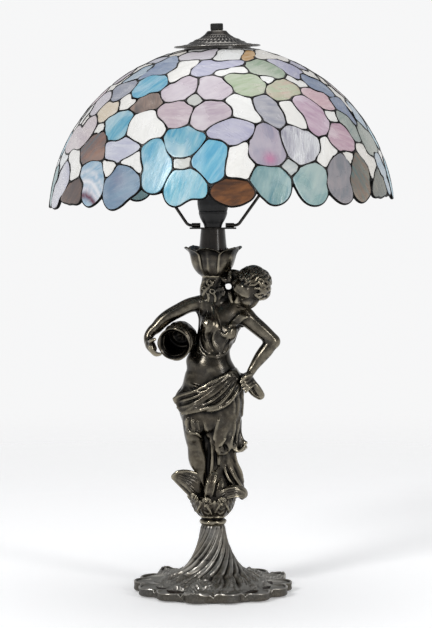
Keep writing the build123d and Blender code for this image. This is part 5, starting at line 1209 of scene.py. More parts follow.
def foot():
    """Scalloped foot: dished lobes, veined leaves over some of them, and flutes twisting up the pedestal."""
    nth, rng = 660, np.random.default_rng(11)
    th = np.arange(nth) * 2 * math.pi / nth
    lobe_a = (np.arange(LOBES) + 0.5) * 2 * math.pi / LOBES - math.pi / 2
    back = np.abs((lobe_a - math.pi / 2 + math.pi) % (2 * math.pi) - math.pi) < 0.3
    jig = np.where(back, 0, 1.0)
    lob_r = 17.6 + jig * rng.uniform(-0.9, 0.9, LOBES)
    lob_c = 76.0 + jig * rng.uniform(-1.3, 0.9, LOBES)
    lob_z = 11.2 + jig * rng.uniform(-0.9, 1.0, LOBES)
    lob_d = 3.8 + rng.uniform(-0.8, 0.9, LOBES)
    leafy = np.zeros(LOBES, bool)
    leafy[[13, 4, 8]] = True

    def outline(t):
        r = np.full(t.shape, 86.2)
        for a, rr, cc in zip(lobe_a, lob_r, lob_c):
            d = (t - a + math.pi) % (2 * math.pi) - math.pi
            s = cc * np.sin(d)
            ok = (np.abs(s) < rr) & (np.abs(d) < 0.5)
            r = np.maximum(r, np.where(ok, cc * np.cos(d) + np.sqrt(np.maximum(rr * rr - s * s, 0)), 0))
        return r

    R = outline(th)
    for _ in range(2):
        R = 0.25 * np.roll(R, 1) + 0.5 * R + 0.25 * np.roll(R, -1)
    flare = [(9, 78.8), (13.0, 78.8), (14.2, 76), (15.0, 70), (16.2, 63), (18.2, 55), (21.0, 46.5), (24.4, 39), (29, 31.5), (35, 25), (43, 19.4), (52, 15.6), (62, 13.0), (75, 11.2), (96, 10.0)]
    fr = np.asarray(flare)
    # path of one meridian: wall up, over the rim, then in along the lobes and up the pedestal
    wall = [(-1.6, 1.6), (-0.4, 2.2), (0.0, 3.4), (0.1, 5.2), (0.15, 7.0), (0.1, 8.6)]
    q_top = np.concatenate([[0.0, 0.006, 0.014, 0.024, 0.036, 0.05], np.linspace(0.066, 1, 74)])
    r_in = 24.6
    rows_r = [R + d for d, _ in wall] + [R * (1 - q) + r_in * q for q in q_top]
    up_r = np.interp(np.linspace(39.6, 78.6, 46), fr[::-1, 1][:], fr[::-1, 0][:])
    rr = np.array(rows_r + [np.full(nth, r) for r in up_r] + [np.full(nth, 9.0), np.full(nth, 9.0)])
    n_wall, n_top, n_up = len(wall), len(q_top), len(up_r)
    z = np.zeros_like(rr)
    # height of the flare without lobes
    zf = np.interp(rr, fr[:, 0], fr[:, 1])
    T = np.broadcast_to(th, rr.shape)
    X, Y = rr * np.cos(T), rr * np.sin(T)
    # dished lobes, longer towards the middle
    best, second, own = np.full(rr.shape, 9.0), np.full(rr.shape, 9.0), np.zeros(rr.shape, int)
    for i in range(LOBES):
        ca, sa = math.cos(lobe_a[i]), math.sin(lobe_a[i])
        u, w = X * ca + Y * sa - lob_c[i], -X * sa + Y * ca
        d = np.sqrt((u / np.where(u > 0, lob_r[i], 27.0)) ** 2 + (w / (lob_r[i] * 1.02)) ** 2)
        m = d < best
        second = np.where(m, best, np.minimum(second, d))
        own = np.where(m, i, own)
        best = np.where(m, d, best)
    dish = lob_z[own] - lob_d[own] * (1 - np.clip(best, 0, 1.0) ** 2.4) - 2.2 * np.clip(best - 1.0, 0, 1.0) * 4
    crease = np.exp(-((second - best) / 0.10) ** 2) * np.clip(1.3 - np.abs(best - 1.05) * 2, 0, 1)
    lip = 1.5 * np.exp(-((best - 0.92) / 0.06) ** 2)
    zd = dish + lip - 1.8 * crease
    wgt = 1 / (1 + np.exp((rr - 57) / 3.6))
    zt = np.maximum(zf * wgt + zd * (1 - wgt), np.where(rr < 62, zf - 1.0, -9))
    # twisting flutes
    height = np.clip(zt, 12, 79)
    turn = np.radians(88) * np.clip((height - 24) / 54, 0, 1) ** 0.9 - np.radians(22) * np.clip((rr - 34) / 40, 0, 1)
    drift = noise3(np.stack([X, Y, zt], -1), 15, 17)
    ph = T - turn + 0.045 * drift * np.clip((rr - 15) / 10, 0, 1)
    amp = np.interp(rr, [9, 14.5, 16, 22, 32, 44, 54, 64, 72], [0, 0.35, 0.9, 1.7, 2.3, 2.4, 1.7, 0.7, 0.0])
    f1 = np.abs(np.cos(0.5 * (18 * ph + 0.9 * np.sin(2 * ph + 1.0))))
    f2 = np.abs(np.cos(0.5 * (36 * ph + 1.7 + 0.8 * np.sin(3 * ph))))
    f3 = np.abs(np.cos(0.5 * (54 * ph + 2.6 * np.sin(2 * ph + 0.4) + 0.4)))
    flute = amp * (1.25 * (f1 ** 1.5 - 0.5) * (1 + 0.35 * drift) + 0.6 * (f2 ** 1.4 - 0.5) + 0.35 * (f3 ** 1.3 - 0.5) * (1 - 0.6 * drift))
    # leaves where the flutes run out on the lobes: pointed tongues with veins, in two tiers
    tongue = np.zeros_like(rr)
    for tier, (r0, r1, shift) in enumerate(((40, 58, 0.0), (48, 69, 0.5))):
        u = np.clip((rr - r0) / (r1 - r0), 0, 1)
        w = np.abs(((T / (2 * math.pi) * 14 + shift + 0.25 * u) % 1) - 0.5) * 2
        half = 0.96 * np.sqrt(np.clip(1 - u ** 2.2, 0, 1)) + 1e-3
        e = np.clip(1 - w / half, 0, 1)
        vein = 0.45 * np.cos(2 * math.pi * (4.5 * u - 2.2 * w)) * np.clip(w * 5, 0, 1) + 0.8 * np.exp(-(w / 0.07) ** 2)
        on = np.clip(e * 7, 0, 1) * np.clip(u * 6, 0, 1) * (u < 1)
        tongue = np.maximum(tongue, on * (1.1 - 0.3 * tier + 1.2 * np.sin(math.pi * u) * e ** 0.7 + 0.7 * vein * (0.4 + 0.6 * u)))
    leaf = np.zeros_like(rr)
    for i in np.where(leafy)[0]:
        ca, sa = math.cos(lobe_a[i]), math.sin(lobe_a[i])
        u, w = X * ca + Y * sa, -X * sa + Y * ca
        hw = 15.5 * np.sqrt(np.clip((u - 44) / 14, 0, 1)) * np.clip((97 - u) / 14, 0, 1) ** 0.5 + 1e-3
        e = np.abs(w) / hw
        m = np.clip((1 - e) / 0.10, 0, 1) * (u > 44)
        vein = 0.65 * np.cos((u + 0.9 * np.abs(w)) * 2 * math.pi / 4.6) * np.clip(np.abs(w) / 2.5, 0, 1)
        leaf = np.maximum(leaf, m * (1.7 + 1.5 * (1 - e ** 2) + 1.35 * vein + 1.2 * np.exp(-(w / 1.1) ** 2)))
    grain = noise3(np.stack([X, Y, zt], -1), 3, 5.5) * 0.07 + noise3(np.stack([X, Y, zt], -1), 4, 12) * 0.26
    k0, k1 = n_wall, n_wall + n_top
    # move: straight up on the lobes, outwards on the pedestal
    slope = np.gradient(np.interp(np.arange(9, 97, 0.5), fr[:, 0], fr[:, 1]), 0.5)
    sl = np.interp(rr, np.arange(9, 97, 0.5), slope)
    nz = 1 / np.sqrt(1 + sl ** 2)
    nr = -sl * nz
    move = flute + tongue * np.clip((80 - rr) / 8, 0, 1) + grain * np.clip((rr - 12) / 6, 0, 1)
    z[k0:k1] = zt[k0:k1]
    rnew = rr.copy()
    z[k0:k1] += (move * nz)[k0:k1] + leaf[k0:k1] * np.clip((rr[k0:k1] - 40) / 8, 0, 1)
    rnew[k0:k1] += (move * nr)[k0:k1] * np.clip((60 - rr[k0:k1]) / 14, 0, 1)
    zz = np.linspace(39.6, 78.6, n_up)
    z[k1:k1 + n_up] = zz[:, None] + (move * nz)[k1:k1 + n_up] * np.clip((78 - zz) / 8, 0, 1)[:, None]
    rnew[k1:k1 + n_up] += (move * nr)[k1:k1 + n_up] * np.clip((79.5 - zz) / 4, 0.15, 1)[:, None]
    rim_z = z[k0]
    for i, (_, h) in enumerate(wall):
        z[i] = 1.6 + (h - 1.6) / (8.6 - 1.6) * (np.maximum(rim_z - 1.5, 6.5) - 1.6)
        if 0 < i < n_wall:
            wob = 0.30 * noise3(np.stack([X[i], Y[i], z[i]], -1), 8, 9) + (0.5 * leaf[k0] * 0.4)
            rnew[i] += wob - 0.5 * (i in (3, 4))
    z[-2], z[-1] = 78.8, 1.6
    v = np.stack([rnew * np.cos(T), rnew * np.sin(T), z], -1).reshape(-1, 3)
    q = grid_faces(rr.shape[0], nth, wrap_u=True, wrap_v=True)[:, ::-1]
    ob = make_object("foot_cast", v, q[:, ::-1])
    tone = relief_tone(v, q[:, ::-1], 0.34, (4, 18))
    # painted light and shade: the side wall darkened as painted shade, the rim's top edge and the outer lobes lightened
    # as painted light, the pedestal a touch darker
    level = np.zeros(rr.shape)
    level[:n_wall] = -0.42
    level[n_wall:n_wall + 3] = 0.04
    level[k0 + 6:k1] = 0.10 + 0.36 * np.clip((rr[k0 + 6:k1] - 50) / 16, 0, 1)
    level[k1:] = -0.03
    tone = 0.5 + 0.62 * (tone - 0.5) + level.ravel()
    point_values(ob, "tone", np.clip(tone, 0, 1))
    fit(ob, "root", "pewter_casting", PEWTER, "foot_casting")


SEAT = np.array([4.5, 0.0, 650.0])
LEAN = math.radians(-1.5)
TURN = np.array([[math.cos(LEAN), 0, math.sin(LEAN)], [0, 1, 0], [-math.sin(LEAN), 0, math.cos(LEAN)]])
SEAT_AXIS = TURN @ np.array([0, 0, 1.0])


def cap_and_knob():
    def emboss(a, r, h):
        top_side = h > np.interp(r, [4, 11, 14.5, 19, 27, 34, 42, 50], [1.2, 1.2, -2.9, -6.4, -9.9, -13.4, -15.9, -16.0])
        band = np.clip((r - 15.5) / 3, 0, 1) * np.clip((33.5 - r) / 3, 0, 1)
        s = (r - 15) / 18
        ph = a * 12 / 2 + 2.6 * s
        scroll = np.cos(3 * ph) * np.cos(a * 18 - 9.0 * s) + 0.6 * np.cos(36 * a + 12 * s)
        rim = 0.35 * np.cos(60 * a) * np.exp(-((r - 47.6) / 1.6) ** 2)
        return np.where(top_side, 0.34 * band * scroll + rim, 0)

    prof = [(4.2, 2.0), (9.4, 2.15), (11.0, 1.9), (12.0, 0.6), (14.2, -1.9), (15.2, -2.4), (16.0, -3.4), (19, -5.5), (23, -7.3), (27, -9), (31, -10.9), (33.6, -12.1), (34.6, -12.9), (35.0, -13.9),
            (36.6, -13.9), (37.6, -13.2), (39.4, -13.5), (42, -14.6), (45.4, -15.0), (48.6, -14.9), (49.7, -15.3), (50, -15.9), (49.6, -16.5), (42, -16.5), (33.2, -14.2), (26.4, -10.6),
            (18.2, -7), (13.4, -3.6), (10.3, 0.5), (4.2, 0.5)]
    ob = revolve("shade_cap_cast", prof, 264, SEAT, SEAT_AXIS, step=0.62, relief=emboss, gain=0.9)
    fit(ob, "shade", "pewter_cap", CAP_METAL, "shade_cap")

    def knurl(a, r, h):
        side = np.clip((r - 6.6) / 0.3, 0, 1) * np.clip((h - 3.2) / 0.4, 0, 1) * np.clip((9.6 - h) / 0.4, 0, 1)
        return 0.32 * side * (np.abs(np.cos(15 * a + 2.4 * h)) + np.abs(np.cos(15 * a - 2.4 * h)) - 1.2)

    ob = revolve("finial_knurled", [(3.3, 2.4), (5.6, 2.4), (6.7, 2.5), (7.15, 2.9), (7.2, 3.3), (7.2, 9.5), (7.1, 10.0), (6.6, 10.45), (3.0, 10.5), (0.3, 10.45), (0.3, 9.2), (3.3, 9.2)], 240,
                 SEAT, SEAT_AXIS, step=0.28, relief=knurl)
    fit(ob, "finial", "black_knob", KNOB, "finial_knob")


def holder():
    """Ribbed black lampholder in two shells."""
    def rib(a, r, h):
        s = np.clip((h - 466) / 1.5, 0, 1) * np.clip((479.5 - h) / 1.5, 0, 1) * (r > 17.5)
        return 0.40 * s * np.cos(36 * a)

    ob = revolve("lampholder_shell", [(14.35, 445.2), (16.5, 445.2), (16.95, 445.8), (17.4, 448.6), (18.0, 452), (18.15, 457), (18.3, 461.4), (18.7, 462.4), (19.2, 463.2), (19.4, 464.2), (19.4, 479.6),
                                      (19.1, 481.2), (18.4, 482), (14.9, 482), (14.35, 481.4)], 216, step=0.7, relief=rib)
    fit(ob, "root", "black_plastic", PLASTIC, "lampholder_body")
    ob = revolve("lampholder_base", [(5.15, 425.6), (9.6, 425.6), (10.1, 426.2), (10.5, 428), (11.5, 430.6), (13, 433), (14.8, 436.6), (16, 440), (16.5, 443), (16.6, 444.6), (16.2, 445.0),
                                     (13.2, 445), (12.6, 440), (9.5, 436), (5.15, 436)], 144, step=0.7,
                 relief=lambda a, r, h: 0.25 * np.exp(-((h - 441.6) / 0.7) ** 2) * (r > 15) - 0.25 * np.exp(-((h - 443.6) / 0.4) ** 2) * (r > 15))
    fit(ob, "root", "black_plastic", PLASTIC, "lampholder_cap")


# ---------------------------------------------------------------- leaded shade

SHADE_R, SHADE_DROP = 198.5, 215.2
GLASS_T, GLASS_INSET = 2.7, 1.22
PHI_TOP, PHI_GROUND = 11.5, 78.5

# panes: group, glass, turn from the front, angle from the pole, outline along 24 rays; petals at the sides: half sizes, turn, kind
PANES = [
    ("pearl", "pearl", -69.4, 76.6, (24.5, 27.8, 28.4, 28.5, 29.1, 30, 27, 21.1, 20.2, 17.6, 14.8, 15.6, 22.3, 23, 29.5, 34.2, 31.7, 27.8, 25.7, 21.2, 16.6, 18.2, 19.6, 21.9)),
    ("brown", "umber", -58.1, 79.1, (20.2, 21.9, 22.3, 21, 19.3, 17.1, 15.4, 14.1, 14.3, 15.4, 16.6, 17.9, 22.9, 30.3, 21.7, 16.5, 14.7, 13.5, 12.8, 13, 14.8, 18, 21.3, 21.7)),
    ("steel", "stripe", -47.7, 75.5, (21.4, 20.7, 21, 21.5, 24.6, 25.6, 25.1, 26, 27.1, 28.5, 27.8, 22.8, 16.5, 15.2, 18.2, 21.8, 25, 27.3, 28.2, 26.7, 25.7, 25.1, 24.1, 22.5)),
    ("steel", "steel", -34.7, 77.0, (27.6, 27.1, 26.2, 25.5, 24.8, 24.8, 25, 24.9, 22.2, 20.7, 22.4, 24, 23.8, 24.8, 26.6, 27.9, 28.8, 26.9, 23.5, 21, 19.3, 19.2, 21, 24.7)),
    ("blue", "sky", -22.3, 70.3, (21.1, 21, 20.2, 19.6, 21.8, 28.6, 32.8, 32.6, 29.7, 26.5, 21.5, 17.6, 15.2, 15, 16.5, 20.5, 27.9, 31.3, 32.4, 31.9, 26.2, 22, 21.1, 21.2)),
    ("blue", "sky2", -11.8, 77.4, (26, 24.5, 23.1, 22.4, 22, 21.6, 19.8, 20.4, 22.9, 22.6, 22, 22.3, 23.7, 24.7, 25.8, 26, 24.9, 21.5, 17.4, 15.7, 15.7, 18.5, 26.4, 27.2)),
    ("centre", "c", -12.9, 69.7, (9.9, 10.7, 12.8, 11.3, 7.4, 6.3, 6.3, 6.4, 7.2, 9.2, 11.1, 10.9, 10.5, 10.7, 11, 9.5, 8.4, 8, 7.8, 7.9, 8.4, 8.8, 9.7, 10.4)),
    ("blue", "azure", -3.1, 69.0, (16.5, 18.6, 21.4, 24.7, 25.5, 24.2, 23.7, 23.5, 20.6, 19.1, 19.6, 21.4, 22.6, 22.1, 19.8, 19.1, 20, 22.7, 26.8, 25.9, 24.6, 20.9, 17.9, 16.6)),
    ("blue", "sky", -13.1, 62.3, (24, 25.4, 22.6, 19.2, 19.7, 19.9, 18.9, 17.8, 19.4, 23, 23.7, 22.9, 21.8, 21.2, 21, 21.1, 21.4, 20.5, 20.2, 20.1, 20.4, 20.5, 20.9, 21.9)),
    ("brown", "leaf", 3.6, 79.4, (25.3, 22.9, 19.8, 17.9, 16.2, 15.5, 15.5, 15.7, 17.2, 18.8, 21.4, 24.2, 25.3, 22.9, 19.7, 17.6, 16.4, 16.2, 16, 15.9, 16.9, 18.1, 20.5, 24.1)),
    ("teal", "teal", 16.6, 77.2, (22.7, 22.3, 21.8, 21.6, 21.4, 20.5, 19.8, 21.3, 25, 26.1, 25.5, 24.8, 22.8, 20.1, 19.3, 19.3, 19.7, 22.3, 23.8, 24.1, 24.2, 24, 23.7, 22.9)),
    ("teal", "teal2", 30.8, 77.6, (19.2, 22.2, 24.5, 26.4, 25.8, 24.3, 23.3, 22.7, 22.4, 22.1, 23.8, 25.2, 23.3, 21.9, 21.9, 22.4, 23.5, 24.3, 24.7, 25, 24.8, 23.9, 22.9, 20.3)),
    ("grey", "greymauve", 42.9, 76.3, (15.4, 19.8, 25.3, 26.8, 29.4, 30, 27, 24.4, 22.7, 21.8, 20.7, 19.2, 21.6, 23.3, 24.9, 25.5, 26, 27.8, 29.1, 29.3, 27.9, 23.2, 17.8, 15.3)),
    ("brown", "brown", 53.3, 76.6, (19.1, 21.5, 24.7, 25.1, 26.6, 30.7, 29.2, 23.2, 21.1, 18.3, 17.4, 19.2, 21.4, 22.3, 24.3, 26.5, 27.9, 28.6, 27.1, 24.6, 23.8, 22.8, 19.9, 18.2)),
    ("grey", "olive", 64.8, 79.5, (21.5, 21.4, 21.3, 17.6, 20.6, 20.9, 18.2, 16.7, 15.1, 14.1, 14.4, 17.1, 19.2, 22.6, 22.5, 18.2, 14.7, 13.7, 13.9, 14.3, 15.4, 17.2, 22.3, 25.2)),
    ("ice", "greyblue", 59.5, 41.0, (19.7, 18.8, 18, 17.4, 15.6, 16, 17.4, 23.8, 24.1, 24.4, 24.3, 23.1, 22.8, 20.8, 18, 15.2, 14.2, 16.8, 20.5, 20.4, 23, 23.9, 22.2, 20.2)),
    ("green", "sage", 68.7, 64.0, (24.6, 24.2, 21.1, 18.8, 19.2, 20.8, 21.9, 20.9, 21.4, 22.2, 21.5, 20.7, 20.2, 20.4, 23.4, 23.8, 21.7, 18.6, 15.4, 16, 18.4, 23, 26, 25.7)),
    ("ice", "paleblue", 72.9, 75.1, (15.9, 16.1, 15.1, 14, 16.8, 22.7, 23.4, 24.8, 25.4, 21.4, 20.8, 14.4, 14.9, 13.2, 9.6, 11.3, 15.3, 18.9, 25.2, 29.2, 28.8, 19.7, 10.7, 11.3)),
    ("white", "ground", 60.8, 70.9, (20.2, 17.3, 13.5, 12.1, 12.5, 19.3, 21.3, 22.8, 24.9, 24.5, 19, 12.7, 9.3, 8.5, 8, 8.2, 9.6, 17, 23.5, 19.2, 17.3, 17.7, 19.2, 20)),
    ("white", "ground", 6.3, 69.6, (15.5, 13, 12.7, 15.2, 24.2, 24.3, 19.6, 19.3, 20, 17, 14.7, 14.5, 14.9, 16.2, 19.2, 22.3, 21.4, 19.2, 19.5, 20.8, 20.5, 18.3, 18, 18.1)),
    ("white", "ground", -61.1, 69.4, (15.7, 13, 12.7, 13, 14.4, 16.8, 16.9, 17.3, 20.6, 25.1, 26.5, 22.4, 12.7, 10.4, 9.3, 9.1, 10, 13.6, 19.9, 21.4, 21.3, 23.6, 22.7, 20.6)),
    ("brown", "rust", -51.6, 64.2, (22.1, 19.5, 20.7, 22.4, 22.7, 22.7, 19.6, 19.8, 20.4, 20.3, 20.4, 23.3, 26, 24, 23.3, 23.3, 22.2, 18.6, 16.3, 16.1, 17.4, 21.7, 26.9, 25.5)),
    ("lilac", "lilac", -37.4, 64.6, (26.5, 25.2, 19.3, 16.9, 16.3, 15.7, 14.1, 13.3, 13, 14.4, 21.4, 26, 22.5, 22, 21.7, 18.6, 15.9, 15.5, 16.5, 14.9, 14.6, 15.5, 17.4, 20.8)),
    ("white", "ground", -40.8, 70.8, (10.1, 10.7, 10.8, 10.5, 9.2, 8.3, 8.4, 8.8, 10, 12.2, 12.6, 10.5, 9.3, 8.8, 8.5, 8.1, 9.1, 10.7, 11.4, 11, 10.3, 9.8, 9.6, 9.5)),
    ("white", "ground", -30.4, 69.3, (9.8, 9.1, 9.4, 10.5, 13.4, 14.8, 13, 11.2, 10.8, 11.1, 12.7, 16.5, 18.8, 10.4, 8, 6.3, 5.8, 6, 6.7, 9, 13.6, 16.9, 14.3, 11.4)),
    ("white", "ground", -29.1, 56.7, (25.6, 21.9, 18.4, 17.2, 18.8, 23.1, 23.3, 22.5, 23.2, 24.9, 24.9, 23.9, 23.3, 23.8, 22.8, 20.6, 20.3, 20.4, 21.6, 22.2, 19.5, 21.3, 26.9, 27.8)),
    ("blue", "sky", -43.0, 55.7, (17.3, 17.8, 21, 22.5, 21.8, 20.5, 20, 19.9, 19.8, 20.1, 23.2, 24.7, 21, 18.6, 18.4, 18.9, 18, 20.2, 20.5, 21.8, 22.7, 23.1, 21.2, 19.1)),
    ("white", "ground", -52.9, 57.0, (8.4, 8.9, 9.1, 8.1, 7.8, 7.8, 7.8, 7.9, 8.5, 9.1, 8.4, 8.1, 8, 8.7, 9.9, 9.6, 7.3, 6.6, 6.8, 7.9, 8.2, 7.5, 7.8, 9.5)),
    ("pearl", "blush", -66.6, 59.2, (31.6, 33.9, 33.7, 31.6, 29.8, 26.1, 24.4, 18.7, 11.4, 16.2, 28.9, 31.6, 32.9, 35.9, 35.5, 31.9, 27.6, 23.6, 18.6, 19.2, 22.6, 25.2, 27.2, 29.5)),
    ("pearl", "cream", -54.6, 50.1, (19.7, 18.5, 18.2, 17.9, 16.9, 14.2, 13.1, 14.3, 17.7, 19.2, 19.2, 19.4, 20.3, 18.5, 15.5, 15.6, 16, 16.7, 17.2, 17.2, 16.3, 14.8, 15.5, 19.2)),
    ("pearl", "blush", -67.1, 46.4, (17.7, 20.4, 18.7, 17.6, 17.3, 17.4, 18.3, 20.1, 20.9, 21.4, 22.7, 21.5, 19.1, 17.2, 15.6, 16.4, 18.7, 19.3, 19.8, 20.6, 21.3, 18.6, 16.7, 16.3)),
    ("lilac", "greylilac", -55.8, 40.7, (20.9, 21.1, 20.9, 19.1, 18.8, 18.6, 16.8, 16.1, 16.9, 19.4, 23.4, 25.9, 22.7, 18, 16.2, 15.9, 17.9, 18.8, 19.6, 20.1, 20.3, 19.5, 19.7, 20.7)),
    ("blue", "sky", -37.5, 39.0, (24.1, 23.2, 22.6, 22.4, 21.5, 19.3, 19.5, 20.6, 22.3, 22.8, 22, 21, 20.9, 22.2, 23.1, 23.3, 23.4, 21.6, 20.5, 18.4, 15.4, 17.7, 21.8, 23.2)),
    ("white", "ground", -44.9, 46.6, (14.9, 13.6, 10.3, 7.8, 7.3, 9.3, 11.6, 14.9, 15.2, 14.6, 15.2, 14.6, 11.4, 10.2, 10.3, 11.2, 11.6, 12.5, 12.7, 12.7, 13.4, 13.4, 12.9, 14.3)),
    ("brown", "taupe", -32.6, 47.2, (20.7, 19, 16.5, 17.3, 17.9, 16.7, 16.4, 15.9, 14.7, 14.9, 17.5, 16.7, 18.2, 23.2, 20.7, 18.5, 16.9, 16.5, 15.3, 12.8, 12.7, 14.7, 18.5, 19.6)),
    ("pink", "pink", -18.8, 41.4, (19.6, 20.4, 21.1, 22.9, 24.2, 24.1, 22.4, 18.5, 15.5, 15.4, 17.3, 19.9, 22.4, 22.6, 23, 23.5, 22.8, 21.9, 19.1, 19.1, 19.6, 18.4, 18.5, 19.7)),
    ("pink", "pink", -2.2, 41.2, (21.1, 18.6, 16.9, 17.1, 18.7, 20.2, 21.7, 23, 24.7, 22.6, 19.1, 18.5, 18.9, 19.9, 20, 20.3, 21.3, 18.7, 18.4, 21, 21.6, 22, 22.4, 22.4)),
    ("pink", "pink", -17.9, 52.0, (19.3, 21.2, 20.9, 18.4, 18.7, 18.8, 19.2, 18, 18.8, 22, 23.4, 23.4, 21.7, 18.9, 16.6, 16.1, 17.1, 19.4, 20.3, 21, 21.4, 22.1, 20.9, 19.3)),
    ("pink", "pink", -3.8, 52.6, (25, 25.6, 24.6, 23.3, 20.7, 19.5, 19.5, 19.7, 19.2, 19.2, 19.5, 19.8, 20.8, 22, 24.1, 24.9, 24.5, 22.6, 17.6, 15.4, 14.8, 15, 17.2, 21.7)),
    ("centre", "c", -10.6, 46.5, (9.3, 8.8, 8.4, 8.3, 8.9, 9.9, 10.4, 10, 9.3, 8.8, 9.1, 9.5, 9.3, 9.3, 9.2, 9.2, 9.2, 8.8, 9.4, 9.9, 9.6, 9.6, 9.8, 10)),
    ("lilac", "lavender", 4.5, 59.0, (25.2, 27, 23.4, 19.6, 18, 17.1, 16.7, 16.4, 16.3, 17.5, 20, 24.6, 28.3, 26.2, 18.7, 16.8, 17.1, 18.5, 18.9, 18.7, 18.5, 18.1, 20.1, 23.3)),
    ("white", "ground", 10.0, 50.4, (12.8, 12.6, 13.5, 16.3, 17.1, 17.2, 19.2, 22.9, 22.9, 23.3, 22.4, 15.2, 12.9, 13.3, 15.7, 17.5, 16.3, 16.2, 17.2, 20.5, 24.9, 26.2, 19.3, 13.5)),
    ("lilac", "greylilac", 20.7, 51.7, (15, 14.3, 14.7, 16.3, 18.4, 21.6, 23.8, 23.5, 23.6, 22.2, 19.1, 16.9, 16, 15, 14.7, 15, 17.6, 19.5, 23.2, 26, 24.6, 21.7, 18.5, 16.6)),
    ("white", "ground", 30.4, 53.6, (12.3, 11.4, 11.3, 12, 14.7, 20.1, 20.6, 20.7, 21.9, 18.2, 13.5, 11.7, 11.3, 12, 14.7, 16.5, 16.1, 16, 17.7, 21.1, 21.9, 18.8, 15.5, 13.6)),
    ("rose", "rose", 40.0, 53.8, (19.4, 20.9, 21.5, 21.7, 22.9, 25.5, 28.3, 29.7, 30, 26.7, 20.7, 16.5, 14.5, 14.9, 17.1, 22, 27.7, 29.6, 27.8, 27.1, 25.3, 23.7, 23.2, 20.4)),
    ("white", "ground", 50.4, 54.4, (8.5, 10.1, 12.9, 9.5, 8.2, 7.9, 7.8, 8.6, 9.4, 10.8, 11, 10.9, 10.8, 11.2, 11, 10.9, 9.9, 9.5, 9.5, 9.8, 10.2, 9.9, 9.1, 8.6)),
    ("rose", "rose", 49.6, 62.5, (21, 20.4, 20.6, 21.3, 20.8, 19.5, 19.4, 19.9, 19, 18.3, 19.2, 21, 22.7, 23.2, 21.8, 19.9, 18.2, 17.3, 17.5, 19, 20, 21.1, 22.3, 23)),
    ("ripple", "iris", 29.3, 64.6, (25.8, 25.7, 24.1, 22.6, 20.6, 21, 23.4, 25.6, 27.1, 26.8, 25.4, 22.8, 21.7, 21.5, 22.6, 23.7, 24, 25.3, 23.7, 22.8, 22.5, 22.7, 24, 25.1)),
    ("mauve", "mauve", 16.5, 64.7, (18.8, 18.7, 20.2, 24, 26.3, 28.1, 28.7, 27.4, 22.8, 20, 19.5, 20.1, 21.7, 23.8, 24.8, 24.9, 24.7, 24.3, 24.3, 24.9, 25.5, 25.3, 24.4, 21)),
    ("white", "ground", 39.1, 67.5, (18.1, 16.8, 15.5, 15.6, 18.7, 20.8, 18.5, 14.1, 10.9, 8.8, 8.3, 8.6, 10.2, 15.1, 19.3, 19.2, 19.9, 18.3, 13.3, 11, 10.3, 10.2, 10.5, 14.6)),
    ("centre", "c", 23.5, 71.9, (9.6, 10.4, 9.4, 8.3, 8.4, 9.2, 9.8, 9.9, 9.3, 9, 9.4, 10.9, 10.8, 9.3, 8.2, 8, 8.4, 9.8, 10.4, 9.7, 9.1, 9.8, 10.2, 9.8)),
    ("white", "ground", 49.6, 69.3, (9.3, 9.8, 8.6, 8, 7.1, 6.8, 7, 7.4, 8, 8.4, 9.6, 8.8, 7.8, 7.4, 7.4, 6.8, 7.3, 9.5, 9.6, 8, 6.5, 6.9, 7.5, 7.8)),
    ("lilac", "lavender", -2.4, 29.1, (24.1, 35.5, 34.1, 20.6, 14.4, 13.5, 13.7, 17.6, 19.2, 20.3, 20.7, 21.4, 23.8, 27.3, 30.1, 29.7, 23.9, 21.2, 14.6, 10.6, 10.3, 11.2, 13.9, 16.9)),
    ("white", "ground", 7.9, 32.3, (20.2, 19.6, 18, 14.4, 11, 9.5, 8.6, 7.5, 6.7, 7.3, 8.9, 13.9, 19.3, 20.8, 19.6, 15, 8, 6.2, 5.6, 5.5, 5.9, 6.7, 9.6, 16.8)),
    ("green", "green", 30.8, 31.3, (22.6, 20.3, 20.7, 21.2, 21.4, 22.4, 22.5, 21.9, 21.4, 22, 22.3, 22.4, 22.7, 23.4, 21.8, 19.3, 16.7, 16.9, 18.7, 23, 21.7, 23.4, 24, 23.7)),
    ("green", "green2", 14.0, 39.6, (23.6, 21.6, 21.6, 22.7, 21.4, 18.2, 17.4, 18.9, 23.9, 26.5, 26.8, 22.8, 18.8, 17.4, 19.7, 20.8, 21.6, 21.9, 21.2, 21.3, 22.5, 23.5, 22.7, 22.7)),
    ("green", "green3", 31.7, 42.8, (23.7, 24.6, 23.5, 22.2, 21.3, 17.8, 17.1, 16.1, 15, 15.6, 18.6, 20.4, 23.1, 24.2, 24.2, 23.4, 20.6, 18.2, 16.1, 14.6, 14, 14.8, 19.2, 22.6)),
    ("white", "ground", 26.6, 37.5, (9.5, 10.5, 9, 7.8, 7.2, 6.8, 7.1, 7.6, 8.6, 9.2, 9, 8.6, 8.3, 8.1, 8, 7.4, 7.7, 9.8, 8.5, 7.5, 7.3, 7.3, 7.6, 8.2)),
    ("white", "ground", -23.2, 30.7, (11.3, 11.8, 16.3, 21.6, 25.2, 24.2, 22.3, 23.4, 21.6, 13.2, 10.7, 10.8, 12.1, 15.9, 18.1, 18.9, 21.6, 26.8, 25, 18.5, 17.2, 17.1, 15.3, 13.4)),
    ("ice", "greyblue", -42.2, 28.0, (22.8, 20.1, 19.3, 20.2, 21.6, 24.1, 28.7, 30.5, 22.9, 18.1, 17.7, 15.4, 14.5, 17.3, 18.1, 23.8, 33.3, 25.2, 19.5, 20.3, 22.5, 25.1, 24.2, 23.6)),
    ("pearl", "blush", -18.4, 18.5, (19.6, 19.3, 19.8, 24.5, 28.3, 19.2, 9.6, 9.7, 11.2, 16.7, 20.7, 21, 24, 25.2, 25.4, 25.6, 22.5, 20.9, 18.1, 17.9, 21, 24, 22.7, 20.5)),
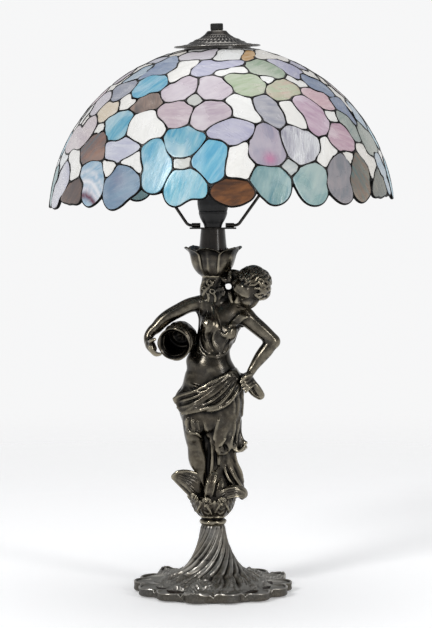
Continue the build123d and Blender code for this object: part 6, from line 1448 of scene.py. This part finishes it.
    ("white", "ground", 11.2, 19.4, (17.2, 18.7, 24.2, 28.9, 25.2, 21, 20.6, 21.1, 20.3, 16.9, 14.9, 14.3, 15.5, 18.5, 25.1, 26.3, 24, 20.3, 20.4, 20.1, 19.1, 17.2, 15.4, 14.9)),
    ("amber", "amber", 30.5, 20.3, (9.8, 11.4, 15.6, 21.4, 21.5, 16, 10.4, 8.7, 7.6, 6.9, 6.4, 7.6, 9.8, 12.2, 18.1, 23, 21.8, 16.7, 9.8, 8.3, 8.3, 8.9, 8.9, 9.1)),
    ("white", "ground", 54.3, 21.1, (25.3, 15.3, 21.3, 28.2, 30, 24.9, 20.8, 18.1, 17, 16.8, 17.9, 20.4, 28.6, 28.9, 21.6, 16.4, 14.6, 13.1, 12.3, 20.2, 23.5, 24.3, 27.2, 27.8)),
    ("lilac", "lavender", 50.0, 30.9, (20.2, 20, 19.5, 17.8, 19, 22.3, 22.2, 23.9, 26, 24.4, 18, 16.1, 15.2, 14.2, 17.4, 21.2, 24, 25.9, 21.7, 17.8, 16.4, 17.6, 21.1, 20.6)),
    ("white", "ground", 44.2, 39.1, (12.8, 10.6, 5.7, 3.4, 4.5, 6.8, 9.4, 14.1, 14.2, 13.6, 13.9, 12.9, 9.6, 8.2, 7.8, 7.8, 9.2, 11.1, 10.6, 10.6, 11.5, 14.3, 14.8, 13.7)),
    ("rose", "rose", 49.8, 47.0, (19.1, 21.4, 19.5, 15.2, 13.8, 14.1, 16.9, 18.6, 21.2, 23.9, 24.2, 21.6, 17.6, 15.2, 14.6, 14.9, 16, 17.7, 18.3, 19.6, 21.7, 23, 21.6, 19.2)),
    ("ice", "greyblue", 63.5, 51.4, (12.8, 15.4, 19, 20.1, 19.9, 18, 17.6, 18.1, 19.2, 20.7, 20.2, 18.7, 17.8, 15.7, 13.3, 12.5, 12, 13.5, 24, 25.6, 14.8, 11, 10.8, 11.1)),
    ("green", "sage", 58.5, 58.4, (14.7, 13.8, 14.1, 16.4, 16.8, 17.2, 19.4, 21.9, 22.2, 20.7, 18.6, 15.4, 10.9, 10.2, 10.3, 12, 16, 20.5, 22, 23.3, 21.8, 17.2, 15.5, 15.6)),
    ("ice", "paleblue", -58.2, 32.3, (16.2, 15.6, 13.7, 17.6, 19.2, 19, 18.8, 19, 18.3, 13.8, 11.9, 11.8, 12.3, 13.3, 14.4, 21.7, 21, 16.6, 15, 13.7, 13.7, 14.7, 14.7, 15.2)),
]
PETALS = [
    ("ice", "paleblue", 76.0, 54.1, 21, 16, 74, 0), ("blue", "azure", 82.3, 77.2, 25, 15.2, 90, 0),
    ("rose", "rose", 92.0, 77.6, 24, 15.8, 90, 0), ("teal", "teal", -78.4, 77.0, 25, 15.0, 90, 0),
    ("blue", "sky", 82.6, 62.6, 17, 18.5, 90, 0), ("blue", "azure", -83.6, 62.6, 17.5, 18.5, 90, 0),
    ("blue", "sky", 90.2, 53.6, 18.5, 16.5, 0, 0), ("centre", "c", 89.6, 62.3, 8.5, 8, 0, 2), ("pink", "pink", 83.0, 42.6, 17.5, 17, 0, 0),
    ("rose", "rose", -82.5, 43.2, 17.5, 17, 0, 0), ("pink", "pink", 85.0, 33.2, 16, 15.5, 0, 0),
    ("pink", "pink", -78.0, 33.6, 16, 15.5, 0, 0), ("centre", "c", -88.0, 38.2, 8, 7, 0, 2),
    ("lilac", "lavender", 66.5, 28.5, 18, 13, -30, 0), ("green", "sage", 92.5, 24.2, 18, 12.5, 5, 0),
    ("lilac", "lilac", -64.0, 22.3, 17, 10.5, 5, 0), ("ice", "greyblue", 86.0, 17.2, 11, 8, 0, 0),
]
GROUND = [
    (-89.6, 47.4), (-83.2, 49.6), (-86.1, 29.3), (83.1, 56.2), (83.2, 49.1), (74.6, 38.1), (-75.1, 51.8), (69.5, 34.8), (77.5, 69.4),
    (50.1, 14.6), (-83.3, 70.0), (72.4, 44.1), (-69.0, 52.4), (-74.0, 69.4), (87.4, 69.4), (-67.8, 38.6), (-79.9, 51.3), (-81.1, 55.1),
    (-29.6, 14.6), (-63.0, 14.6), (-45.9, 17.7), (-75.3, 27.6), (-74.2, 17.2),
]

FLIP = np.array([-1.0, -1.0, 1.0])


def dome_frame(turn, polar):
    t, f = math.radians(turn), math.radians(polar)
    p = np.array([math.sin(f) * math.sin(t), -math.sin(f) * math.cos(t), math.cos(f)])
    e1 = np.array([math.cos(t), math.sin(t), 0.0])
    e2 = np.array([-math.cos(f) * math.sin(t), math.cos(f) * math.cos(t), math.sin(f)])
    return p, e1, e2


def layout():
    rows = []
    centres = [dome_frame(r[2], r[3])[0] for r in PETALS if r[7] == 2]
    for _, _, turn, polar, a, b, rot, kind in PETALS:
        p, e1, e2 = dome_frame(turn, polar)
        r = math.radians(rot)
        u = math.cos(r) * e1 + math.sin(r) * e2
        v = -math.sin(r) * e1 + math.cos(r) * e2
        w = np.zeros(3)
        if kind == 0:
            d = [math.acos(max(-1.0, min(1.0, float(c @ p)))) * SHADE_R for c in centres]
            j = int(np.argmin(d))
            if d[j] < 42:                       # a petal is wider away from its flower's centre
                w = p * (centres[j] @ p) - centres[j]
                w = w - (w @ p) * p
                w = w / np.linalg.norm(w)
        rows.append((p, u, v, a, b, kind, w))
    full = rows + [(p * FLIP, u * FLIP, v * FLIP, a, b, kind, w * FLIP) for p, u, v, a, b, kind, w in rows]
    seeds = [dome_frame(t, f)[0] for t, f in GROUND]
    return full, np.array(seeds + [s * FLIP for s in seeds])


def pane_rows(rays):
    """The traced panes and their copies on the far half, with radii along the given number of rays."""
    al = np.arange(rays) / rays * 24
    out = []
    for group, colour, turn, polar, radii in PANES:
        p, u, v = dome_frame(turn, polar)
        r = np.interp(al, np.arange(25), list(radii) + [radii[0]])
        r = 0.25 * np.roll(r, 1) + 0.5 * r + 0.25 * np.roll(r, -1)
        out.append(((group, colour), p, u, v, r))
        out.append(((group, colour), p * FLIP, u * FLIP, v * FLIP, r.copy()))
    return out


def field(q, row, grow=1.0):
    p, u, v, a, b, kind, w = row
    a, b = a * grow, b * grow
    d = np.clip(q @ p, -1, 1)
    t = q - d[:, None] * p
    t = t / (np.linalg.norm(t, axis=1) + 1e-12)[:, None] * (np.arccos(d) * SHADE_R)[:, None]
    if np.any(w):
        side = np.cross(p, w)
        s, c = t @ w, t @ side
        c = c / (1 + 0.20 * np.clip(s / (0.5 * (a + b)), -1, 1))
        t = s[:, None] * w + c[:, None] * side
    x, y = np.abs(t @ u) / a, np.abs(t @ v) / b
    if kind == 1:
        return 1 - x ** 2 - y
    return 1 - x ** 2.3 - y ** 2.3


def label(q, full, seeds, near, panes):
    n = len(q)
    best, second, lab = np.full(n, -9.0), np.full(n, -9.0), np.full(n, -1)
    cbest, clab = np.full(n, -9.0), np.full(n, -1)
    for i in near:
        if full[i][5] == 2:
            m = field(q, full[i], 0.8) > 0
            best[m] = 9.0
            lab[m] = i
            f = field(q, full[i], 1.75)
            m = f > cbest
            cbest[m] = f[m]
            clab[m] = i
            continue
        f = field(q, full[i])
        m = f > best
        second = np.where(m, best, np.maximum(second, f))
        best = np.where(m, f, best)
        lab[m] = i
    polar = np.degrees(np.arccos(np.clip(q[:, 2], -1, 1)))
    inside = best > 0
    centre = ~inside & (cbest > 0)
    slit = ~inside & ~centre & (best > -0.30) & (second > -0.30)
    ground = (q @ seeds.T).argmax(1)
    out = np.where(inside, lab, np.where(centre, clab, np.where(slit, lab, np.where(polar < PHI_GROUND,
                                                                                   len(full) + ground, -1))))
    out[polar < PHI_TOP] = -1
    for _, p, u, v, r in panes:
        s = np.arccos(np.clip(q @ p, -1, 1)) * SHADE_R
        k = np.rint(np.arctan2(q @ v, q @ u) / (2 * np.pi) * len(r)).astype(int) % len(r)
        out[s < r[k]] = -1
    return out


def outlines(rays):
    """Star-shaped outline of every piece: pole direction, two tangents, and radii along the rays."""
    full, seeds = layout()
    nf, half = len(full), len(full) // 2
    poles = np.array([r[0] for r in full])
    panes = pane_rows(rays)
    steps = np.arange(0.6, 62.0, 0.6)
    pieces = list(panes)
    for i in list(range(half)) + [nf + g for g in range(len(GROUND))]:
        if i < nf:
            p, u, v = full[i][:3]
            colour, reach = PETALS[i][:2], min(62.0, 2.6 * max(full[i][3], full[i][4]) + 4)
        else:
            p = seeds[i - nf]
            u = np.array([-p[1], p[0], 0.0])
            u = u / np.linalg.norm(u)
            v = np.cross(p, u)
            colour, reach = ("white", "ground"), 62.0
        dist = np.arccos(np.clip(poles @ p, -1, 1)) * SHADE_R
        near = [j for j in range(nf) if dist[j] < max(full[j][3], full[j][4]) * 1.3 + reach + 6]
        al = np.arange(rays) * 2 * np.pi / rays
        s = steps[steps <= reach]
        dirs = np.cos(al)[:, None] * u + np.sin(al)[:, None] * v
        q = (np.cos(s / SHADE_R)[None, :, None] * p + np.sin(s / SHADE_R)[None, :, None] * dirs[:, None, :]).reshape(-1, 3)
        close = [w for w in panes if math.acos(max(-1.0, min(1.0, float(w[1] @ p)))) * SHADE_R < reach + w[4].max()]
        bad = label(q, full, seeds, near, close).reshape(rays, len(s)) != i
        first = np.where(bad.any(1), bad.argmax(1), len(s) - 1)
        r = np.maximum(s[first] - 0.3, 0.3)
        if r.mean() < 4:
            continue
        for _ in range(2):
            r = 0.25 * np.roll(r, 1) + 0.5 * r + 0.25 * np.roll(r, -1)
        pieces.append((colour, p, u, v, r))
        pieces.append((colour, p * FLIP, u * FLIP, v * FLIP, r.copy()))
    return pieces


def shrink(r, inset):
    """Radii of the outline moved inwards by the inset."""
    k = len(r)
    slope = (np.roll(r, -1) - np.roll(r, 1)) / (4 * np.pi / k) / r
    return np.maximum(r - inset * np.minimum(np.sqrt(1 + slope ** 2), 2.4), 0.25 * r)


# each glass: main colour, wisps, and the pale or dark streaks (screen values)
GLASS = {
    "pearl": ((222, 220, 226), (206, 206, 218), (238, 237, 240)), "blush": ((228, 220, 222), (217, 208, 214), (240, 236, 238)),
    "cream": ((230, 224, 210), (220, 210, 192), (240, 237, 230)), "umber": ((112, 92, 84), (136, 108, 92), (92, 82, 80)),
    "leaf": ((84, 58, 44), (122, 82, 54), (58, 44, 38)), "rust": ((142, 114, 107), (120, 117, 121), (170, 141, 130)),
    "taupe": ((164, 142, 130), (134, 121, 115), (190, 172, 160)), "steel": ((112, 142, 168), (126, 148, 172), (176, 196, 210)),
    "stripe": ((146, 182, 208), (176, 200, 216), (222, 226, 232)), "c": ((200, 202, 196), (184, 190, 188), (220, 220, 214)),
    "sky": ((148, 200, 216), (108, 178, 206), (204, 228, 235)), "sky2": ((160, 208, 219), (120, 190, 211), (212, 232, 236)), "azure": ((102, 175, 206), (128, 192, 214), (184, 218, 230)),
    "lilac": ((221, 220, 228), (206, 205, 219), (238, 237, 241)), "greylilac": ((184, 186, 195), (166, 170, 184), (209, 210, 216)),
    "pink": ((210, 196, 203), (198, 182, 193), (230, 222, 226)), "greyblue": ((162, 172, 192), (142, 156, 182), (196, 204, 216)),
    "paleblue": ((196, 210, 222), (174, 196, 214), (222, 230, 236)), "lavender": ((198, 197, 214), (181, 181, 206), (219, 218, 230)),
    "mauve": ((178, 168, 183), (162, 158, 176), (202, 193, 202)), "iris": ((244, 242, 243), (200, 197, 205), (252, 252, 252)),
    "teal": ((138, 170, 168), (108, 150, 156), (172, 196, 192)), "teal2": ((154, 184, 180), (130, 166, 168), (190, 206, 200)),
    "greymauve": ((158, 154, 158), (136, 140, 146), (182, 172, 174)),
    "brown": ((140, 118, 106), (112, 124, 122), (176, 152, 134)), "olive": ((134, 132, 120), (114, 120, 116), (168, 162, 146)),
    "sage": ((182, 188, 182), (164, 176, 172), (206, 210, 204)), "rose": ((225, 199, 207), (209, 177, 191), (240, 225, 229)),
    "green": ((190, 200, 179), (168, 186, 160), (217, 219, 204)), "green2": ((198, 204, 177), (177, 191, 154), (226, 213, 201)), "green3": ((197, 202, 175), (206, 184, 166), (178, 192, 157)),
    "amber": ((224, 192, 148), (208, 168, 116), (236, 218, 190)),
    "ground": ((246, 245, 241), (240, 239, 235), (250, 249, 247)),
}
GLASS_KEEP = 0.88          # share of the shown brightness that the sheet itself has
RINGS = np.array([0.0, 0.22, 0.44, 0.64, 0.80, 0.91, 0.97, 1.0])


def to_lamp(p):
    """Points on the dome (centre at the origin) to the lamp's frame."""
    return (p + np.array([0, 0, -SHADE_DROP])) @ TURN.T + SEAT


def on_dome(p, u, v, ang, dist, level):
    d = np.cos(ang)[..., None] * u + np.sin(ang)[..., None] * v
    return (np.cos(dist / SHADE_R)[..., None] * p + np.sin(dist / SHADE_R)[..., None] * d) * level[..., None]


def edge_of(r, inset=GLASS_INSET):
    rr = shrink(r, inset)
    k = len(rr)
    slope = (np.roll(rr, -1) - np.roll(rr, 1)) / (4 * math.pi / k) / rr
    return rr, 1 / np.sqrt(1 + slope ** 2)


def seam_distance(q, edges, near):
    """Distance of dome directions q from the nearest glass edge, positive in the seams."""
    g = np.full(len(q), 9.0)
    for p, u, v, rr, cs in (edges[i] for i in near):
        s = np.arccos(np.clip(q @ p, -1, 1)) * SHADE_R
        a = (np.arctan2(q @ v, q @ u) / (2 * math.pi) * len(rr)) % len(rr)
        i = a.astype(int) % len(rr)
        j, t = (i + 1) % len(rr), a - np.floor(a)
        g = np.minimum(g, (s - (rr[i] * (1 - t) + rr[j] * t)) * np.minimum(cs[i], cs[j]))
    return g


def swell(pieces):
    """Grows every outline to the middle of the gap that it leaves to its neighbours, so that the seams run even."""
    al = np.arange(60) * 2 * math.pi / 60
    edges = [(p, u, v) + edge_of(r, 0.0) for _, p, u, v, r in pieces]
    poles = np.array([e[0] for e in edges])
    out = []
    for i, (name, p, u, v, r) in enumerate(pieces):
        near = [j for j in np.where(np.arccos(np.clip(poles @ p, -1, 1)) * SHADE_R < r.max() + 66)[0] if j != i]
        rr, cs = edges[i][3:]
        grow, free = np.zeros(60), np.ones(60, bool)
        for d in np.arange(0.3, 5.0, 0.3):
            q = on_dome(p, u, v, al, rr + d, np.ones(60))
            low = np.degrees(np.arccos(np.clip(q[:, 2], -1, 1)))
            free &= (seam_distance(q, edges, near) > 0.8 * d * cs) & (low < PHI_GROUND - 1.5) & (low > PHI_TOP + 0.4)
            grow[free] = d
        reach = np.minimum(grow, 0.25 + np.minimum(np.roll(grow, 1), np.roll(grow, -1)) + 0.9)
        new = rr + reach
        out.append((name, p, u, v, 0.15 * np.roll(new, 1) + 0.70 * new + 0.15 * np.roll(new, -1)))
    return out


def shade_glass():
    pieces = swell(outlines(60))
    rng = np.random.default_rng(7)
    al = np.arange(60) * 2 * math.pi / 60
    kinds = {}
    for n, ((group, fine), p, u, v, r) in enumerate(pieces):
        rr, _ = edge_of(r)
        f = np.concatenate([RINGS[1:], RINGS[:0:-1]])
        side = np.concatenate([np.full(len(RINGS) - 1, 1.0), np.full(len(RINGS) - 1, -1.0)])
        bevel = np.interp(f, [0, 0.91, 0.97, 1.0], [1, 1, 0.98, 0.88])
        mean = float(np.mean(r ** 2)) ** 0.5
        dist = f[:, None] * rr[None, :]
        ang = np.broadcast_to(al, dist.shape)
        # a nearly flat cut of sheet glass, a little proud or shy of its neighbours
        flat = 0.55 * (dist ** 2 - (0.70 * mean) ** 2) / (2 * SHADE_R) + rng.uniform(-0.15, 0.15)
        level = SHADE_R + flat + (side * bevel)[:, None] * GLASS_T / 2
        body = on_dome(p, u, v, ang, dist, level)
        c0 = -0.55 * (0.70 * mean) ** 2 / (2 * SHADE_R)
        top = (SHADE_R + c0 + GLASS_T / 2) * p
        low = (SHADE_R + c0 - GLASS_T / 2) * p
        pts = np.concatenate([body.reshape(-1, 3), [top], [low]])
        m = len(f)
        q = grid_faces(m, 60, wrap_v=True)
        i, j = np.arange(60), (np.arange(60) + 1) % 60
        t1 = np.stack([i, np.full(60, m * 60), j], -1)[:, [0, 2, 1]]
        t2 = np.stack([(m - 1) * 60 + i, (m - 1) * 60 + j, np.full(60, m * 60 + 1)], -1)[:, [0, 2, 1]]
        k = kinds.setdefault(group, dict(v=[], q=[], t=[], a=[], b=[], c=[], g=[], n=0))
        k["v"].append(to_lamp(pts))
        k["q"].append(q + k["n"])
        k["t"] += [t1 + k["n"], t2 + k["n"]]
        k["n"] += len(pts)
        wob = rng.normal(0, 1, 3)
        x, y = pts @ u, pts @ v
        first = np.array(GLASS[fine][0], float)
        for key, col, gain in zip("abc", GLASS[fine], (1.0, 1.5, 1.3)):
            shade = np.clip(first + gain * (np.array(col) - first) + 2.5 * wob[0] + np.array([2, 0, -2]) * wob[1], 0, 252)
            c4 = np.tile(srgb(*shade), (len(pts), 1))
            if fine == "mauve":                          # a pink spot low in the pane
                w = 0.6 * np.exp(-((x - 1) ** 2 + (y + 15) ** 2) / 50.0)[:, None]
                c4 = c4 * (1 - w) + w * np.array(srgb(214, 112, 160))
            if fine == "stripe":                         # white and maroon bands across the blue
                d = 0.42 * x + 0.9 * y + 0.02 * x * x
                for mid, wide, rgb in ((-1.0, 3.4, (240, 240, 244)), (-9.0, 2.6, (232, 230, 238)), (-15.5, 3.6, (112, 56, 78)), (9.5, 2.2, (222, 228, 236))):
                    w = np.exp(-((d - mid) / wide) ** 2)[:, None]
                    c4 = c4 * (1 - w) + w * np.array(srgb(*rgb))
            if fine == "steel":                          # rosy haze
                w = 0.28 * np.exp(-((x + 3) ** 2 + (y - 9) ** 2) / 90.0)[:, None]
                c4 = c4 * (1 - w) + w * np.array(srgb(176, 156, 172))
            c4[:, :3] *= 0.95 if fine == "ground" else GLASS_KEEP
            k[key].append(c4)
        turn = rng.uniform(0, math.pi) if fine == "ground" else rng.normal(0.0, 0.45)
        turn = {"steel": 0.5, "stripe": 0.4, "brown": 2.2, "olive": 2.0, "greymauve": 1.45, "teal": 1.3, "teal2": 0.9, "sky": 1.3, "sky2": 1.2, "azure": 0.9,
                "leaf": 0.1, "iris": 1.5, "mauve": 1.5, "umber": 0.8, "rust": 1.0}.get(fine, turn) + rng.normal(0, 0.12)
        gu, gv = math.cos(turn) * u + math.sin(turn) * v, -math.sin(turn) * u + math.cos(turn) * v
        k["g"].append(np.stack([pts @ gu, pts @ gv, np.zeros(len(pts))], -1) * MM + rng.uniform(-3, 3, 3))
    mats = {}
    for group, k in kinds.items():
        ripple = 0.8 if group == "ripple" else 0.0
        mats[group] = stained_glass("glass_" + group, ripple=ripple)
        ob = make_object("panes_" + group, np.concatenate(k["v"]), [np.concatenate(k["q"]), np.concatenate(k["t"])])
        sharpen(ob, 40)
        for key in "abc":
            point_values(ob, "glass_" + key, np.concatenate(k[key]))
        point_values(ob, "grain", np.concatenate(k["g"]))
        fit(ob, "shade", "glass_" + group, mats[group], "glass_" + group)
    shade_solder(pieces)


def shade_solder(pieces):
    """Beads of solder over the foil, following every glass edge and running together in the seams."""
    al = np.arange(60) * 2 * math.pi / 60
    edges = [(p, u, v) + edge_of(r) for _, p, u, v, r in pieces]
    poles = np.array([e[0] for e in edges])
    off = np.array([-0.60, -0.38, -0.13, 0.15, 0.5, 0.9, 1.4, 2.0, 2.8, 3.8])
    quads = grid_faces(2 * len(off), 60, wrap_u=True, wrap_v=True)
    parts = [dict(v=[], q=[], h=[], n=0) for _ in range(4)]
    for i, (p, u, v, rr, cs) in enumerate(edges):
        near = np.where(np.arccos(np.clip(poles @ p, -1, 1)) * SHADE_R < rr.max() + 66)[0]
        others = [j for j in near if j != i]
        ang = np.broadcast_to(al, (len(off), 60))
        probe = on_dome(p, u, v, al, rr + 1.2 / np.maximum(cs, 0.45), np.ones(60))
        open_side = np.clip((seam_distance(probe, edges, others) - 2.2) / 1.6, 0, 1)
        for _ in range(2):
            open_side = open_side * 0.5 + 0.25 * (np.roll(open_side, 1) + np.roll(open_side, -1))
        reach = off[:, None] * (1 - open_side) + np.minimum(off, 1.9)[:, None] * open_side
        dist = np.maximum(rr[None, :] + reach / np.maximum(cs, 0.45), 0.1)
        q = on_dome(p, u, v, ang, dist, np.ones(dist.shape))
        g = seam_distance(q.reshape(-1, 3), edges, near).reshape(dist.shape)
        lump = noise3((q * SHADE_R).reshape(-1, 3), 21, 6.0).reshape(dist.shape)
        c = np.clip((g + 0.55) / (1.85 + 0.2 * lump), 0, 1)
        h = (2.15 + 0.20 * lump) * np.sqrt(c * (2 - c))
        bead = np.interp(off, [-0.60, -0.38, -0.13, 0.15, 0.5, 0.9, 1.4, 1.9], [0, 0.75, 1.25, 1.65, 1.9, 1.85, 1.45, 0.05])[:, None]
        h = h * (1 - open_side) + bead * open_side
        k = parts[int(((math.atan2(p[1], p[0]) / (2 * math.pi)) % 1) * 4) % 4]
        pts = np.concatenate([q * (SHADE_R + h)[..., None], (q * (SHADE_R - h)[..., None])[::-1]])
        k["v"].append(to_lamp(pts.reshape(-1, 3)))
        k["q"].append(quads + k["n"])
        # tone from bead height: the low foot of each bead is painted dark as patina and painted shade, the crown
        # lighter as rubbed metal
        tone = np.clip(0.22 + 0.46 * (h - 1.35) / 0.9 + 0.10 * lump, 0, 1)
        k["h"].append(np.concatenate([tone, tone[::-1]]).ravel())
        k["n"] += len(pts.reshape(-1, 3))
    for i, k in enumerate(parts):
        ob = make_object("solder_%d" % (i + 1), np.concatenate(k["v"]), np.concatenate(k["q"]))
        point_values(ob, "tone", np.concatenate(k["h"]))
        fit(ob, "shade", "solder", SOLDER, *(("foil_and_solder",) if i == 0 else ()))


# ---------------------------------------------------------------- placing

def statue():
    v, q, tone = figure_body().skin(4)
    ob = make_object("figure_cast", v, q)
    point_values(ob, "tone", tone)
    fit(ob, "root", "antique_bronze", BRONZE, "figure_body", "figure_arm_left", "figure_arm_right", "hip_drape")
    v, q, tone = figure_head().skin()
    v = HEAD + (v - HEAD) * 1.38
    ob = make_object("figure_head_cast", v, q)
    point_values(ob, "tone", tone)
    fit(ob, "root", "antique_bronze", BRONZE, "figure_head")


statue()
jar()
leaf_cup()
stem()
tulip()
collar()
foot()
cap_and_knob()
holder()
shade_glass()

FINISH = {
    FELT: "felt_pad", IRON: "ballast_ring", PLASTIC: "cord_bush lampholder_cap lampholder_body", STEEL: "lamp_pipe pipe_nut pipe_washer terminal_screws",
    BRONZE_PLAIN: "socket_neck", DARK_STEEL: "harp_saddle harp_ferrules harp_arm_left harp_arm_right harp_crown bulb_filament",
    BRASS: "harp_stud stud_nut seat_washer socket_shell centre_contact", CERAMIC: "socket_insert", BULB_METAL: "bulb_cap bulb_contact",
    FROSTED: "bulb_globe", CLEAR: "bulb_stem", CAP_PLAIN: "shade_ring",
}
for mat, names in FINISH.items():
    for name in names.split():
        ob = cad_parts[name]
        ob.data.materials.clear()
        ob.data.materials.append(mat)


# ---------------------------------------------------------------- floor, light and camera

def floor_disc():
    rings, segs = np.concatenate([[0.0], np.geomspace(60, 9000, 40)]), 96
    a = np.arange(segs) * 2 * math.pi / segs
    v = [(0, 0, -0.05)]
    for r in rings[1:]:
        v += [(r * math.cos(t), r * math.sin(t), -0.05) for t in a]
    tri = np.array([(0, 1 + i, 1 + (i + 1) % segs) for i in range(segs)])
    q = grid_faces(len(rings) - 1, segs, wrap_v=True) + 1
    ob = make_object("floor", v, [tri, q])
    p = Paint("pale_floor", Roughness=0.6, Specular_IOR_Level=0.2, Emission_Strength=0.26)
    n = p.noise(3.0, 3)
    p.to("Base Color", p.mix(n, (0.93, 0.93, 0.935, 1), (0.95, 0.95, 0.952, 1)))
    p.bump(p.noise(90, 2), 0.02, 0.0005)
    dist = p.node("VectorMath", operation="LENGTH")
    p.link(p.obj, dist.inputs[0])
    p.to("Alpha", p.ramp(p.math("DIVIDE", dist.outputs["Value"], 4.0), [(0.11, 1.0), (0.46, 0.0)], "EASE"))
    ob.data.materials.append(p.mat)


def area(name, at, to, size, watts, col=(1, 1, 1)):
    from mathutils import Vector
    light = bpy.data.lights.new(name, "AREA")
    light.shape = "RECTANGLE"
    light.size, light.size_y = size
    light.energy = watts
    light.color = col
    ob = bpy.data.objects.new(name, light)
    ob.location = at
    ob.rotation_euler = (Vector(to) - Vector(at)).to_track_quat("-Z", "Y").to_euler()
    bpy.context.scene.collection.objects.link(ob)


floor_disc()
bpy.context.scene.view_settings.view_transform = "Standard"
world = bpy.data.worlds.new("studio")
bpy.context.scene.world = world
world.use_nodes = True
wt = world.node_tree
wt.nodes["Background"].inputs["Strength"].default_value = 0.96
coord, split, ramp = (wt.nodes.new("ShaderNode" + k) for k in ("TexCoord", "SeparateXYZ", "ValToRGB"))
wt.links.new(coord.outputs["Generated"], split.inputs[0])
wt.links.new(split.outputs["Z"], ramp.inputs["Fac"])
wt.links.new(ramp.outputs["Color"], wt.nodes["Background"].inputs["Color"])
ramp.color_ramp.elements[0].position, ramp.color_ramp.elements[0].color = 0.06, (0.965, 0.966, 0.970, 1)
ramp.color_ramp.elements[1].position, ramp.color_ramp.elements[1].color = 0.38, (0.27, 0.275, 0.285, 1)
area("key", (-1.5, -1.9, 1.9), (0, 0, 0.35), (0.42, 0.8), 36)
area("fill", (1.7, -1.7, 1.1), (0, 0, 0.35), (0.3, 1.1), 16)
area("overhead", (0.1, 0.3, 2.4), (0, 0, 0.4), (1.6, 1.6), 18)

cam = bpy.data.cameras.new("camera")
cam.sensor_fit = "VERTICAL"
cam.angle = math.radians(14.2922)
cam.clip_end = 60
eye = bpy.data.objects.new("camera", cam)
eye.location = (0.0035, -2.9, 0.5495)
eye.rotation_euler = (math.pi / 2 - 0.07725, 0, 0)
bpy.context.scene.collection.objects.link(eye)
bpy.context.scene.camera = eye
